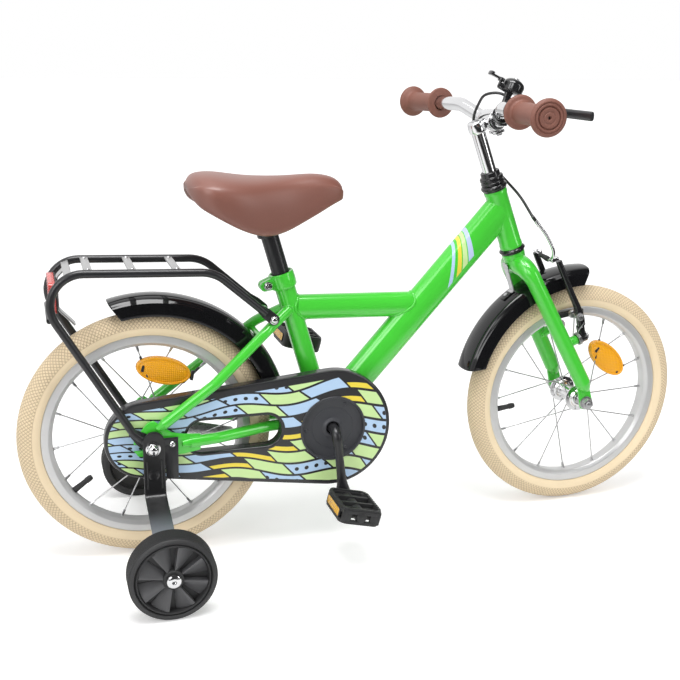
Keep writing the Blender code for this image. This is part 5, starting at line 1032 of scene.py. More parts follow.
def spoke_line(hub, turn, index, reach, holes):
    side, lean = ((1, -1), (-1, 1), (1, 1), (-1, -1))[index % 4]
    at_rim = math.radians(turn) + 2 * math.pi * index / SPOKES
    inner = RIM_RADIUS - RIM_DEPTH
    at_hub = at_rim + SPOKE_LEAN * lean
    start = hub + Vector((holes * math.cos(at_hub), side * (reach[side] - 0.0010 * lean),
                          holes * math.sin(at_hub)))
    end = hub + Vector((inner * math.cos(at_rim), side * 0.0030, inner * math.sin(at_rim)))
    return start, end, side, lean


def spokes(name, hub, turn, reach, holes, body):
    wires = []
    for index in range(SPOKES):
        start, end, side, lean = spoke_line(hub, turn, index, reach, holes)
        run = (end - start).normalized()
        face = Vector((start.x, side * reach[side], start.z))
        through = LEFT * (side * lean * 0.0024)
        wires.append(tube(rounded_route([face + through, face - through * 0.6, end], [0.0012], 4),
                          SPOKE_RADIUS, 10))
        wires.append(rod(face + through * 0.75, face + through * 1.25, 0.0019, 12, 0.0013))
        wires.append(rod(end + run * 0.0030, end - run * 0.0090, 0.0023, 6, 0.0019, 0.0004))
        wires.append(rod(end + run * 0.0010, end - run * 0.0004, 0.0034, 12))
    return show(name, wires, zinc, body)


spokes("front_spokes", FRONT_HUB, 0.0, FRONT_REACH, FRONT_HOLES, "front_wheel")
spokes("rear_spokes", REAR_HUB, -63.0, REAR_REACH, REAR_HOLES, "rear_wheel")


# %% Turn the hubs
def front_hub():
    bore = AXLE_RADIUS + RUN
    half = [(bore, FRONT_HUB_END), (0.0118, FRONT_HUB_END), (0.0135, FRONT_HUB_END - 0.0012),
            (0.0145, FRONT_FLANGE + 0.0040), (0.0160, FRONT_FLANGE + 0.0018),
            (FRONT_FLANGE_RADIUS, FRONT_FLANGE + 0.0018), (FRONT_FLANGE_RADIUS, FRONT_FLANGE - 0.0018),
            (0.0160, FRONT_FLANGE - 0.0018), (0.0125, FRONT_FLANGE - 0.0060), (0.0112, FRONT_FLANGE - 0.0120)]
    profile = softened(half + [(radius, -along) for radius, along in reversed(half)], 0.0008)
    return show("front_hub", [turned(profile, FRONT_HUB, LEFT, 72)], chrome, "front_wheel", ["front_hub"])


def rear_hub():
    bore = AXLE_RADIUS + RUN
    left = REAR_REACH[1]
    right = REAR_REACH[-1]
    profile = [
        (bore, left + 0.0080), (0.0150, left + 0.0080), (0.0200, left + 0.0066), (0.0212, left + 0.0030),
        (HUB_SHELL_RADIUS, left + 0.0018), (REAR_FLANGE_RADIUS, left + 0.0018),
        (REAR_FLANGE_RADIUS, left - 0.0018), (HUB_SHELL_RADIUS + 0.0030, left - 0.0018),
        (HUB_SHELL_RADIUS, left - 0.0050), (HUB_SHELL_RADIUS, 0.0050 - right),
        (HUB_SHELL_RADIUS + 0.0030, 0.0018 - right), (REAR_FLANGE_RADIUS, 0.0018 - right),
        (REAR_FLANGE_RADIUS, -0.0018 - right), (0.0190, -0.0018 - right), (0.0180, -REAR_HUB_END),
        (bore, -REAR_HUB_END),
    ]
    return show("rear_hub", [turned(softened(profile, 0.0008), REAR_HUB, LEFT, 72)], chrome, "rear_wheel",
                ["rear_hub"])


front_hub()
rear_hub()
print("spoke faces:", len(made_pieces["rear_spokes"].data.polygons))

# %% [markdown]
# ## Valves and wheel reflectors
#
# A car-type valve stands in each rim, with a knurled nut and a black cap. The reflector is a
# moulded oval lens in a raised border. It clips over two spokes with a dark clip at each side.

# %% Fit the valves
def valve(name, hub, angle, body):
    out = direction(angle)
    inner = RIM_RADIUS - RIM_DEPTH
    tip = inner - 0.0340
    stem = rod(hub + out * (tip + 0.0100), hub + out * (inner + 0.0030), 0.0040, 28, 0.0050)
    show(name + "_valve", [stem], pad_rubber, body)
    half = [(0.0, 0.0), (0.0036, 0.0), (0.0044, 0.0012), (0.0044, 0.0086), (0.0038, 0.0118), (0.0, 0.0120)]
    cap = [turned(softened(half, 0.0006, closed=False), hub + out * (tip + 0.0120), -out, 24, closed=False)]
    across = LEFT.cross(out)
    for step in range(12):
        angle_round = 2 * math.pi * step / 12
        side = across * math.cos(angle_round) + LEFT * math.sin(angle_round)
        cap.append(rod(hub + out * (tip + 0.0105) + side * 0.0043, hub + out * (tip + 0.0028) + side * 0.0042,
                       0.0005, 6, soft=0.0002))
    show(name + "_valve_cap", cap, black_plastic, body)


# %% Clip the reflectors on
def spoke_reflector(name, hub, turn, clipped, angle, out_to, reach, holes, body):
    out = direction(angle)
    across = LEFT.cross(out)
    lines = [spoke_line(hub, turn, index, reach, holes)[:2] for index in clipped]
    crossings = []
    for start, end in lines:
        share = (out_to - (start - hub).dot(out)) / (end - start).dot(out)
        crossings.append(start.lerp(end, share))
    depth = sum(point.y for point in crossings) / 2
    centre = hub + out * out_to + LEFT * depth

    def oval(length, height):
        return [(length / 2 * x, height / 2 * y) for x, y in circle(1.0, 56)]

    back = plate([oval(0.0840, 0.0420)], 0.0085, centre + LEFT * 0.0015, across, out, 0.0020, 3)
    edge = plate([oval(0.0830, 0.0410), oval(0.0760, 0.0340)], 0.0030, centre - LEFT * 0.0040, across, out,
                 0.0009, 3)
    field = plate([oval(0.0770, 0.0350)], 0.0016, centre - LEFT * 0.0036, across, out, 0.0004)
    show(name, [back, edge, field], orange_lens, body, [name])
    clips = []
    for (start, end), point in zip(lines, crossings):
        run = (end - start).normalized()
        side = 1 if (point - centre).dot(across) > 0 else -1
        at = point + run * 0.0 + across * (side * 0.0015)
        clips.append(block((0.0042, 0.0150, 0.0088), axes_matrix(at, across, run), 0.0009))
        clips.append(rod(point - run * 0.0170, point + run * 0.0170, 0.0019, 16))
    show(name + "_clips", clips, black_plastic, body)


valve("front", FRONT_HUB, 187.0, "front_wheel")
valve("rear", REAR_HUB, 216.0, "rear_wheel")
spoke_reflector("front_spoke_reflector", FRONT_HUB, 0.0, (1, 3), 47.0, 0.0860, FRONT_REACH, FRONT_HOLES,
                "front_wheel")
spoke_reflector("rear_spoke_reflector", REAR_HUB, -63.0, (5, 7), 75.0, 0.1040, REAR_REACH, REAR_HOLES,
                "rear_wheel")
print("wheel pieces:", sum(1 for name in made_pieces if "front" in name or "rear" in name))

# %% [markdown]
# ## Frame
#
# The frame is bent and mitred tube, welded. The down tube is oval and gets deeper towards the
# head tube. Each joint has a weld bead, and a bead lies where one tube runs into the other. So a
# ray is cast along the wall of the joining tube, all the way round, and the bead follows the
# places where the rays meet the other tube.

# %% Tubes of the frame
def oval_tube(start, end, width, depth_start, depth_end, count=56):
    run = (end - start).normalized()
    depth_way = run.cross(LEFT).normalized()
    rings = [ring_points(start.lerp(end, share), LEFT, depth_way, width,
                         depth_start + (depth_end - depth_start) * share, count) for share in (0.0, 0.5, 1.0)]
    return skin(rings)


def closed_loop(points, radius, sides=10):
    """A bead laid along a closed line, a little lumpy as a hand weld is."""
    shape = bmesh.new()
    count = len(points)
    rings = []
    for index, point in enumerate(points):
        run = (points[(index + 1) % count] - points[index - 1]).normalized()
        normal = run.orthogonal().normalized() if not rings else (normal - run * normal.dot(run)).normalized()
        size = radius * (1.0 + 0.13 * math.sin(index * 2.1))
        rings.append([shape.verts.new(p) for p in ring_points(point, normal, run.cross(normal), size * 2,
                                                              size * 2, sides)])
    loops = [[shape.edges.new(pair) for pair in zip(ring, ring[1:] + ring[:1])] for ring in rings]
    for first, second in zip(loops, loops[1:] + loops[:1]):
        bmesh.ops.bridge_loops(shape, edges=first + second)
    return shape


def weld(other, start, run, across, width, depth, radius=0.0020, count=56):
    """A bead where a tube that runs along its axis from the start meets the other shape."""
    tree = BVHTree.FromBMesh(other)
    along = run.cross(across)
    line = []
    for point in ring_points(start, across, along, width, depth, count):
        hit = tree.ray_cast(point, run)[0]
        if hit is not None:
            line.append(hit)
    return closed_loop(line, radius) if len(line) == count else None


DOWN_TOP = on_steering(HEAD_TUBE_FOOT + HEAD_TUBE_LENGTH - 0.0330)
DOWN_RUN = (DOWN_TOP - BOTTOM).normalized()
TOP_START = on_seat(0.1950)
TOP_END = BOTTOM + DOWN_RUN * 0.2420
TOP_RUN = (TOP_END - TOP_START).normalized()


def frame_tubes():
    head_profile = [(0.0150, 0.0), (0.0183, 0.0), (0.0187, 0.0010), (0.0187, 0.0060),
                    (HEAD_TUBE_RADIUS, 0.0076), (HEAD_TUBE_RADIUS, HEAD_TUBE_LENGTH - 0.0076),
                    (0.0187, HEAD_TUBE_LENGTH - 0.0060), (0.0187, HEAD_TUBE_LENGTH - 0.0010),
                    (0.0183, HEAD_TUBE_LENGTH), (0.0150, HEAD_TUBE_LENGTH)]
    seat_top = SEAT_TUBE_LENGTH
    seat_profile = [(0.0139, 0.0300), (SEAT_TUBE_RADIUS, 0.0), (SEAT_TUBE_RADIUS, seat_top),
                    (0.0139, seat_top)]
    half = BB_SHELL_HALF
    shell_profile = [(0.0255, -half), (0.0275, -half), (BB_SHELL_RADIUS, -half + 0.0010),
                     (BB_SHELL_RADIUS, half - 0.0010), (0.0275, half), (0.0255, half)]
    return {
        "head": turned(head_profile, on_steering(HEAD_TUBE_FOOT), STEER_UP, 72),
        "seat": turned(seat_profile, BOTTOM, SEAT_UP, 72),
        "shell": turned(shell_profile, BOTTOM, LEFT, 72),
        "down": oval_tube(BOTTOM + DOWN_RUN * 0.0200, DOWN_TOP, 0.0370, 0.0520, 0.0540),
        "top": oval_tube(TOP_START + TOP_RUN * 0.0080, TOP_END, 0.0310, 0.0400, 0.0400),
    }


# %% Stays, dropouts and welds
def chainstay_route(side):
    height = BOTTOM.z + 0.0040
    inner = CASE_BACK - 0.0080 - RUN
    outer = CASE_FACE + 0.0080 + RUN
    return rounded_route(
        [from_rear(BB_AHEAD - 0.0130, side * inner, height), from_rear(BB_AHEAD - 0.0930, side * inner, height),
         from_rear(0.0980, side * (outer - 0.0065), height), from_rear(0.0560, side * outer, height)],
        [0.0400, 0.0400], 10,
    )


def seatstay_route(side):
    outer = CASE_FACE + 0.0080 + RUN
    return rounded_route(
        [on_seat(0.1960, -0.0060, side * 0.0100),
         Vector((BOTTOM.x - 0.1030, side * 0.0375, BOTTOM.z + 0.1600)),
         from_rear(0.0960, side * outer, TYRE_RADIUS + 0.0890),
         from_rear(0.0180, side * outer, TYRE_RADIUS + 0.0330)],
        [0.0500, 0.0500], 10,
    )


def dropout_outline():
    slot_half = AXLE_RADIUS + FIT
    return (
        [(-0.0270, -slot_half)] + arc((0.0080, 0.0), slot_half, -90, 90, 16) + [(-0.0270, slot_half)]
        + arc((-0.0235, 0.0110), 0.0030, 180, 120, 4) + arc((0.0020, 0.0250), 0.0140, 150, 80, 12)
        + [(0.0300, 0.0190), (0.0480, 0.0150), (0.0720, 0.0130), (0.0720, -0.0120), (0.0480, -0.0160),
           (0.0300, -0.0170)] + arc((-0.0180, -0.0095), 0.0050, 270, 200, 5)
    )


def carrier_lug_point(side, out):
    return on_seat(0.1973, -0.0371, side * out)


def bridge_point():
    return GUARD_REAR + direction(40.0) * (GUARD_RADIUS + 0.0045 + 0.0009 - 0.0003)


GUARD_RADIUS = 0.2140
GUARD_REAR = REAR_HUB + Vector((0.0066, 0.0, 0.0050))
GUARD_FRONT = FRONT_HUB + Vector((0.0010, 0.0, 0.0130))


def stays_and_welds(tubes):
    shapes = []
    for side in (-1, 1):
        chain_route = chainstay_route(side)
        seat_route = seatstay_route(side)
        shapes.append(tube(chain_route, 0.0086, 32))
        shapes.append(tube(seat_route, 0.0080, 32))
        for route in (chain_route, seat_route):
            run = (route[-1] - route[-2]).normalized()
            shapes.append(tube([route[-1] - run * 0.0010, route[-1] + run * 0.0040, route[-1] + run * 0.0120],
                               0.0080, 32, 0.0045))
        shapes.append(plate([dropout_outline()], 0.0045, REAR_HUB + LEFT * (side * (0.0573 + 0.00225)), AHEAD,
                            UP, 0.0010, 3))
        shapes.append(rod(carrier_lug_point(side, 0.0240), carrier_lug_point(side, 0.0380), 0.0060, 32))
        first = seat_route[1] - seat_route[0]
        beads = [weld(tubes["seat"], seat_route[0] + first.normalized() * 0.0300, -first.normalized(),
                      first.orthogonal().normalized(), 0.0160, 0.0160, 0.0016, 40)]
        stay_run = (chain_route[0] - chain_route[1]).normalized()
        beads.append(weld(tubes["shell"], chain_route[0] - stay_run * 0.0400, stay_run, LEFT, 0.0160, 0.0160,
                          0.0016, 40))
        shapes += [bead for bead in beads if bead is not None]
    shapes.append(rod(bridge_point() + RIGHT * 0.0350, bridge_point() + LEFT * 0.0350, 0.0045, 32))
    joints = (
        ("head", DOWN_TOP - DOWN_RUN * 0.0700, DOWN_RUN, 0.0370, 0.0540),
        ("shell", BOTTOM + DOWN_RUN * 0.0600, -DOWN_RUN, 0.0370, 0.0524),
        ("seat", TOP_START + TOP_RUN * 0.0500, -TOP_RUN, 0.0310, 0.0400),
        ("down", TOP_END - TOP_RUN * 0.0750, TOP_RUN, 0.0310, 0.0400),
        ("shell", BOTTOM + SEAT_UP * 0.0600, -SEAT_UP, 0.0318, 0.0318),
    )
    for name, start, run, width, depth in joints:
        bead = weld(tubes[name], start, run, LEFT, width, depth)
        print("weld on", name, "made" if bead else "missed")
        if bead:
            shapes.append(bead)
    return shapes


tubes = frame_tubes()
frame_shapes = stays_and_welds(tubes)
show("frame", list(tubes.values()) + frame_shapes, frame_paint, "frame", ["frame", "rear_stays"])
print("frame faces:", len(made_pieces["frame"].data.polygons))

# %% [markdown]
# ## Headset, fork and seat clamp
#
# The headset is a stack of black turned rings: a cup at each end of the head tube, then a cone and
# a locknut above. The fork is one welded piece: its crown is a short tube from which two legs bow
# out, and they taper to flat dropouts. The brake turns on two bosses in front of the legs.

# %% Turn the headset
HEADSET_RADIUS = 0.0215
LOWER_CUP_HEIGHT = 0.0080
UPPER_CUP_HEIGHT = 0.0100
LOCKNUT_HEIGHT = 0.0210
STEERER_RADIUS = 0.0127
CROWN_TOP = HEAD_TUBE_FOOT - LOWER_CUP_HEIGHT - FIT - RUN
HEAD_TOP = HEAD_TUBE_FOOT + HEAD_TUBE_LENGTH


def headset():
    clear = STEERER_RADIUS + RUN
    edge = HEADSET_RADIUS
    low = [(clear, 0.0), (clear, 0.0080), (0.0190, 0.0080), (0.0196, 0.0066), (edge - 0.0008, 0.0058),
           (edge, 0.0045), (edge, 0.0030), (edge - 0.0018, 0.0020), (edge - 0.0020, 0.0)]
    show("lower_headset_cup", [turned(softened(low, 0.0004), on_steering(HEAD_TUBE_FOOT - 0.0083), STEER_UP)],
         gloss_black, "frame", ["lower_headset_cup"])
    high = [(clear, 0.0), (clear, 0.0100), (edge - 0.0032, 0.0100), (edge - 0.0012, 0.0082),
            (edge - 0.0004, 0.0066), (edge - 0.0004, 0.0040), (edge - 0.0018, 0.0028),
            (edge - 0.0020, 0.0012), (edge - 0.0032, 0.0)]
    show("upper_headset_cup", [turned(softened(high, 0.0004), on_steering(HEAD_TOP + FIT), STEER_UP)],
         gloss_black, "frame", ["upper_headset_cup"])
    wide = edge - 0.0025
    narrow = edge - 0.0060
    nut = [(clear, 0.0), (clear, LOCKNUT_HEIGHT - 0.0030), (0.0116, LOCKNUT_HEIGHT),
           (narrow - 0.0010, LOCKNUT_HEIGHT), (narrow, LOCKNUT_HEIGHT - 0.0012), (narrow, 0.0138),
           (narrow + 0.0008, 0.0130), (wide - 0.0004, 0.0122), (wide, 0.0110), (wide, 0.0068),
           (wide - 0.0010, 0.0060), (wide - 0.0010, 0.0048), (wide, 0.0040), (wide, 0.0008),
           (wide - 0.0010, 0.0)]
    at = on_steering(HEAD_TOP + UPPER_CUP_HEIGHT + FIT + RUN)
    show("headset_locknut", [turned(softened(nut, 0.0004), at, STEER_UP)], gloss_black, "steering",
         ["headset_locknut"])


headset()
print("headset top:", round(on_steering(HEAD_TOP + UPPER_CUP_HEIGHT + LOCKNUT_HEIGHT).z, 4))

# %% Weld the fork
BRAKE_PIVOT_UP = 0.1085
BRAKE_PIVOT_AHEAD = 0.0600
BRAKE_HALF = 0.0400
BRAKE_HUB_BACK = 0.0110
FORK_SIDE = 0.0525


def fork_leg_route(side):
    return rounded_route(
        [on_steering(CROWN_TOP - 0.0190, 0.0, side * 0.0020), on_steering(CROWN_TOP - 0.0270, 0.0020, side * 0.0400),
         on_steering(CROWN_TOP - 0.2480, 0.0330, side * FORK_SIDE)],
        [0.0300], 14,
    )


def hexagon(start, end, radius, soft=0.0005):
    """A hex head or nut with its corners turned off, as a real one is chamfered."""
    run = end - start
    return plate([circle(radius, 6)], run.length, (start + end) / 2, run.orthogonal(), run.cross(run.orthogonal()),
                 soft, 2)


def fork():
    top = HEAD_TOP + UPPER_CUP_HEIGHT + LOCKNUT_HEIGHT - 0.0040
    crown = [(0.0, -0.0040), (0.0150, -0.0040), (0.0172, 0.0), (0.0176, 0.0090), (0.0188, 0.0200),
             (0.0190, 0.0232), (0.0182, 0.0240), (0.0127, 0.0240), (0.0127, 0.0300), (0.0, 0.0300)]
    shapes = [rod(on_steering(CROWN_TOP - 0.0180), on_steering(top), STEERER_RADIUS, 48),
              turned(softened(crown, 0.0008, closed=False), on_steering(CROWN_TOP - 0.0240), STEER_UP, 64,
                     closed=False)]
    for side in (-1, 1):
        shapes.append(tube(fork_leg_route(side), 0.0170, 40, 0.0130))
        route = fork_leg_route(side)
        run = (route[-1] - route[-2]).normalized()
        shapes.append(tube([route[-1] - run * 0.0010, route[-1] + run * 0.0070, route[-1] + run * 0.0130,
                            route[-1] + run * 0.0160], 0.0130, 40, 0.0060))
        outline = (arc((0.0, 0.0), 0.0125, 200, 243, 10) + [(-AXLE_RADIUS - FIT, -0.0116)]
                   + arc((0.0, 0.0), AXLE_RADIUS + FIT, 180, 0, 16) + [(AXLE_RADIUS + FIT, -0.0116)]
                   + arc((0.0, 0.0), 0.0125, 297, 360, 12) + [(0.0150, 0.0400), (-0.0050, 0.0420)])
        shapes.append(plate([outline], 0.0050, FRONT_HUB + LEFT * (side * FORK_SIDE), STEER_AHEAD, STEER_UP,
                            0.0010, 3))
        boss = side * BRAKE_HALF
        end = BRAKE_PIVOT_AHEAD - BRAKE_HUB_BACK - FIT
        shapes.append(rod(on_steering(BRAKE_PIVOT_UP, 0.0200, boss), on_steering(BRAKE_PIVOT_UP, end, boss), 0.0080,
                          32))
        shapes.append(rod(on_steering(BRAKE_PIVOT_UP, 0.0300, boss),
                          on_steering(BRAKE_PIVOT_UP, BRAKE_PIVOT_AHEAD + 0.0070, boss), 0.0040, 24))
        leg = tube([on_steering(BRAKE_PIVOT_UP - 0.05, 0.0262, side * 0.0480),
                    on_steering(BRAKE_PIVOT_UP + 0.05, 0.0131, side * 0.0453)], 0.0155, 40)
        bead = weld(leg, on_steering(BRAKE_PIVOT_UP, 0.0560, boss), -STEER_AHEAD, LEFT, 0.0160, 0.0160, 0.0014, 36)
        shapes += [bead] if bead else []
        leg.free()
    show("fork", shapes, fork_paint, "steering", ["fork"])
    bolts = []
    for side in (-1, 1):
        start = on_steering(BRAKE_PIVOT_UP, BRAKE_PIVOT_AHEAD + 0.0063, side * BRAKE_HALF)
        bolts.append(rod(start, start + STEER_AHEAD * 0.0010, 0.0078, 32))
        bolts.append(hexagon(start + STEER_AHEAD * 0.0008, start + STEER_AHEAD * 0.0037, 0.0065))
    show("brake_bolts", bolts, zinc, "steering")


fork()

# %% [markdown]
# ## Seat clamp
#
# The collar is a split ring with two ears, drawn together by a plated bolt. It is painted with the
# frame, and the ears point to the back.

# %% Make the seat clamp
def seat_clamp():
    foot = SEAT_TUBE_LENGTH - 0.0220
    inner = SEAT_TUBE_RADIUS + FIT
    profile = [(inner, 0.0), (inner, 0.0240), (inner + 0.0030, 0.0240), (inner + 0.0036, 0.0210),
               (inner + 0.0040, 0.0120), (inner + 0.0036, 0.0030), (inner + 0.0030, 0.0)]
    shapes = [turned(softened(profile, 0.0006), on_seat(foot), SEAT_UP, 72)]
    ear = [(0.0, -0.0095), (0.0, 0.0095)] + arc((-0.0150, 0.0), 0.0075, 100, 260, 16)
    for side in (-1, 1):
        shapes.append(plate([ear], 0.0088, on_seat(foot + 0.0120, -inner + 0.0005, side * 0.0056), SEAT_AHEAD,
                            SEAT_UP, 0.0012, 3))
    show("seat_clamp", shapes, fork_paint, "frame", ["seat_clamp"])
    at = on_seat(foot + 0.0120, -inner - 0.0100)
    bolt = [rod(at + RIGHT * 0.0180, at + LEFT * 0.0180, 0.0030, 24),
            rod(at + RIGHT * 0.0103, at + RIGHT * 0.0118, 0.0068, 32),
            turned(softened([(0.0, 0.0), (0.0060, 0.0), (0.0060, 0.0030), (0.0050, 0.0046), (0.0030, 0.0048),
                             (0.0030, 0.0030), (0.0, 0.0030)], 0.0004, closed=False), at + RIGHT * 0.0116, RIGHT,
                   32, closed=False),
            rod(at + LEFT * 0.0103, at + LEFT * 0.0118, 0.0068, 32),
            hexagon(at + LEFT * 0.0116, at + LEFT * 0.0160, 0.0060)]
    show("seat_clamp_bolt", bolt, chrome, "frame", ["seat_clamp_bolt"])


seat_clamp()

# %% [markdown]
# ## Stem, bar and grips
#
# The quill stem is plated: a smooth post, a rounded head with a socket bolt on top, a short neck
# and a split clamp drawn tight from below. The bar is one bent tube. The grips are moulded
# rubber with a round flange at each end, and the outer flange has rings round a small hole.

# %% Make the stem and bar
STEM_HEIGHT = 0.5000
STEM_REACH = 0.0285
BAR_HALF = 0.2480
BAR_RISE = 0.0200
BAR_DROOP = 0.0030
BAR_SWEEP = 0.0200
BAR_FLAT = 0.0320
BAR_SHOULDER = 0.0760
BAR_BACKSWEEP = 0.0170


def bar_corners(side):
    centre = on_steering(STEM_HEIGHT, STEM_REACH)
    return [centre, centre + Vector((0, side * BAR_FLAT, 0)),
            centre + Vector((-BAR_SWEEP, side * BAR_SHOULDER, BAR_RISE)),
            centre + Vector((-BAR_SWEEP - BAR_BACKSWEEP, side * BAR_HALF, BAR_RISE - BAR_DROOP))]


def bar_point(side, reach):
    shoulder, end = bar_corners(side)[2:]
    return shoulder.lerp(end, (reach - BAR_SHOULDER) / (BAR_HALF - BAR_SHOULDER))


def bar_run(side):
    shoulder, end = bar_corners(side)[2:]
    return (end - shoulder).normalized()


def stem():
    top = [(0.0, 0.0), (0.0118, 0.0), (0.0138, 0.0040), (0.0140, 0.0110), (0.0132, 0.0172), (0.0116, 0.0196),
           (0.0088, 0.0200), (0.0060, 0.0200), (0.0060, 0.0180), (0.0, 0.0180)]
    rings = []
    for step in range(7):
        share = step / 6
        swell = 1.0 - 0.10 * math.sin(math.pi * share)
        at = on_steering(STEM_HEIGHT - 0.0040 + 0.0040 * share, -0.0040 + (STEM_REACH + 0.0040) * share)
        rings.append(ring_points(at, LEFT, STEER_UP, (0.0250 - 0.0030 * share) * swell,
                                 (0.0210 + 0.0030 * share) * swell, 40))
    centre = on_steering(STEM_HEIGHT, STEM_REACH)
    clamp = [(0.0112, -0.0200), (0.0150, -0.0200), (0.0158, -0.0190), (0.0158, 0.0190), (0.0150, 0.0200),
             (0.0112, 0.0200)]
    shapes = [rod(on_steering(HEAD_TUBE_FOOT + 0.0200), on_steering(STEM_HEIGHT - 0.0040), 0.0111, 48),
              turned(softened(top, 0.0010, closed=False), on_steering(STEM_HEIGHT - 0.0120), STEER_UP, 56,
                     closed=False),
              skin(rings), turned(softened(clamp, 0.0006), centre, LEFT, 64)]
    for lift in (-0.0035, 0.0030):
        shapes.append(block((0.0170, 0.0260, 0.0052), axes_matrix(
            on_steering(STEM_HEIGHT - 0.0170 + lift, STEM_REACH + 0.0020), STEER_AHEAD, LEFT), 0.0016, 4))
    shapes.append(plate([circle(0.0040, 6)], 0.0010, on_steering(STEM_HEIGHT + 0.0064), LEFT, STEER_AHEAD, 0.0))
    return show("stem", shapes, chrome, "steering", ["stem"])


def stem_bolts():
    bolts = []
    for side in (-1, 1):
        foot = on_steering(STEM_HEIGHT - 0.0262, STEM_REACH + 0.0020, side * 0.0070)
        bolts.append(rod(foot, foot + STEER_UP * 0.0040, 0.0045, 24))
        bolts.append(rod(foot + STEER_UP * 0.0160, foot + STEER_UP * 0.0172, 0.0036, 24))
    bolts.append(rod(on_steering(STEM_HEIGHT + 0.0050), on_steering(STEM_HEIGHT + 0.0084), 0.0050, 24))
    return show("stem_bolts", bolts, zinc, "steering")


def handlebar():
    left = rounded_route(bar_corners(1), [0.0300, 0.0300], 12)
    right = rounded_route(bar_corners(-1), [0.0300, 0.0300], 12)
    return show("handlebar", [tube(right[:0:-1] + left[1:], BAR_RADIUS, 40)], chrome, "steering", ["handlebar"])


stem()
stem_bolts()
handlebar()

# %% Mould the grips
GRIP_INNER = 0.1450
GRIP_OUTER = 0.2520


def grip(name, side):
    length = GRIP_OUTER - GRIP_INNER
    tip = length + 0.0030
    face = [(0.0022, tip - 0.0130), (0.0022, tip - 0.0010), (0.0032, tip)]
    for radius, deep in ((0.0080, 0.0008), (0.0150, 0.0026), (0.0200, 0.0016)):
        face += [(radius - 0.0013, tip), (radius - 0.0005, tip - deep), (radius + 0.0005, tip - deep),
                 (radius + 0.0013, tip - 0.0002)]
    edge = [(0.0222, tip - 0.0004), (0.0240, tip - 0.0016), (0.0256, tip - 0.0036), (0.0260, tip - 0.0058),
            (0.0252, tip - 0.0082), (0.0226, tip - 0.0102), (0.0180, tip - 0.0128), (0.0158, tip - 0.0160),
            (0.0155, tip - 0.0200)]
    foot = [(0.0155, 0.0130), (0.0160, 0.0092), (0.0182, 0.0072), (0.0222, 0.0062), (0.0244, 0.0046),
            (0.0250, 0.0028), (0.0246, 0.0010), (0.0232, 0.0), (0.0128, 0.0), (0.0116, 0.0010), (0.0116, 0.0300)]
    profile = softened(face + edge + foot + [(0.0116, tip - 0.0130)], 0.0005)
    return show(name, [turned(profile, bar_point(side, GRIP_INNER), bar_run(side), 72)], grip_brown, "steering",
                [name])


grip("grip_right", -1)
grip("grip_left", 1)
print("bar end:", [round(number, 3) for number in bar_point(-1, BAR_HALF)])

# %% [markdown]
# ## Bell
#
# A small dome bell sits on a neck over the bar, tipped ahead. A spun dome has a fine step at its
# rim, and the thumb lever behind it is a ribbed tab that turns on a pin.

# %% Make the bell
BELL_REACH = 0.0530
BELL_TILT = math.radians(24)
BELL_RADIUS = 0.0170


def bell_place():
    flat, shoulder = bar_corners(-1)[1:3]
    on_bar = flat.lerp(shoulder, (BELL_REACH - BAR_FLAT) / (BAR_SHOULDER - BAR_FLAT))
    seat = on_bar + Vector((0.0140, 0, 0.0360))
    top = Vector((math.sin(BELL_TILT), 0, math.cos(BELL_TILT)))
    return on_bar, (shoulder - flat).normalized(), seat, top


def clamp_ring(centre, run, width, out_radius):
    half = width / 2
    profile = [(BAR_RADIUS + FIT, -half), (BAR_RADIUS + FIT, half), (out_radius, half), (out_radius, -half)]
    return turned(softened(profile, 0.0008), centre, run, 56)


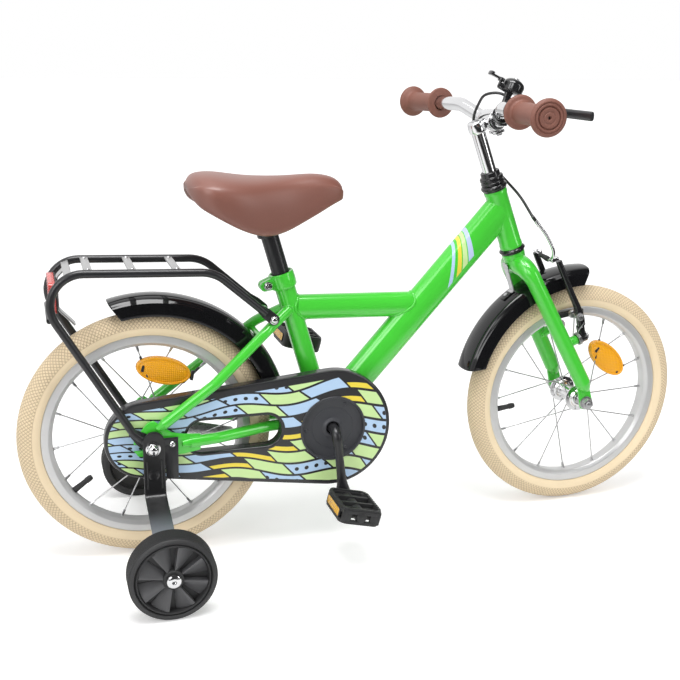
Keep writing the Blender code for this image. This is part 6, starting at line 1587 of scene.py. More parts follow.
def bell():
    on_bar, run, seat, top = bell_place()
    level = top.cross(LEFT) * -1
    pivot = seat + top.cross(LEFT) * (BELL_RADIUS + 0.0060)
    rings = []
    low = on_bar + Vector((0.0010, 0, BAR_RADIUS + 0.0012))
    high = seat - top * 0.0020 - level * 0.0030
    for step in range(6):
        share = step / 5
        size = 1.0 - 0.25 * math.sin(math.pi * share)
        way = AHEAD.lerp(level, share).normalized()
        rings.append(ring_points(low.lerp(high, share), way, LEFT, (0.0120 + 0.0040 * share) * size,
                                 (0.0090 + 0.0030 * share) * size, 32))
    dome = [(0.0, 0.0), (BELL_RADIUS - 0.0020, 0.0), (BELL_RADIUS - 0.0004, 0.0012), (BELL_RADIUS, 0.0022),
            (BELL_RADIUS, 0.0040), (BELL_RADIUS - 0.0006, 0.0046), (BELL_RADIUS - 0.0004, 0.0110)]
    dome += [(x, 0.0110 + y * 0.62) for x, y in arc((0.0, 0.0), BELL_RADIUS - 0.0004, 6, 84, 14)] + [(0.0, 0.0215)]
    foot = tube([seat - level * 0.0080 - top * 0.0010, pivot - top * 0.0010], 0.0060, 28, 0.0048)
    shapes = [clamp_ring(on_bar, run, 0.0110, BAR_RADIUS + 0.0032), skin(rings),
              turned(dome, seat - top * 0.0030, top, 64, closed=False), foot,
              rod(pivot - top * 0.0040, pivot + top * 0.0112, 0.0022, 20),
              block((0.0120, 0.0100, 0.0070), Matrix.Translation(on_bar + Vector((0.0020, 0, -0.0128))), 0.0018)]
    show("bell", shapes, bell_black, "steering", ["bell"])
    knob = [(0.0, 0.0), (0.0042, 0.0), (0.0040, 0.0008), (0.0026, 0.0014), (0.0, 0.0016)]
    show("bell_screw", [turned(knob, seat - top * 0.0030 + top * 0.0213, top, 28, closed=False)], chrome,
         "steering")
    eye = turned(softened([(0.0025, 0.0048), (0.0025, 0.0105), (0.0050, 0.0105), (0.0050, 0.0048)], 0.0005), pivot,
                 top, 32)
    thumb = [eye, block((0.0150, 0.0070, 0.0032), axes_matrix(pivot - level * 0.0110 + top * 0.0085, level, LEFT),
                        0.0008),
             block((0.0056, 0.0128, 0.0056), axes_matrix(pivot - level * 0.0190 + top * 0.0095, level, LEFT),
                   0.0014)]
    for step in range(-2, 3):
        at = pivot - level * 0.0190 + top * 0.0122 + LEFT * (step * 0.0022)
        thumb.append(block((0.0048, 0.0009, 0.0008), axes_matrix(at, level, LEFT), 0.0003, 2))
    show("bell_lever", thumb, bell_black, "bell_thumb", ["bell_lever"])


bell()
print("bell made")

# %% [markdown]
# ## Brake lever and cable
#
# The lever's bracket is a moulded body with a band round the bar, two jaws for the blade and a
# knurled barrel for the cable. The blade runs out beside the grip and ends square. The black
# housing leaves the barrel, loops over the bar and comes down to the brake's guide pipe.

# %% Make the brake lever
LEVER_MIDDLE = 0.1270
LEVER_REACH = 0.0690
LEVER_TIP = 0.2440
LEVER_PIVOT = bar_point(-1, LEVER_MIDDLE) + Vector((0.0340, 0.0060, -0.0010))


def lever_bracket():
    on_bar = bar_point(-1, LEVER_MIDDLE)
    pivot = LEVER_PIVOT
    body_at = on_bar + Vector((0.0250, 0.0050, -0.0005))
    shapes = [clamp_ring(on_bar, bar_run(-1), 0.0180, BAR_RADIUS + 0.0042)]
    rings = []
    for share, width, depth in ((0.0, 0.0170, 0.0190), (0.3, 0.0190, 0.0200), (0.7, 0.0200, 0.0200),
                                (1.0, 0.0200, 0.0196)):
        at = on_bar + Vector((0.0110, 0.0030, -0.0003)).lerp(Vector((0.0270, 0.0150, -0.0005)), share)
        rings.append([at + LEFT * (x * width) + UP * (y * depth) for x, y in rounded_box(1.0, 1.0, 0.3, 6)])
    shapes.append(skin(rings))
    for lift in (-0.0078, 0.0078):
        jaw = arc((0.0, 0.0), 0.0090, -100, 100, 16) + [(-0.0200, 0.0086), (-0.0200, -0.0090)]
        shapes.append(plate([jaw], 0.0048, pivot + UP * lift, AHEAD, LEFT, 0.0012, 3))
    pin = [(0.0, -0.0112), (0.0038, -0.0112), (0.0042, -0.0100), (0.0026, -0.0098), (0.0026, 0.0098),
           (0.0042, 0.0100), (0.0038, 0.0112), (0.0, 0.0112)]
    show("brake_lever_bracket", shapes, satin_black, "steering", ["brake_lever_bracket"])
    cable_at = pivot + Vector((-0.0060, 0.0, 0.0))
    knurled = [rod(cable_at + LEFT * 0.0050, cable_at + LEFT * 0.0150, 0.0046, 32),
               rod(cable_at + LEFT * 0.0200, cable_at + LEFT * 0.0242, 0.0036, 32)]
    for step in range(18):
        turn = 2 * math.pi * step / 18
        out = AHEAD * math.cos(turn) + UP * math.sin(turn)
        knurled.append(rod(cable_at + LEFT * 0.0146 + out * 0.0048, cable_at + LEFT * 0.0204 + out * 0.0048,
                           0.0007, 6, soft=0.0002))
    knurled.append(rod(cable_at + LEFT * 0.0145, cable_at + LEFT * 0.0205, 0.0048, 32))
    show("lever_barrel", knurled, black_plastic, "steering")
    show("lever_pin", [turned(softened(pin, 0.0004, closed=False), pivot, UP, 28, closed=False),
                       rod(body_at + Vector((-0.0100, 0.0, 0.0098)), body_at + Vector((-0.0100, 0.0, 0.0118)),
                           0.0030, 24)], zinc, "steering")


def lever_blade():
    pivot = LEVER_PIVOT
    tip = Vector((bar_point(-1, LEVER_TIP).x + LEVER_REACH, -LEVER_TIP, pivot.z))
    route = rounded_route([pivot, pivot + Vector((0.0270, -0.0300, 0.0)), tip], [0.0300], 12)
    last = (route[-1] - route[-2]).normalized()
    route = route[:-1] + [route[-1] - last * share for share in (0.0300, 0.0080, 0.0030, 0.0008, 0.0)]
    rings = []
    for index, point in enumerate(route):
        run = (route[min(index + 1, len(route) - 1)] - route[max(index - 1, 0)]).normalized()
        tall = min(0.0070 + 0.0010 * index, 0.0130)
        end = {len(route) - 1: 0.80, len(route) - 2: 0.94}.get(index, 1.0)
        wide = run.cross(UP)
        rings.append([point + UP * (x * tall * end) + wide * (y * 0.0060 * end)
                      for x, y in rounded_box(1.0, 1.0, 0.38, 5)])
    eye = turned(softened([(0.0028, -0.0040), (0.0028, 0.0040), (0.0072, 0.0040), (0.0072, -0.0040)], 0.0008),
                 pivot, UP, 40)
    nipple = rod(pivot + Vector((0.0045, 0.0118, -0.0042)), pivot + Vector((0.0045, 0.0118, 0.0042)), 0.0034, 20)
    horn = tube([pivot, pivot + Vector((0.0045, 0.0118, 0.0))], 0.0040, 20, 0.0036)
    return show("brake_lever", [skin(rings), eye, nipple, horn], satin_black, "lever", ["brake_lever"])


lever_bracket()
lever_blade()
print("lever pivot:", [round(number, 4) for number in LEVER_PIVOT])

# %% [markdown]
# ## Rim brake
#
# Two cast arms stand on the fork's bosses and reach up past the tyre. Each carries a long rubber
# pad on a threaded post with dished washers, and a coil spring round its boss pulls it open. The
# bent guide pipe sits on the near arm, a ribbed rubber boot keeps the wire clean, and the wire is
# pinched by a bolt on the far arm.

# %% Cast the brake arms
BRAKE_ARM_LENGTH = 0.1420
BRAKE_BOW = 0.0050
BRAKE_TOP_BACK = 0.0045
PAD_THICK = 0.0085
PAD_BACK = RIM_WIDTH / 2 + 0.0015 + PAD_THICK
PAD_ABOVE_HUB = math.sqrt((RIM_RADIUS - 0.0075) ** 2 - (BRAKE_PIVOT_AHEAD - FORK_OFFSET) ** 2)
PAD_UP = (FRONT_HUB - STEER_FOOT).dot(STEER_UP) + PAD_ABOVE_HUB
PAD_RUN = (STEER_AHEAD * PAD_ABOVE_HUB - STEER_UP * (BRAKE_PIVOT_AHEAD - FORK_OFFSET)).normalized()


def brake_arm(name, side, body):
    pivot = on_steering(BRAKE_PIVOT_UP, BRAKE_PIVOT_AHEAD, side * BRAKE_HALF)
    hub = [(0.0043, -0.0110), (0.0094, -0.0110), (0.0094, -0.0050), (0.0088, -0.0042), (0.0088, 0.0060),
           (0.0043, 0.0060)]
    bowed = BRAKE_PIVOT_AHEAD + BRAKE_BOW
    stations = ((BRAKE_PIVOT_UP + 0.0020, BRAKE_PIVOT_AHEAD, 0.0, 0.0156, 0.0110),
                (BRAKE_PIVOT_UP + 0.0200, BRAKE_PIVOT_AHEAD + 0.0014, 0.0004, 0.0148, 0.0116),
                (PAD_UP - 0.0180, bowed - 0.0014, 0.0008, 0.0138, 0.0122),
                (PAD_UP - 0.0060, bowed, 0.0010, 0.0136, 0.0128), (PAD_UP + 0.0060, bowed, 0.0010, 0.0132, 0.0124),
                (PAD_UP + 0.0160, bowed, 0.0010, 0.0120, 0.0105),
                (PAD_UP + 0.0420, bowed - 0.0036, 0.0007, 0.0104, 0.0099),
                (BRAKE_PIVOT_UP + BRAKE_ARM_LENGTH - 0.0080, BRAKE_PIVOT_AHEAD - 0.0040, 0.0, 0.0082, 0.0096),
                (BRAKE_PIVOT_UP + BRAKE_ARM_LENGTH, BRAKE_PIVOT_AHEAD - BRAKE_TOP_BACK, 0.0, 0.0075, 0.0095))
    rings = []
    for up, ahead, out, width, depth in stations:
        at = on_steering(up, ahead, side * (BRAKE_HALF + out))
        rings.append([at + LEFT * (x * width) + STEER_AHEAD * (y * depth) for x, y in rounded_box(1.0, 1.0, 0.34, 5)])
    shapes = [turned(softened(hub, 0.0008), pivot, STEER_AHEAD, 48), skin(rings)]
    show(name, shapes, gloss_black, body, [name])
    post_at = on_steering(PAD_UP, BRAKE_PIVOT_AHEAD + 0.0010)
    steel = [rod(post_at + LEFT * (side * (PAD_BACK + 0.0020)), post_at + LEFT * (side * 0.0510), 0.0030, 24),
             turned([(0.0032, 0.0), (0.0075, 0.0), (0.0075, 0.0012), (0.0056, 0.0042), (0.0032, 0.0046)],
                    post_at + LEFT * (side * (PAD_BACK + 0.0006)), LEFT * side, 36),
             turned([(0.0032, 0.0), (0.0050, 0.0), (0.0072, 0.0024), (0.0072, 0.0040), (0.0032, 0.0040)],
                    post_at + LEFT * (side * 0.0462), LEFT * side, 36)]
    nut = post_at + LEFT * (side * 0.0500)
    steel.append(hexagon(nut, nut + LEFT * (side * 0.0044), 0.0058))
    show(name + "_fixings", steel, zinc, body)


def brake_pad(name, side, body):
    at = on_steering(PAD_UP, BRAKE_PIVOT_AHEAD, side * (PAD_BACK - PAD_THICK / 2))
    place = axes_matrix(at, PAD_RUN, LEFT)
    pieces = [block((0.0460, 0.0050, 0.0085), place @ Matrix.Translation((0.0, side * 0.00175, 0.0)), 0.0016, 4)]
    for step, length in ((-0.0168, 0.0106), (-0.0048, 0.0112), (0.0070, 0.0102), (0.0178, 0.0092)):
        pieces.append(block((length, 0.0045, 0.0084), place @ Matrix.Translation((step, side * -0.0020, 0.0)),
                            0.0007, 2))
    return show(name, pieces, pad_rubber, body, [name])


def return_spring(name, side, body):
    """The coil lies round the boss behind the arm, and its long leg runs up beside the arm."""
    start = on_steering(BRAKE_PIVOT_UP, BRAKE_PIVOT_AHEAD - 0.0105, side * BRAKE_HALF)
    coil = spring(start - STEER_AHEAD * 0.0002, start + STEER_AHEAD * 0.0056, 0.0104, 0.0008, 3.0)
    foot = start + LEFT * (side * 0.0104)
    leg = tube(rounded_route([foot, foot + STEER_UP * 0.0220 + LEFT * (side * 0.0006),
                              on_steering(PAD_UP - 0.0180, BRAKE_PIVOT_AHEAD - 0.0030, side * (BRAKE_HALF + 0.0100)),
                              on_steering(PAD_UP - 0.0130, BRAKE_PIVOT_AHEAD + 0.0060, side * (BRAKE_HALF + 0.0088))],
                             [0.0100, 0.0040], 6), 0.0008, 10)
    return show(name, [coil, leg], zinc, body)


for side, word in ((-1, "right"), (1, "left")):
    body = "brake_" + word
    brake_arm("brake_arm_" + word, side, body)
    brake_pad("brake_pad_" + word, side, body)
    return_spring("brake_spring_" + word, side, body)
print("pad height on the rim:", round(PAD_UP, 4))

# %% Bend the noodle and the cable
ARM_TOP = on_steering(BRAKE_PIVOT_UP + BRAKE_ARM_LENGTH, BRAKE_PIVOT_AHEAD - BRAKE_TOP_BACK, -BRAKE_HALF)
NOODLE_BEND = ((0.0720, -0.0190, 0.0000), (0.0470, -0.0110, -0.0040), (0.0210, -0.0070, -0.0060),
               (0.0080, -0.0090, -0.0040), (0.0010, -0.0115, 0.0060), (0.0010, -0.0115, 0.0150))
CABLE_BEND = (
    (-0.1318, -0.0660, 0.5033), (-0.1378, -0.0460, 0.5093), (-0.1528, -0.0310, 0.5193),
    (-0.1688, -0.0140, 0.5163), (-0.1700, 0.0060, 0.5020), (-0.1690, 0.0240, 0.4810),
    (-0.1630, 0.0320, 0.4570), (-0.1500, 0.0310, 0.4310), (-0.1310, 0.0240, 0.4020),
    (-0.1100, 0.0120, 0.3780), (-0.0930, -0.0040, 0.3550),
)


def noodle_point(up, ahead, side):
    return ARM_TOP + STEER_UP * (0.0050 + up) + STEER_AHEAD * ahead + LEFT * side


def noodle():
    pipe = [tube(smooth_route([noodle_point(*place) for place in NOODLE_BEND], 8), 0.0026, 24),
            rod(noodle_point(0.0730, -0.0193, 0.0002), noodle_point(0.0640, -0.0165, -0.0012), 0.0032, 28),
            block((0.0130, 0.0110, 0.0070), axes_matrix(noodle_point(0.0010, -0.0065, 0.0010), STEER_AHEAD, LEFT),
                  0.0014),
            rod(noodle_point(0.0038, -0.0110, 0.0400), noodle_point(0.0060, -0.0090, 0.0680), 0.0009, 10)]
    show("brake_noodle", pipe, chrome, "brake_right", ["brake_noodle"])
    start = noodle_point(0.0010, -0.0115, 0.0120)
    end = noodle_point(0.0040, -0.0110, 0.0420)
    length = (end - start).length
    profile = [(0.0, 0.0), (0.0044, 0.0)]
    for step in range(9):
        base = 0.0030 + step * 0.0028
        wide = 0.0046 - 0.0014 * step / 8
        profile += [(wide - 0.0009, base), (wide, base + 0.0009), (wide - 0.0003, base + 0.0017)]
    profile += [(0.0026, length - 0.0010), (0.0016, length), (0.0, length)]
    show("noodle_boot", [turned(profile, start, end - start, 32, closed=False)], pad_rubber, "brake_right")
    far = on_steering(BRAKE_PIVOT_UP + BRAKE_ARM_LENGTH - 0.0020, BRAKE_PIVOT_AHEAD - BRAKE_TOP_BACK, BRAKE_HALF)
    pinch = [rod(far + STEER_AHEAD * 0.0040, far + STEER_AHEAD * 0.0058, 0.0060, 32),
             hexagon(far + STEER_AHEAD * 0.0056, far + STEER_AHEAD * 0.0100, 0.0050)]
    show("pinch_bolt", pinch, zinc, "brake_left")


def brake_cable():
    start = LEVER_PIVOT + Vector((-0.0060, 0.0246 + FIT, 0))
    end = noodle_point(*NOODLE_BEND[0])
    last = (noodle_point(*NOODLE_BEND[0]) - noodle_point(*NOODLE_BEND[1])).normalized()
    middle = [STEER_FOOT + Vector(place) for place in CABLE_BEND]
    route = smooth_route([start, start + LEFT * 0.0100] + middle + [end + last * 0.0120, end + last * 0.0016], 8)
    show("brake_cable", [tube(route, 0.0022, 24)], cable_black, "steering", ["brake_cable"])
    length = sum((b - a).length for a, b in zip(route, route[1:]))
    print("cable housing:", round(length, 3), "m")
    ends = [rod(route[-1] - last * 0.0004, route[-1] + last * 0.0110, 0.0029, 28),
            rod(route[0], route[0] + LEFT * 0.0090, 0.0029, 28)]
    show("cable_ferrules", ends, zinc, "steering")


noodle()
brake_cable()

# %% [markdown]
# ## Mudguards
#
# A mudguard is rolled sheet with a crowned top and deep sides. Its cross-section is spun round
# the guard's own centre, cut off at a slant so that the sides stop short of the crown, and given
# its wall by a Solidify modifier. The edge is rolled in a little. Gloss black shows its shape by
# reflections, so the section has enough points to be smooth.

# %% Roll the mudguards
def guard_section():
    half = 0.0280
    crown = GUARD_RADIUS
    corners = [(0.1850, -half), (crown - 0.0090, -half + 0.0010), (crown - 0.0025, -half * 0.68), (crown, 0.0),
               (crown - 0.0025, half * 0.68), (crown - 0.0090, half - 0.0010), (0.1850, half)]
    route = smooth_route([Vector((x, y, 0.0)) for x, y in corners[1:-1]], 7)
    inner = [(corners[0][0], corners[0][1]), (corners[0][0] + 0.0060, corners[0][1] + 0.0001)]
    outer = [(corners[-1][0] + 0.0060, corners[-1][1] - 0.0001), (corners[-1][0], corners[-1][1])]
    return inner + [(point.x, point.y) for point in route] + outer


def guard(name, centre, start, end, body, cuts):
    shape = bmesh.new()
    verts = [shape.verts.new(centre + direction(start) * radius + LEFT * along) for radius, along in guard_section()]
    edges = [shape.edges.new(pair) for pair in zip(verts, verts[1:])]
    bmesh.ops.spin(shape, geom=verts + edges, cent=centre, axis=(0, 1, 0), angle=-math.radians(end - start),
                   steps=72)
    for angle, end_side in cuts:
        out = direction(angle)
        onward = out.cross(LEFT) * end_side
        facing = onward * math.cos(math.radians(20)) - out * math.sin(math.radians(20))
        bmesh.ops.bisect_plane(shape, geom=list(shape.verts) + list(shape.edges) + list(shape.faces),
                               plane_co=centre + out * (GUARD_RADIUS + 0.0020), plane_no=facing, clear_outer=True)
    bmesh.ops.recalc_face_normals(shape, faces=shape.faces)
    top = max(shape.faces, key=lambda face: face.calc_center_median().z)
    if top.normal.z < 0:
        bmesh.ops.reverse_faces(shape, faces=shape.faces)
    piece = show(name, [shape], guard_black, body, [name], 35, normals=False)
    modify(piece, "SOLIDIFY", "wall", thickness=0.0018, offset=0.0)
    modify(piece, "BEVEL", "edge", width=0.0006, segments=2, limit_method="ANGLE", angle_limit=math.radians(50))
    return piece


guard("rear_mudguard", GUARD_REAR, 10.0, 106.0, "frame", [(106.0, 1)])
guard("front_mudguard", GUARD_FRONT, 88.0, 167.0, "steering", [(167.0, 1), (88.0, -1)])


# %% Hang the mudguards
def guard_fixings():
    up = (GUARD_FRONT - STEER_FOOT).dot(STEER_UP)
    ahead = (GUARD_FRONT - STEER_FOOT).dot(STEER_AHEAD)
    reach = GUARD_RADIUS + 0.0009 + FIT + 0.0010
    corners = [Vector((-0.0192, CROWN_TOP - 0.0140, 0.0)), Vector((-0.0205, CROWN_TOP - 0.0320, 0.0))]
    arch = [Vector((place, up + math.sqrt(reach ** 2 - (place - ahead) ** 2), 0.0))
            for place in (-0.0200, -0.0260, -0.0320, -0.0420)]
    path = rounded_route([corners[0], arch[0], arch[1], arch[3]], [0.0040, 0.0100], 6)
    bend = next(index for index, point in enumerate(path) if point.x < -0.0240)
    bracket = strip([(point.x, point.y) for point in path[:bend + 1]], 0.0160, 0.0020, STEER_FOOT, STEER_AHEAD,
                    STEER_UP)
    foot = strip([(point.x, point.y) for point in path[bend:]], 0.0160, 0.0020, STEER_FOOT, STEER_AHEAD, STEER_UP)
    show("mudguard_foot", [foot], guard_black, "steering")
    rivet = on_steering(up + math.sqrt(reach ** 2 - (-0.0330 - ahead) ** 2), -0.0330)
    show("front_mudguard_bracket",
         [bracket, rod(rivet, rivet + (rivet - GUARD_FRONT).normalized() * 0.0022, 0.0036, 28)], zinc, "steering",
         ["front_mudguard_bracket"])
    bolts = []
    for angle in (39.0, 41.0):
        out = direction(angle)
        bolts.append(rod(GUARD_REAR + out * (GUARD_RADIUS - 0.0040), GUARD_REAR + out * (GUARD_RADIUS - 0.0010),
                         0.0045, 24))
    show("mudguard_screws", bolts[:1], zinc, "frame")


guard_fixings()
print("guards made")

# %% [markdown]
# ## Carrier and rear reflector
#
# Two bent tubes run from the seat stays' lugs over the wheel, turn down in a wide bend and stand
# on the axle. Their ends are pressed flat. A cross bar, three flat slats with two rivets each and
# the reflector's bent strip tie them together.

# %% Bend the carrier
CARRIER_HALF = 0.0560
CARRIER_TUBE = 0.0060
CARRIER_LEG = 0.0460
CARRIER_END = AXLE_CLAMP = 0.0621 + 0.00125


def rail_height(ahead):
    return 0.4538 - 0.0380 * ahead


def rail_bend(angle):
    centre = Vector((REAR_HUB.x - 0.0930, 0.0, rail_height(-0.0930) - CARRIER_LEG))
    return centre + direction(angle) * CARRIER_LEG


def flat_end(at, onward, length, width, hole):
    """The pressed end of a tube, seen along the tube's side, with a hole for its bolt."""
    run = Vector((onward.x, 0.0, onward.z)).normalized()
    across = run.cross(LEFT)
    outline = arc((0.0, 0.0), width / 2, 90, 270, 20) + [(length * 0.5, -width / 2), (length, -CARRIER_TUBE),
                                                          (length, CARRIER_TUBE), (length * 0.5, width / 2)]
    return plate([outline, circle(hole, 28)], 0.0025, at, run, across, 0.0006, 2)


def carrier():
    shapes = []
    for side in (-1, 1):
        eye = carrier_lug_point(side, 0.03955)
        foot = REAR_HUB + LEFT * (side * CARRIER_END)
        knee = foot + Vector((-0.0270, 0.0, 0.0240))
        front = from_rear(0.1000, side * CARRIER_HALF, 0.0)
        front.z = rail_height(0.1000)
        back = from_rear(-0.1680, side * CARRIER_HALF, 0.0)
        back.z = rail_height(-0.1680)
        start = eye + (front - eye).normalized() * 0.0180
        path = rounded_route([start, front, back, knee, foot], [0.0550, CARRIER_LEG, 0.0200], 14)
        shapes.append(tube(path[:-1] + [foot + (knee - foot).normalized() * 0.0160], CARRIER_TUBE, 28))
        shapes.append(flat_end(eye, front - eye, 0.0300, 0.0170, 0.0028))
        shapes.append(flat_end(foot, knee - foot, 0.0400, 0.0220, AXLE_RADIUS + FIT))
    tie = rail_bend(205)
    shapes.append(rod(tie - LEFT * CARRIER_HALF, tie + LEFT * CARRIER_HALF, 0.0040, 28))
    show("rear_carrier", shapes, satin_black, "frame", ["rear_carrier"])


def carrier_slats():
    heads = []
    for name, ahead in (("rear", -0.0780), ("middle", -0.0165), ("front", 0.0470)):
        middle = from_rear(ahead, 0.0, 0.0)
        middle.z = rail_height(ahead) + 0.0025
        along = Vector((1.0, 0.0, -0.0380)).normalized()
        slat = block((0.0120, 2 * CARRIER_HALF - 2 * CARRIER_TUBE - 0.0006, 0.0030), axes_matrix(middle, along, LEFT),
                     0.0010)
        show("carrier_slat_" + name, [slat], alloy, "frame", ["carrier_slat_" + name])
        for side in (-1, 1):
            at = middle + LEFT * (side * 0.0440) + along.cross(LEFT) * 0.0014
            heads.append(turned([(0.0, 0.0022), (0.0016, 0.0020), (0.0028, 0.0010), (0.0032, -0.0004)], at,
                                along.cross(LEFT), 20, closed=False))
    show("slat_rivets", heads, zinc, "frame")


def lug_bolts():
    for side, word in ((-1, "right"), (1, "left")):
        eye = carrier_lug_point(side, 0.03955)
        out = LEFT * side
        head = [(0.0, 0.0048), (0.0024, 0.0046), (0.0046, 0.0034), (0.0056, 0.0014), (0.0056, 0.0)]
        show("carrier_bolt_" + word, [turned(head, eye + out * 0.0017, out, 32, closed=False),
                                      rod(eye + out * 0.0010, eye + out * 0.0019, 0.0070, 32)], chrome, "frame")


carrier()
carrier_slats()
lug_bolts()
print("rail height over the axle:", rail_height(0.0))

# %% [markdown]
# The rear reflector is a red moulded lens on a bent alloy strip. Its back housing is black.

# %% Fit the rear reflector
REFLECTOR_PLANE = -0.1200
LENS_HEIGHT = rail_height(REFLECTOR_PLANE) - 0.0380


def reflector():
    floor = Vector((REAR_HUB.x, 0.0, 0.0))
    top = rail_bend(112) - floor
    path = rounded_route([Vector((x, z, 0.0)) for x, z in (
        (top.x + 0.0100, top.z + 0.0020), (top.x, top.z), (REFLECTOR_PLANE, LENS_HEIGHT + 0.0240),
        (REFLECTOR_PLANE, LENS_HEIGHT - 0.0240), (REFLECTOR_PLANE + 0.0220, LENS_HEIGHT - 0.0480))],
        [0.0040, 0.0090, 0.0090], 6)
    bracket = strip([(point.x, point.y) for point in path], 0.0220, 0.0025, floor, AHEAD, UP)
    lean = Vector((0.93, 0.0, 0.3)).normalized()
    cross = block((0.0110, 0.1022, 0.0028),
                  axes_matrix(floor + Vector((top.x + 0.0040, 0.0, top.z + 0.0010)), lean, LEFT), 0.0010)
    show("reflector_bracket", [bracket, cross], alloy, "frame", ["reflector_bracket"])
    middle = floor + Vector((REFLECTOR_PLANE - 0.00125 - FIT - 0.0040, 0.0, LENS_HEIGHT))
    face = plate([rounded_box(0.0850, 0.0450, 0.0060, 8)], 0.0104, middle - AHEAD * 0.0026, LEFT, UP, 0.0016, 4)
    show("rear_reflector", [face], red_lens, "frame", ["rear_reflector"])
    rim_plate = plate([rounded_box(0.0860, 0.0460, 0.0064, 8)], 0.0016, middle + AHEAD * 0.0032, LEFT, UP, 0.0005, 2)
    show("reflector_back", [rim_plate], black_plastic, "frame")


reflector()
print("rear reflector at", round(LENS_HEIGHT, 3))

# %% [markdown]
# ## Axles and coaster brake arm
#
# Every axle is a threaded spindle with bearing cones, washers and nuts. The rear one also clamps
# the stabilisers and ends in domed nuts. The coaster brake's arm is a pressed strap under the
# left chain stay.

# %% Turn the axles
def threads(start, end, radius, pitch):
    profile = [(0.0, 0.0)]
    length = (end - start).length
    count = int(length / pitch)
    for step in range(count):
        profile += [(radius - 0.0005, step * pitch), (radius, (step + 0.5) * pitch)]
    profile += [(radius - 0.0008, length), (0.0, length)]
    return turned(profile, start, end - start, 24, closed=False)


def front_axle():
    shapes = [rod(FRONT_HUB - LEFT * 0.0560, FRONT_HUB + LEFT * 0.0560, AXLE_RADIUS - 0.0005, 28)]
    for side in (-1, 1):
        out = LEFT * side
        shapes.append(rod(FRONT_HUB + out * 0.0346, FRONT_HUB + out * 0.0497, 0.0085, 36))
        shapes.append(rod(FRONT_HUB + out * 0.0550, FRONT_HUB + out * 0.0570, 0.0115, 40))
        shapes.append(hexagon(FRONT_HUB + out * 0.0570, FRONT_HUB + out * 0.0645, 0.0092))
        shapes.append(threads(FRONT_HUB + out * 0.0550, FRONT_HUB + out * 0.0670, AXLE_RADIUS - 0.0003, 0.0010))
    show("front_axle", shapes, zinc, "steering", ["front_axle"])


def rear_axle():
    shapes = [rod(REAR_HUB - LEFT * 0.0700, REAR_HUB + LEFT * 0.0700, AXLE_RADIUS - 0.0005, 28)]
    for side, cone in ((-1, 0.0456), (1, 0.0438)):
        out = LEFT * side
        shapes.append(rod(REAR_HUB + out * 0.0340, REAR_HUB + out * cone, 0.0085, 36))
        shapes.append(rod(REAR_HUB + out * 0.0707, REAR_HUB + out * 0.0725, 0.0112, 40))
        dome = [(0.0, 0.0120), (0.0040, 0.0114), (0.0066, 0.0094), (0.0078, 0.0064)]
        shapes.append(hexagon(REAR_HUB + out * 0.0722, REAR_HUB + out * 0.0770, 0.0094))
        shapes.append(turned(dome + [(0.0080, 0.0040), (0.0080, 0.0)], REAR_HUB + out * 0.0707, out, 40, closed=False))
    show("rear_axle", shapes, chrome, "frame", ["rear_axle"])


def coaster_arm():
    outline = arc((0.0, 0.0), 0.0150, 60, 300, 32) + arc((0.1350, -0.0260), 0.0080, -90, 90, 16)
    at = REAR_HUB + LEFT * 0.0420
    raised = rod(at + Vector((0.1350, -0.0040, -0.0260)), at + Vector((0.1350, 0.0044, -0.0260)), 0.0040, 24)
    show("coaster_brake_arm", [plate([outline, circle(AXLE_RADIUS + FIT, 32)], 0.0030, at, AHEAD, UP, 0.0008, 2),
                               raised], zinc, "frame", ["coaster_brake_arm"])


front_axle()
rear_axle()
coaster_arm()
print("axles turned")

# %% [markdown]
# ## Stabilisers
#
# A stepped steel arm hangs from each end of the rear axle, held from turning by a small lock
# plate and its bolt, and carries a stub spindle with a cap nut. The wheel is one moulding: a
# ribbed tread, a bead ring, a recessed floor and eight ramps round a hub, like a fan.

# %% Form the stabiliser arms
LOCK_AT = 0.0649 + 0.0010
ARM_AT = 0.0672 + 0.00175
WHEEL_SIDE = 0.2140
OUTRIGGER_RADIUS = 0.0615
OUTRIGGER_HALF = 0.0185


def outrigger_at(side):
    return Vector((REAR_HUB.x + 0.0030, side * WHEEL_SIDE, OUTRIGGER_RADIUS))


def stabiliser_lock(name, side):
    outline = (arc((0.0, 0.0), 0.0135, 90, 250, 24)
               + [(0.0170, -0.0140), (0.0190, -0.0520), (0.0370, -0.0520), (0.0380, 0.0135)])
    at = REAR_HUB + LEFT * (side * LOCK_AT)
    holes = [circle(AXLE_RADIUS + FIT, 32), circle(0.0030, 24, (0.0290, 0.0035))]
    show(name, [plate([outline] + holes, 0.0020, at, AHEAD, UP, 0.0006, 2)], satin_black, "frame", [name])
    bolt = at + AHEAD * 0.0290 + UP * 0.0035
    out = LEFT * side
    head = [(0.0, 0.0044), (0.0018, 0.0043), (0.0040, 0.0032), (0.0050, 0.0012), (0.0050, 0.0)]
    show(name + "_bolt", [turned(head, bolt + out * 0.0010, out, 32, closed=False),
                          rod(bolt - out * 0.0060, bolt + out * 0.0012, 0.0026, 20)], chrome, "frame")


def arm_path(side):
    corners = [Vector((side * ARM_AT, 0.2185, 0.0)), Vector((side * ARM_AT, 0.1170, 0.0)),
               Vector((side * 0.19215, 0.0820, 0.0)), Vector((side * 0.19215, 0.0465, 0.0))]
    return rounded_route(corners, [0.0100, 0.0100], 8)


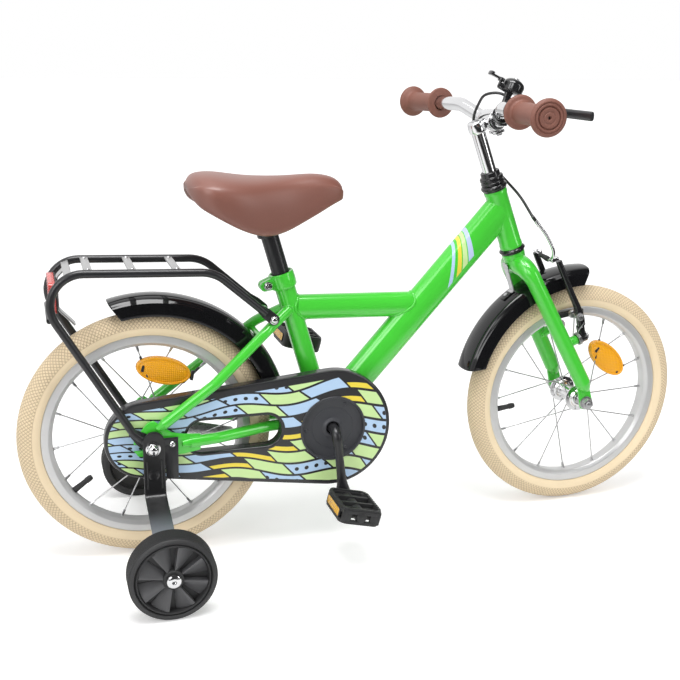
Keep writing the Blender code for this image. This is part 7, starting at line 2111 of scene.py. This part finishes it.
def stabiliser_arm(name, side):
    """The bent strap is a flat outline with round ends, so its side faces stay straight."""
    path = arm_path(side)
    places = [0.0]
    for before, after in zip(path, path[1:]):
        places.append(places[-1] + (after - before).length)
    total = places[-1]
    stations = sorted(set(places + [step * 0.0020 for step in range(9)] + [0.0004, 0.0012]
                          + [total - step * 0.0020 for step in range(9)] + [total - 0.0004, total - 0.0012]))
    rings = []
    for place in stations:
        index = max(i for i in range(len(path) - 1) if places[i] <= place + 1e-9)
        share = (place - places[index]) / (places[index + 1] - places[index])
        point = path[index].lerp(path[index + 1], min(share, 1.0))
        run = (path[index + 1] - path[index]).normalized()
        if 0 < index and share < 0.01:
            run = ((path[index + 1] - path[index]).normalized()
                   + (path[index] - path[index - 1]).normalized()).normalized()
        near = min(place, total - place)
        half = 0.0160 if near > 0.0160 else math.sqrt(max(0.0160 ** 2 - (0.0160 - near) ** 2, 0.0010 ** 2))
        middle = Vector((REAR_HUB.x + 0.0012, point.x, point.y))
        thick_way = Vector((0.0, run.y, -run.x))
        rings.append([middle + AHEAD * (x * half * 2) + thick_way * (y * 0.0035)
                      for x, y in rounded_box(1.0, 1.0, 0.12, 3)])
    shapes = [skin(rings)]
    floor = REAR_HUB + LEFT * (side * (ARM_AT + 0.00175))
    dimple = [(0.0, 0.0012), (0.0050, 0.0011), (0.0078, 0.0004), (0.0090, -0.0004)]
    shapes.append(turned(dimple, floor - UP * 0.0420, LEFT * side, 40, closed=False))
    for x in (-0.0095, 0.0115):
        shapes.append(tube([floor + AHEAD * x - UP * 0.0200, floor + AHEAD * x - UP * 0.0640], 0.0012, 12))
    wheel = outrigger_at(side)
    spindle = wheel + LEFT * (side * 0.0190)
    shapes.append(rod(Vector((wheel.x, side * 0.1880, wheel.z)), spindle, 0.0050, 28))
    shapes.append(hexagon(Vector((wheel.x, side * 0.1905, wheel.z)), Vector((wheel.x, side * 0.1842, wheel.z)), 0.0088))
    piece = show(name, shapes, arm_black_and_painted_reflection, "frame", [name])
    cap = [(0.0, 0.0008), (0.0028, 0.0008), (0.0034, 0.0052), (0.0074, 0.0050), (0.0098, 0.0030), (0.0100, 0.0)]
    at = wheel + LEFT * (side * (OUTRIGGER_HALF + 0.0006))
    show(name + "_cap", [turned(cap, at, LEFT * side, 40, closed=False), rod(at, at - LEFT * (side * 0.0040), 0.0080, 40)],
         chrome, "frame")
    return piece


def stabiliser_wheel(name, side, body):
    at = outrigger_at(side)
    out = LEFT * side
    half = OUTRIGGER_HALF
    tread = []
    for step in range(-5, 6):
        across = step * 0.0028
        tread += [(OUTRIGGER_RADIUS - 0.0016, across - 0.0010), (OUTRIGGER_RADIUS, across - 0.0004),
                  (OUTRIGGER_RADIUS, across + 0.0004), (OUTRIGGER_RADIUS - 0.0016, across + 0.0010)]
    face = [(OUTRIGGER_RADIUS - 0.0022, half - 0.0026), (OUTRIGGER_RADIUS - 0.0056, half - 0.0004),
            (OUTRIGGER_RADIUS - 0.0070, half), (OUTRIGGER_RADIUS - 0.0082, half - 0.0016),
            (0.0530, half - 0.0030), (0.0522, half - 0.0020), (0.0510, half - 0.0002), (0.0498, half - 0.0002),
            (0.0490, half - 0.0020),
            (0.0486, half - 0.0120)]
    hub = [(0.0150, half - 0.0120), (0.0142, half - 0.0022), (0.0130, half - 0.0012), (0.0066, half - 0.0012)]
    far = [(0.0066, -half + 0.0012), (0.0140, -half + 0.0012), (0.0150, -half + 0.0110),
           (0.0470, -half + 0.0110), (0.0490, -half + 0.0006), (0.0540, -half + 0.0004),
           (OUTRIGGER_RADIUS - 0.0030, -half + 0.0026)]
    blades = []
    for index in range(8):
        base = math.radians(index * 45 + 4)
        low = half - 0.0122
        rings = []
        for step in range(9):
            turn = base + math.radians(32) * step / 8
            rise = 0.0092 * min(step / 7, 1.0)
            way = AHEAD * math.cos(turn) + UP * math.sin(turn)
            inner, outer = 0.0148, 0.0482
            rings.append([at + way * inner + out * low, at + way * outer + out * low,
                          at + way * outer + out * (low + 0.0012 + rise), at + way * inner + out * (low + 0.0012 + rise)])
        blades.append(skin(rings))
    show(name, [turned(face + hub + far + tread, at, out, 112)], wheel_rubber, body, [name], 34)
    # Painted light: the ramps belong to the black wheel moulding but take a lighter grey, standing in for the light
    # they catch.
    show(name + "_blades", blades, blade_painted_light, body, sharp=34)


for side, word, body in ((-1, "right", "outrigger_r"), (1, "left", "outrigger_l")):
    stabiliser_lock("stabiliser_lock_" + word, side)
    stabiliser_arm("stabiliser_arm_" + word, side)
    stabiliser_wheel("stabiliser_wheel_" + word, side, body)
print("stabilisers made")

# %% [markdown]
# ## Chain case
#
# The case is two moulded halves. The face has a rolled rim, a slot between the chain's runs that
# the stay passes through, and a printed pattern that only the flat face carries. A dished disc
# with a raised collar closes the hole round the crank.

# %% Mould the chain case
CASE_FRONT_RADIUS = 0.0950
CASE_REAR_RADIUS = 0.0600
CASE_REAR_AT = (-0.0090, 0.0065)
CASE_WALL = 0.0018
CASE_HOLE_RADIUS = 0.0515
SLOT_MIDDLE = ((0.0780 + 0.1750) / 2, 0.0040)
SLOT_LENGTH = 0.0970
SLOT_WIDTH = 0.0500


def case_outline(inset, count=48):
    return belt((BB_AHEAD, -BB_DROP), CASE_FRONT_RADIUS - inset, CASE_REAR_AT, CASE_REAR_RADIUS - inset, count)


def case_wall_rings(outline_at, levels):
    """The rounded edge of the face: each level is (how far in, how far out from the hub's plane)."""
    return [[REAR_HUB + AHEAD * x + UP * z + RIGHT * depth for x, z in outline_at(inset)]
            for inset, depth in levels]


def chain_case():
    rim_edge = CASE_BACK + CASE_WALL + FIT
    bead = [(0.0, CASE_FACE - 0.0058), (0.0, CASE_FACE - 0.0032), (0.0006, CASE_FACE - 0.0014),
            (0.0020, CASE_FACE - 0.0003), (0.0034, CASE_FACE)]
    outside = case_wall_rings(case_outline, [(0.0, rim_edge)] + bead)
    inside = case_wall_rings(case_outline, [(CASE_WALL, CASE_FACE - CASE_WALL), (CASE_WALL, rim_edge)])

    def slot_at(inset):
        return slot_outline(SLOT_LENGTH, SLOT_WIDTH - inset * 2, 28, SLOT_MIDDLE)

    slot_wall = case_wall_rings(slot_at, [(0.0, rim_edge), (0.0, CASE_FACE - 0.0030),
                                          (-0.0006, CASE_FACE - 0.0012), (-0.0016, CASE_FACE - 0.0003),
                                          (-0.0028, CASE_FACE)])
    shapes = [skin(outside, closed=False), skin(slot_wall, closed=False), skin(inside, closed=False)]
    face = plate([case_outline(0.0033), slot_outline(SLOT_LENGTH, SLOT_WIDTH + 0.0056, 28, SLOT_MIDDLE),
                  circle(CASE_HOLE_RADIUS, 80, (BB_AHEAD, -BB_DROP)), circle(0.0105, 40)], CASE_WALL,
                 REAR_HUB + RIGHT * (CASE_FACE - CASE_WALL / 2), AHEAD, UP, 0.0002, 1)
    shapes.append(face)
    show("chain_case_cover", shapes, printed, "frame", ["chain_case_cover"], 30)
    back_at = REAR_HUB + RIGHT * (CASE_BACK + CASE_WALL / 2)
    holes = [slot_outline(SLOT_LENGTH, SLOT_WIDTH, 28, SLOT_MIDDLE), circle(0.0255, 60, (BB_AHEAD, -BB_DROP)),
             circle(0.0200, 48)]
    show("chain_case_back", [plate([case_outline(0.0006)] + holes, CASE_WALL, back_at, AHEAD, UP, 0.0004, 2)],
         guard_black, "frame", ["chain_case_back"])
    hole = CASE_HOLE_RADIUS - FIT
    profile = [(0.0105, -0.0065), (0.0105, -0.0017), (0.0118, -0.0009), (0.0140, -0.0017), (0.0158, -0.0040),
               (0.0175, -0.0047), (0.0330, -0.0047), (0.0334, -0.0043), (0.0338, -0.0047), (0.0480, -0.0047),
               (0.0490, -0.0043), (0.0494, -0.0030), (0.0496, 0.0006), (0.0500, 0.0014), (0.0524, 0.0014),
               (0.0530, 0.0008), (0.0530, 0.0003), (hole, 0.0003), (hole, -0.0065)]
    screws = []
    for degrees in (62, 182, 302):
        at = BOTTOM + direction(degrees) * 0.0420 + RIGHT * (CASE_FACE - 0.0047)
        screws.append(turned([(0.0, 0.0014), (0.0022, 0.0012), (0.0032, 0.0002), (0.0032, -0.0006)], at, RIGHT, 28,
                             closed=False))
    show("chain_case_disc", [turned(profile, BOTTOM + RIGHT * CASE_FACE, RIGHT, 120)] + screws, case_black, "frame",
         ["chain_case_disc"], 34)


chain_case()
print("chain case moulded")

# %% [markdown]
# ## Crank and pedals
#
# The crank is one forging, bent twice, that runs through the bottom bracket and swells into an
# eye at each end. A pedal is a block of hard rubbery plastic on a pin: an outer frame, a barrel,
# cross ribs and an amber reflector let into each long side.

# %% Forge the crank
CRANK_ANGLE = math.radians(-84.2)
CRANK_LENGTH = 0.1020
CRANK_TIP = 0.0775
PEDAL_MIDDLE = 0.1290
PEDAL_TILT = math.radians(-14)
PEDAL_WIDTH = 0.0660
PEDAL_LENGTH = 0.0820
PEDAL_HEIGHT = 0.0260


def crank_out(side):
    turn = CRANK_ANGLE if side < 0 else CRANK_ANGLE + math.pi
    return Vector((math.cos(turn), 0.0, math.sin(turn)))


def crank_rings(side):
    out = crank_out(side)
    across = LEFT.cross(crank_out(-1))
    away = LEFT * side
    stations = [(0.0372, 0.0, 0.0, 0.0220, 0.0220), (0.0380, 0.0, 0.0, 0.0168, 0.0168),
                (0.0388, 0.0, 0.0, 0.0160, 0.0160), (0.0590, 0.0, 0.0, 0.0160, 0.0160)]
    for degrees in range(10, 91, 10):
        turn = math.radians(degrees)
        thick = 0.0160 - 0.0010 * degrees / 90
        stations.append((0.0590 + 0.0130 * math.sin(turn), 0.0130 * (1 - math.cos(turn)), turn, 0.0160, thick))
    for reach, width, thick in ((0.0200, 0.0148, 0.0140), (0.0300, 0.0136, 0.0128), (0.0420, 0.0132, 0.0125),
                                (0.0600, 0.0140, 0.0125), (0.0780, 0.0150, 0.0125), (0.0860, 0.0176, 0.0128),
                                (0.0920, 0.0210, 0.0130), (0.0970, 0.0234, 0.0130), (0.1020, 0.0240, 0.0130),
                                (0.1060, 0.0230, 0.0130), (0.1095, 0.0196, 0.0128), (0.1120, 0.0150, 0.0124),
                                (0.1136, 0.0100, 0.0118), (0.1140, 0.0060, 0.0110)):
        stations.append((0.0720 + 0.0618 * (reach - 0.0130), reach, math.pi / 2, width, thick))
    rings = []
    for outward, reach, turn, width, thick in stations:
        centre = BOTTOM + away * outward + out * reach
        normal = (out * math.cos(turn) - away * math.sin(turn)) * -side
        rings.append(ring_points(centre, across, normal, width, thick, 32))
    return rings


def teeth_outline(teeth, low):
    pitch = 0.0127 / (2 * math.sin(math.pi / teeth))
    tip = pitch - 0.0042 - 0.0006
    points = []
    for index in range(teeth):
        for share, reach in ((0.0, tip), (0.18, tip - 0.0004), (0.36, tip - low * 0.85), (0.5, tip - low),
                             (0.64, tip - low * 0.85), (0.82, tip - 0.0004)):
            turn = 2 * math.pi * (index + share) / teeth
            points.append((reach * math.cos(turn), reach * math.sin(turn)))
    return points


def cranks():
    shapes = [skin(crank_rings(1)[::-1] + crank_rings(-1))]
    for side in (-1, 1):
        eye = BOTTOM + crank_out(side) * CRANK_LENGTH + LEFT * (side * CRANK_TIP)
        shapes.append(rod(eye, eye + LEFT * (side * 0.0860), 0.0045, 28))
        shapes.append(rod(eye + LEFT * (side * 0.0055), eye + LEFT * (side * 0.0096), 0.0070, 32))
        shapes.append(hexagon(eye - LEFT * (side * 0.0058), eye - LEFT * (side * 0.0074), 0.0062))
    at = BOTTOM + RIGHT * CHAINLINE
    shapes.append(rod(BOTTOM + RIGHT * 0.0377, at, 0.0165, 48))
    shapes.append(hexagon(at, at + RIGHT * 0.0038, 0.0140))
    shapes.append(plate([teeth_outline(32, 0.0035)], 0.0030, at, AHEAD, UP, 0.0005, 1))
    show("crank", shapes, satin_black, "cranks", ["crank"])


# %% Mould the pedals
def cage_half(end):
    """Half of the pedal's frame seen from above. The outer half is open below, for its windows."""
    wide = PEDAL_WIDTH / 2
    long = PEDAL_LENGTH / 2
    split = long - 0.0140
    inner = 0.0120
    points = arc((-wide + 0.0120, -long + 0.0120), 0.0120, 180, 270, 8)
    points += arc((wide - 0.0120, -long + 0.0120), 0.0120, 270, 360, 8)
    join = split if end < 0 else -split
    points = [(-wide, join)] + points + [(wide, join), (wide - 0.0060, join)]
    points += arc((wide - inner, -long + inner), 0.0060, 360, 270, 6)
    points += arc((-wide + inner, -long + inner), 0.0060, 270, 180, 6) + [(-wide + 0.0060, join)]
    return points if end < 0 else [(x, -y) for x, y in points]


def pedal(name, side, body):
    middle = BOTTOM + crank_out(side) * CRANK_LENGTH + LEFT * (side * PEDAL_MIDDLE)
    level = Vector((math.cos(PEDAL_TILT), 0.0, math.sin(PEDAL_TILT)))
    above = LEFT.cross(level) * -1
    if above.z < 0:
        above = -above
    out = LEFT * side
    wall = PEDAL_HEIGHT * 0.80
    shapes = [plate([cage_half(-1)], wall, middle, level, out, 0.0014, 3)]
    shapes.append(plate([cage_half(1)], 0.0066, middle + above * (wall / 2 - 0.0033), level, out, 0.0010, 2))
    shapes.append(plate([cage_half(1)], 0.0040, middle - above * (wall / 2 - 0.0020), level, out, 0.0010, 2))
    for place, width in ((-0.0235, 0.0150), (-0.0030, 0.0060), (0.0225, 0.0160)):
        at = middle + level * place + out * (PEDAL_LENGTH / 2 - 0.0032)
        shapes.append(block((width, 0.0052, wall - 0.0010), axes_matrix(at, level, out), 0.0008, 2))
    for lift in (-1, 1):
        lip = [rounded_box(PEDAL_WIDTH - 0.0016, PEDAL_LENGTH - 0.0016, 0.0112, 8),
               rounded_box(PEDAL_WIDTH - 0.0104, PEDAL_LENGTH - 0.0104, 0.0068, 6)]
        shapes.append(plate(lip, 0.0030, middle + above * (lift * (PEDAL_HEIGHT / 2 - 0.0018)), level, LEFT, 0.0009, 2))
    half = PEDAL_LENGTH / 2 - 0.0030
    shapes.append(rod(middle - LEFT * half, middle + LEFT * half, 0.0095, 36))
    for place in (-0.0250, -0.0150, 0.0090, 0.0230):
        if place in (-0.0250, 0.0230):
            size = (PEDAL_WIDTH - 0.0090, 0.0026, PEDAL_HEIGHT - 0.0080)
        else:
            size = (PEDAL_WIDTH - 0.0070, 0.0050, PEDAL_HEIGHT - 0.0034)
        shapes.append(block(size, axes_matrix(middle + LEFT * (side * place), level, LEFT), 0.0007, 2))
    for run in (-1, 1):
        for index in range(9):
            across = -0.0280 + index * 0.0070
            at = middle + level * (run * (PEDAL_WIDTH / 2 - 0.0032)) + LEFT * across
            for lift in (-1, 1):
                shapes.append(block((0.0046, 0.0030, 0.0016),
                                    axes_matrix(at + above * (lift * (PEDAL_HEIGHT / 2 - 0.0006)), level, LEFT),
                                    0.0004, 1))
    show(name, shapes, black_plastic, body, [name])
    lenses = []
    frames = []
    for run in (-1, 1):
        face = middle + level * (run * (PEDAL_WIDTH / 2 + 0.0001)) + LEFT * (side * 0.0020)
        lenses.append(plate([rounded_box(0.0560, 0.0120, 0.0022, 4)], 0.0022, face, LEFT, above, 0.0005, 2))
        frames.append(plate([rounded_box(0.0606, 0.0160, 0.0036, 5), rounded_box(0.0562, 0.0122, 0.0022, 4)], 0.0026,
                            face, LEFT, above, 0.0005, 2))
    show(name + "_reflectors", lenses, amber_lens, body)
    show(name + "_surrounds", frames, black_plastic, body)
    tip = middle + LEFT * (side * PEDAL_LENGTH / 2)
    show(name + "_cap", [turned([(0.0, 0.0018), (0.0062, 0.0016), (0.0078, 0.0004), (0.0080, -0.0010)], tip,
                                LEFT * side, 36, closed=False)], black_plastic, body)


cranks()
pedal("pedal_right", -1, "pedal_r")
pedal("pedal_left", 1, "pedal_l")
print("pedal middle:", PEDAL_MIDDLE)

# %% [markdown]
# ## Saddle and seat post
#
# The saddle is a vinyl cover over soft foam on a moulded pan: broad and crowned at the back, deep
# at the sides and drawn into a narrow nose. It is skinned from cross-sections and smoothed twice,
# which gives the even, stretched surface of a padded cover.

# %% Cover the saddle
SADDLE_AT = on_seat(0.3640)
SADDLE_UNDER = 0.0247
SADDLE_STATIONS = (
    (-0.1112, 0.0180, 0.0345, 0.0215), (-0.1100, 0.0300, 0.0370, 0.0200), (-0.1020, 0.0560, 0.0470, 0.0060),
    (-0.0900, 0.0665, 0.0492, -0.0020), (-0.0760, 0.0720, 0.0500, -0.0100), (-0.0570, 0.0712, 0.0480, -0.0212),
    (-0.0380, 0.0680, 0.0450, -0.0310), (-0.0170, 0.0605, 0.0428, -0.0392), (0.0020, 0.0520, 0.0420, -0.0430),
    (0.0210, 0.0440, 0.0417, -0.0415), (0.0400, 0.0370, 0.0420, -0.0360), (0.0590, 0.0322, 0.0430, -0.0272),
    (0.0780, 0.0290, 0.0440, -0.0180), (0.0940, 0.0270, 0.0428, -0.0096), (0.1080, 0.0245, 0.0400, -0.0020),
    (0.1190, 0.0212, 0.0348, 0.0026), (0.1260, 0.0170, 0.0270, 0.0050), (0.1275, 0.0110, 0.0230, 0.0080),
)


def saddle_ring(ahead, half, top, low):
    under = low + min(SADDLE_UNDER, (top - low) * 0.45)
    upper = [(0.0, top), (half * 0.26, top - 0.0008), (half * 0.50, top - 0.0030), (half * 0.70, top - 0.0068),
             (half * 0.86, top - 0.0130), (half * 0.96, top - (top - low) * 0.30), (half, top - (top - low) * 0.48),
             (half * 0.985, top - (top - low) * 0.76), (half * 0.94, low + 0.0020), (half * 0.86, low),
             (half * 0.78, low), (half * 0.45, under)]
    ring = upper + [(0.0, under)] + [(-across, height) for across, height in reversed(upper[1:])]
    return [SADDLE_AT + Vector((ahead, across, height)) for across, height in ring]


def saddle():
    body = skin([saddle_ring(*station) for station in SADDLE_STATIONS])
    piece = show("saddle", [body], vinyl, "seat", ["saddle"], 180)
    modify(piece, "SUBSURF", "cover", levels=2, render_levels=2)
    return piece


def seat_post():
    low = on_seat(0.0840)
    show("seatpost", [rod(low, on_seat(0.3340), 0.0136, 56, soft=0.0008)], satin_black, "seat", ["seatpost"])
    at = on_seat(0.3140)
    clamp = [(0.0137, 0.0), (0.0175, 0.0), (0.0185, 0.0010), (0.0185, 0.0280), (0.0175, 0.0290), (0.0137, 0.0290)]
    shapes = [turned(clamp, at, SEAT_UP, 56)]
    for side in (-1, 1):
        middle = on_seat(0.3380, 0.0, side * 0.0200)
        shapes.append(rod(middle - AHEAD * 0.0500, middle + AHEAD * 0.0450, 0.0035, 28))
    shapes.append(block((0.0280, 0.0500, 0.0110), axes_matrix(on_seat(0.3370), AHEAD, LEFT), 0.0020))
    show("saddle_clamp", shapes, satin_black, "seat", ["saddle_clamp"])


saddle_piece = saddle()
seat_post()
print("saddle top:", round((SADDLE_AT + UP * 0.05).z, 3))

# %% [markdown]
# ## Hidden parts and the finish of every other node
#
# The chain, its rear sprocket and the bottom bracket lie inside the case, where only slivers of
# them show. They keep the plain shapes of the frame and only get a metal finish.

# %% Give the hidden parts their finish
HIDDEN = ("chain", "rear_sprocket", "bottom_bracket")
for name in HIDDEN:
    node = bpy.data.objects[name]
    node.data.materials.clear()
    node.data.materials.append(zinc.material)
print("plain shapes kept:", ", ".join(HIDDEN))
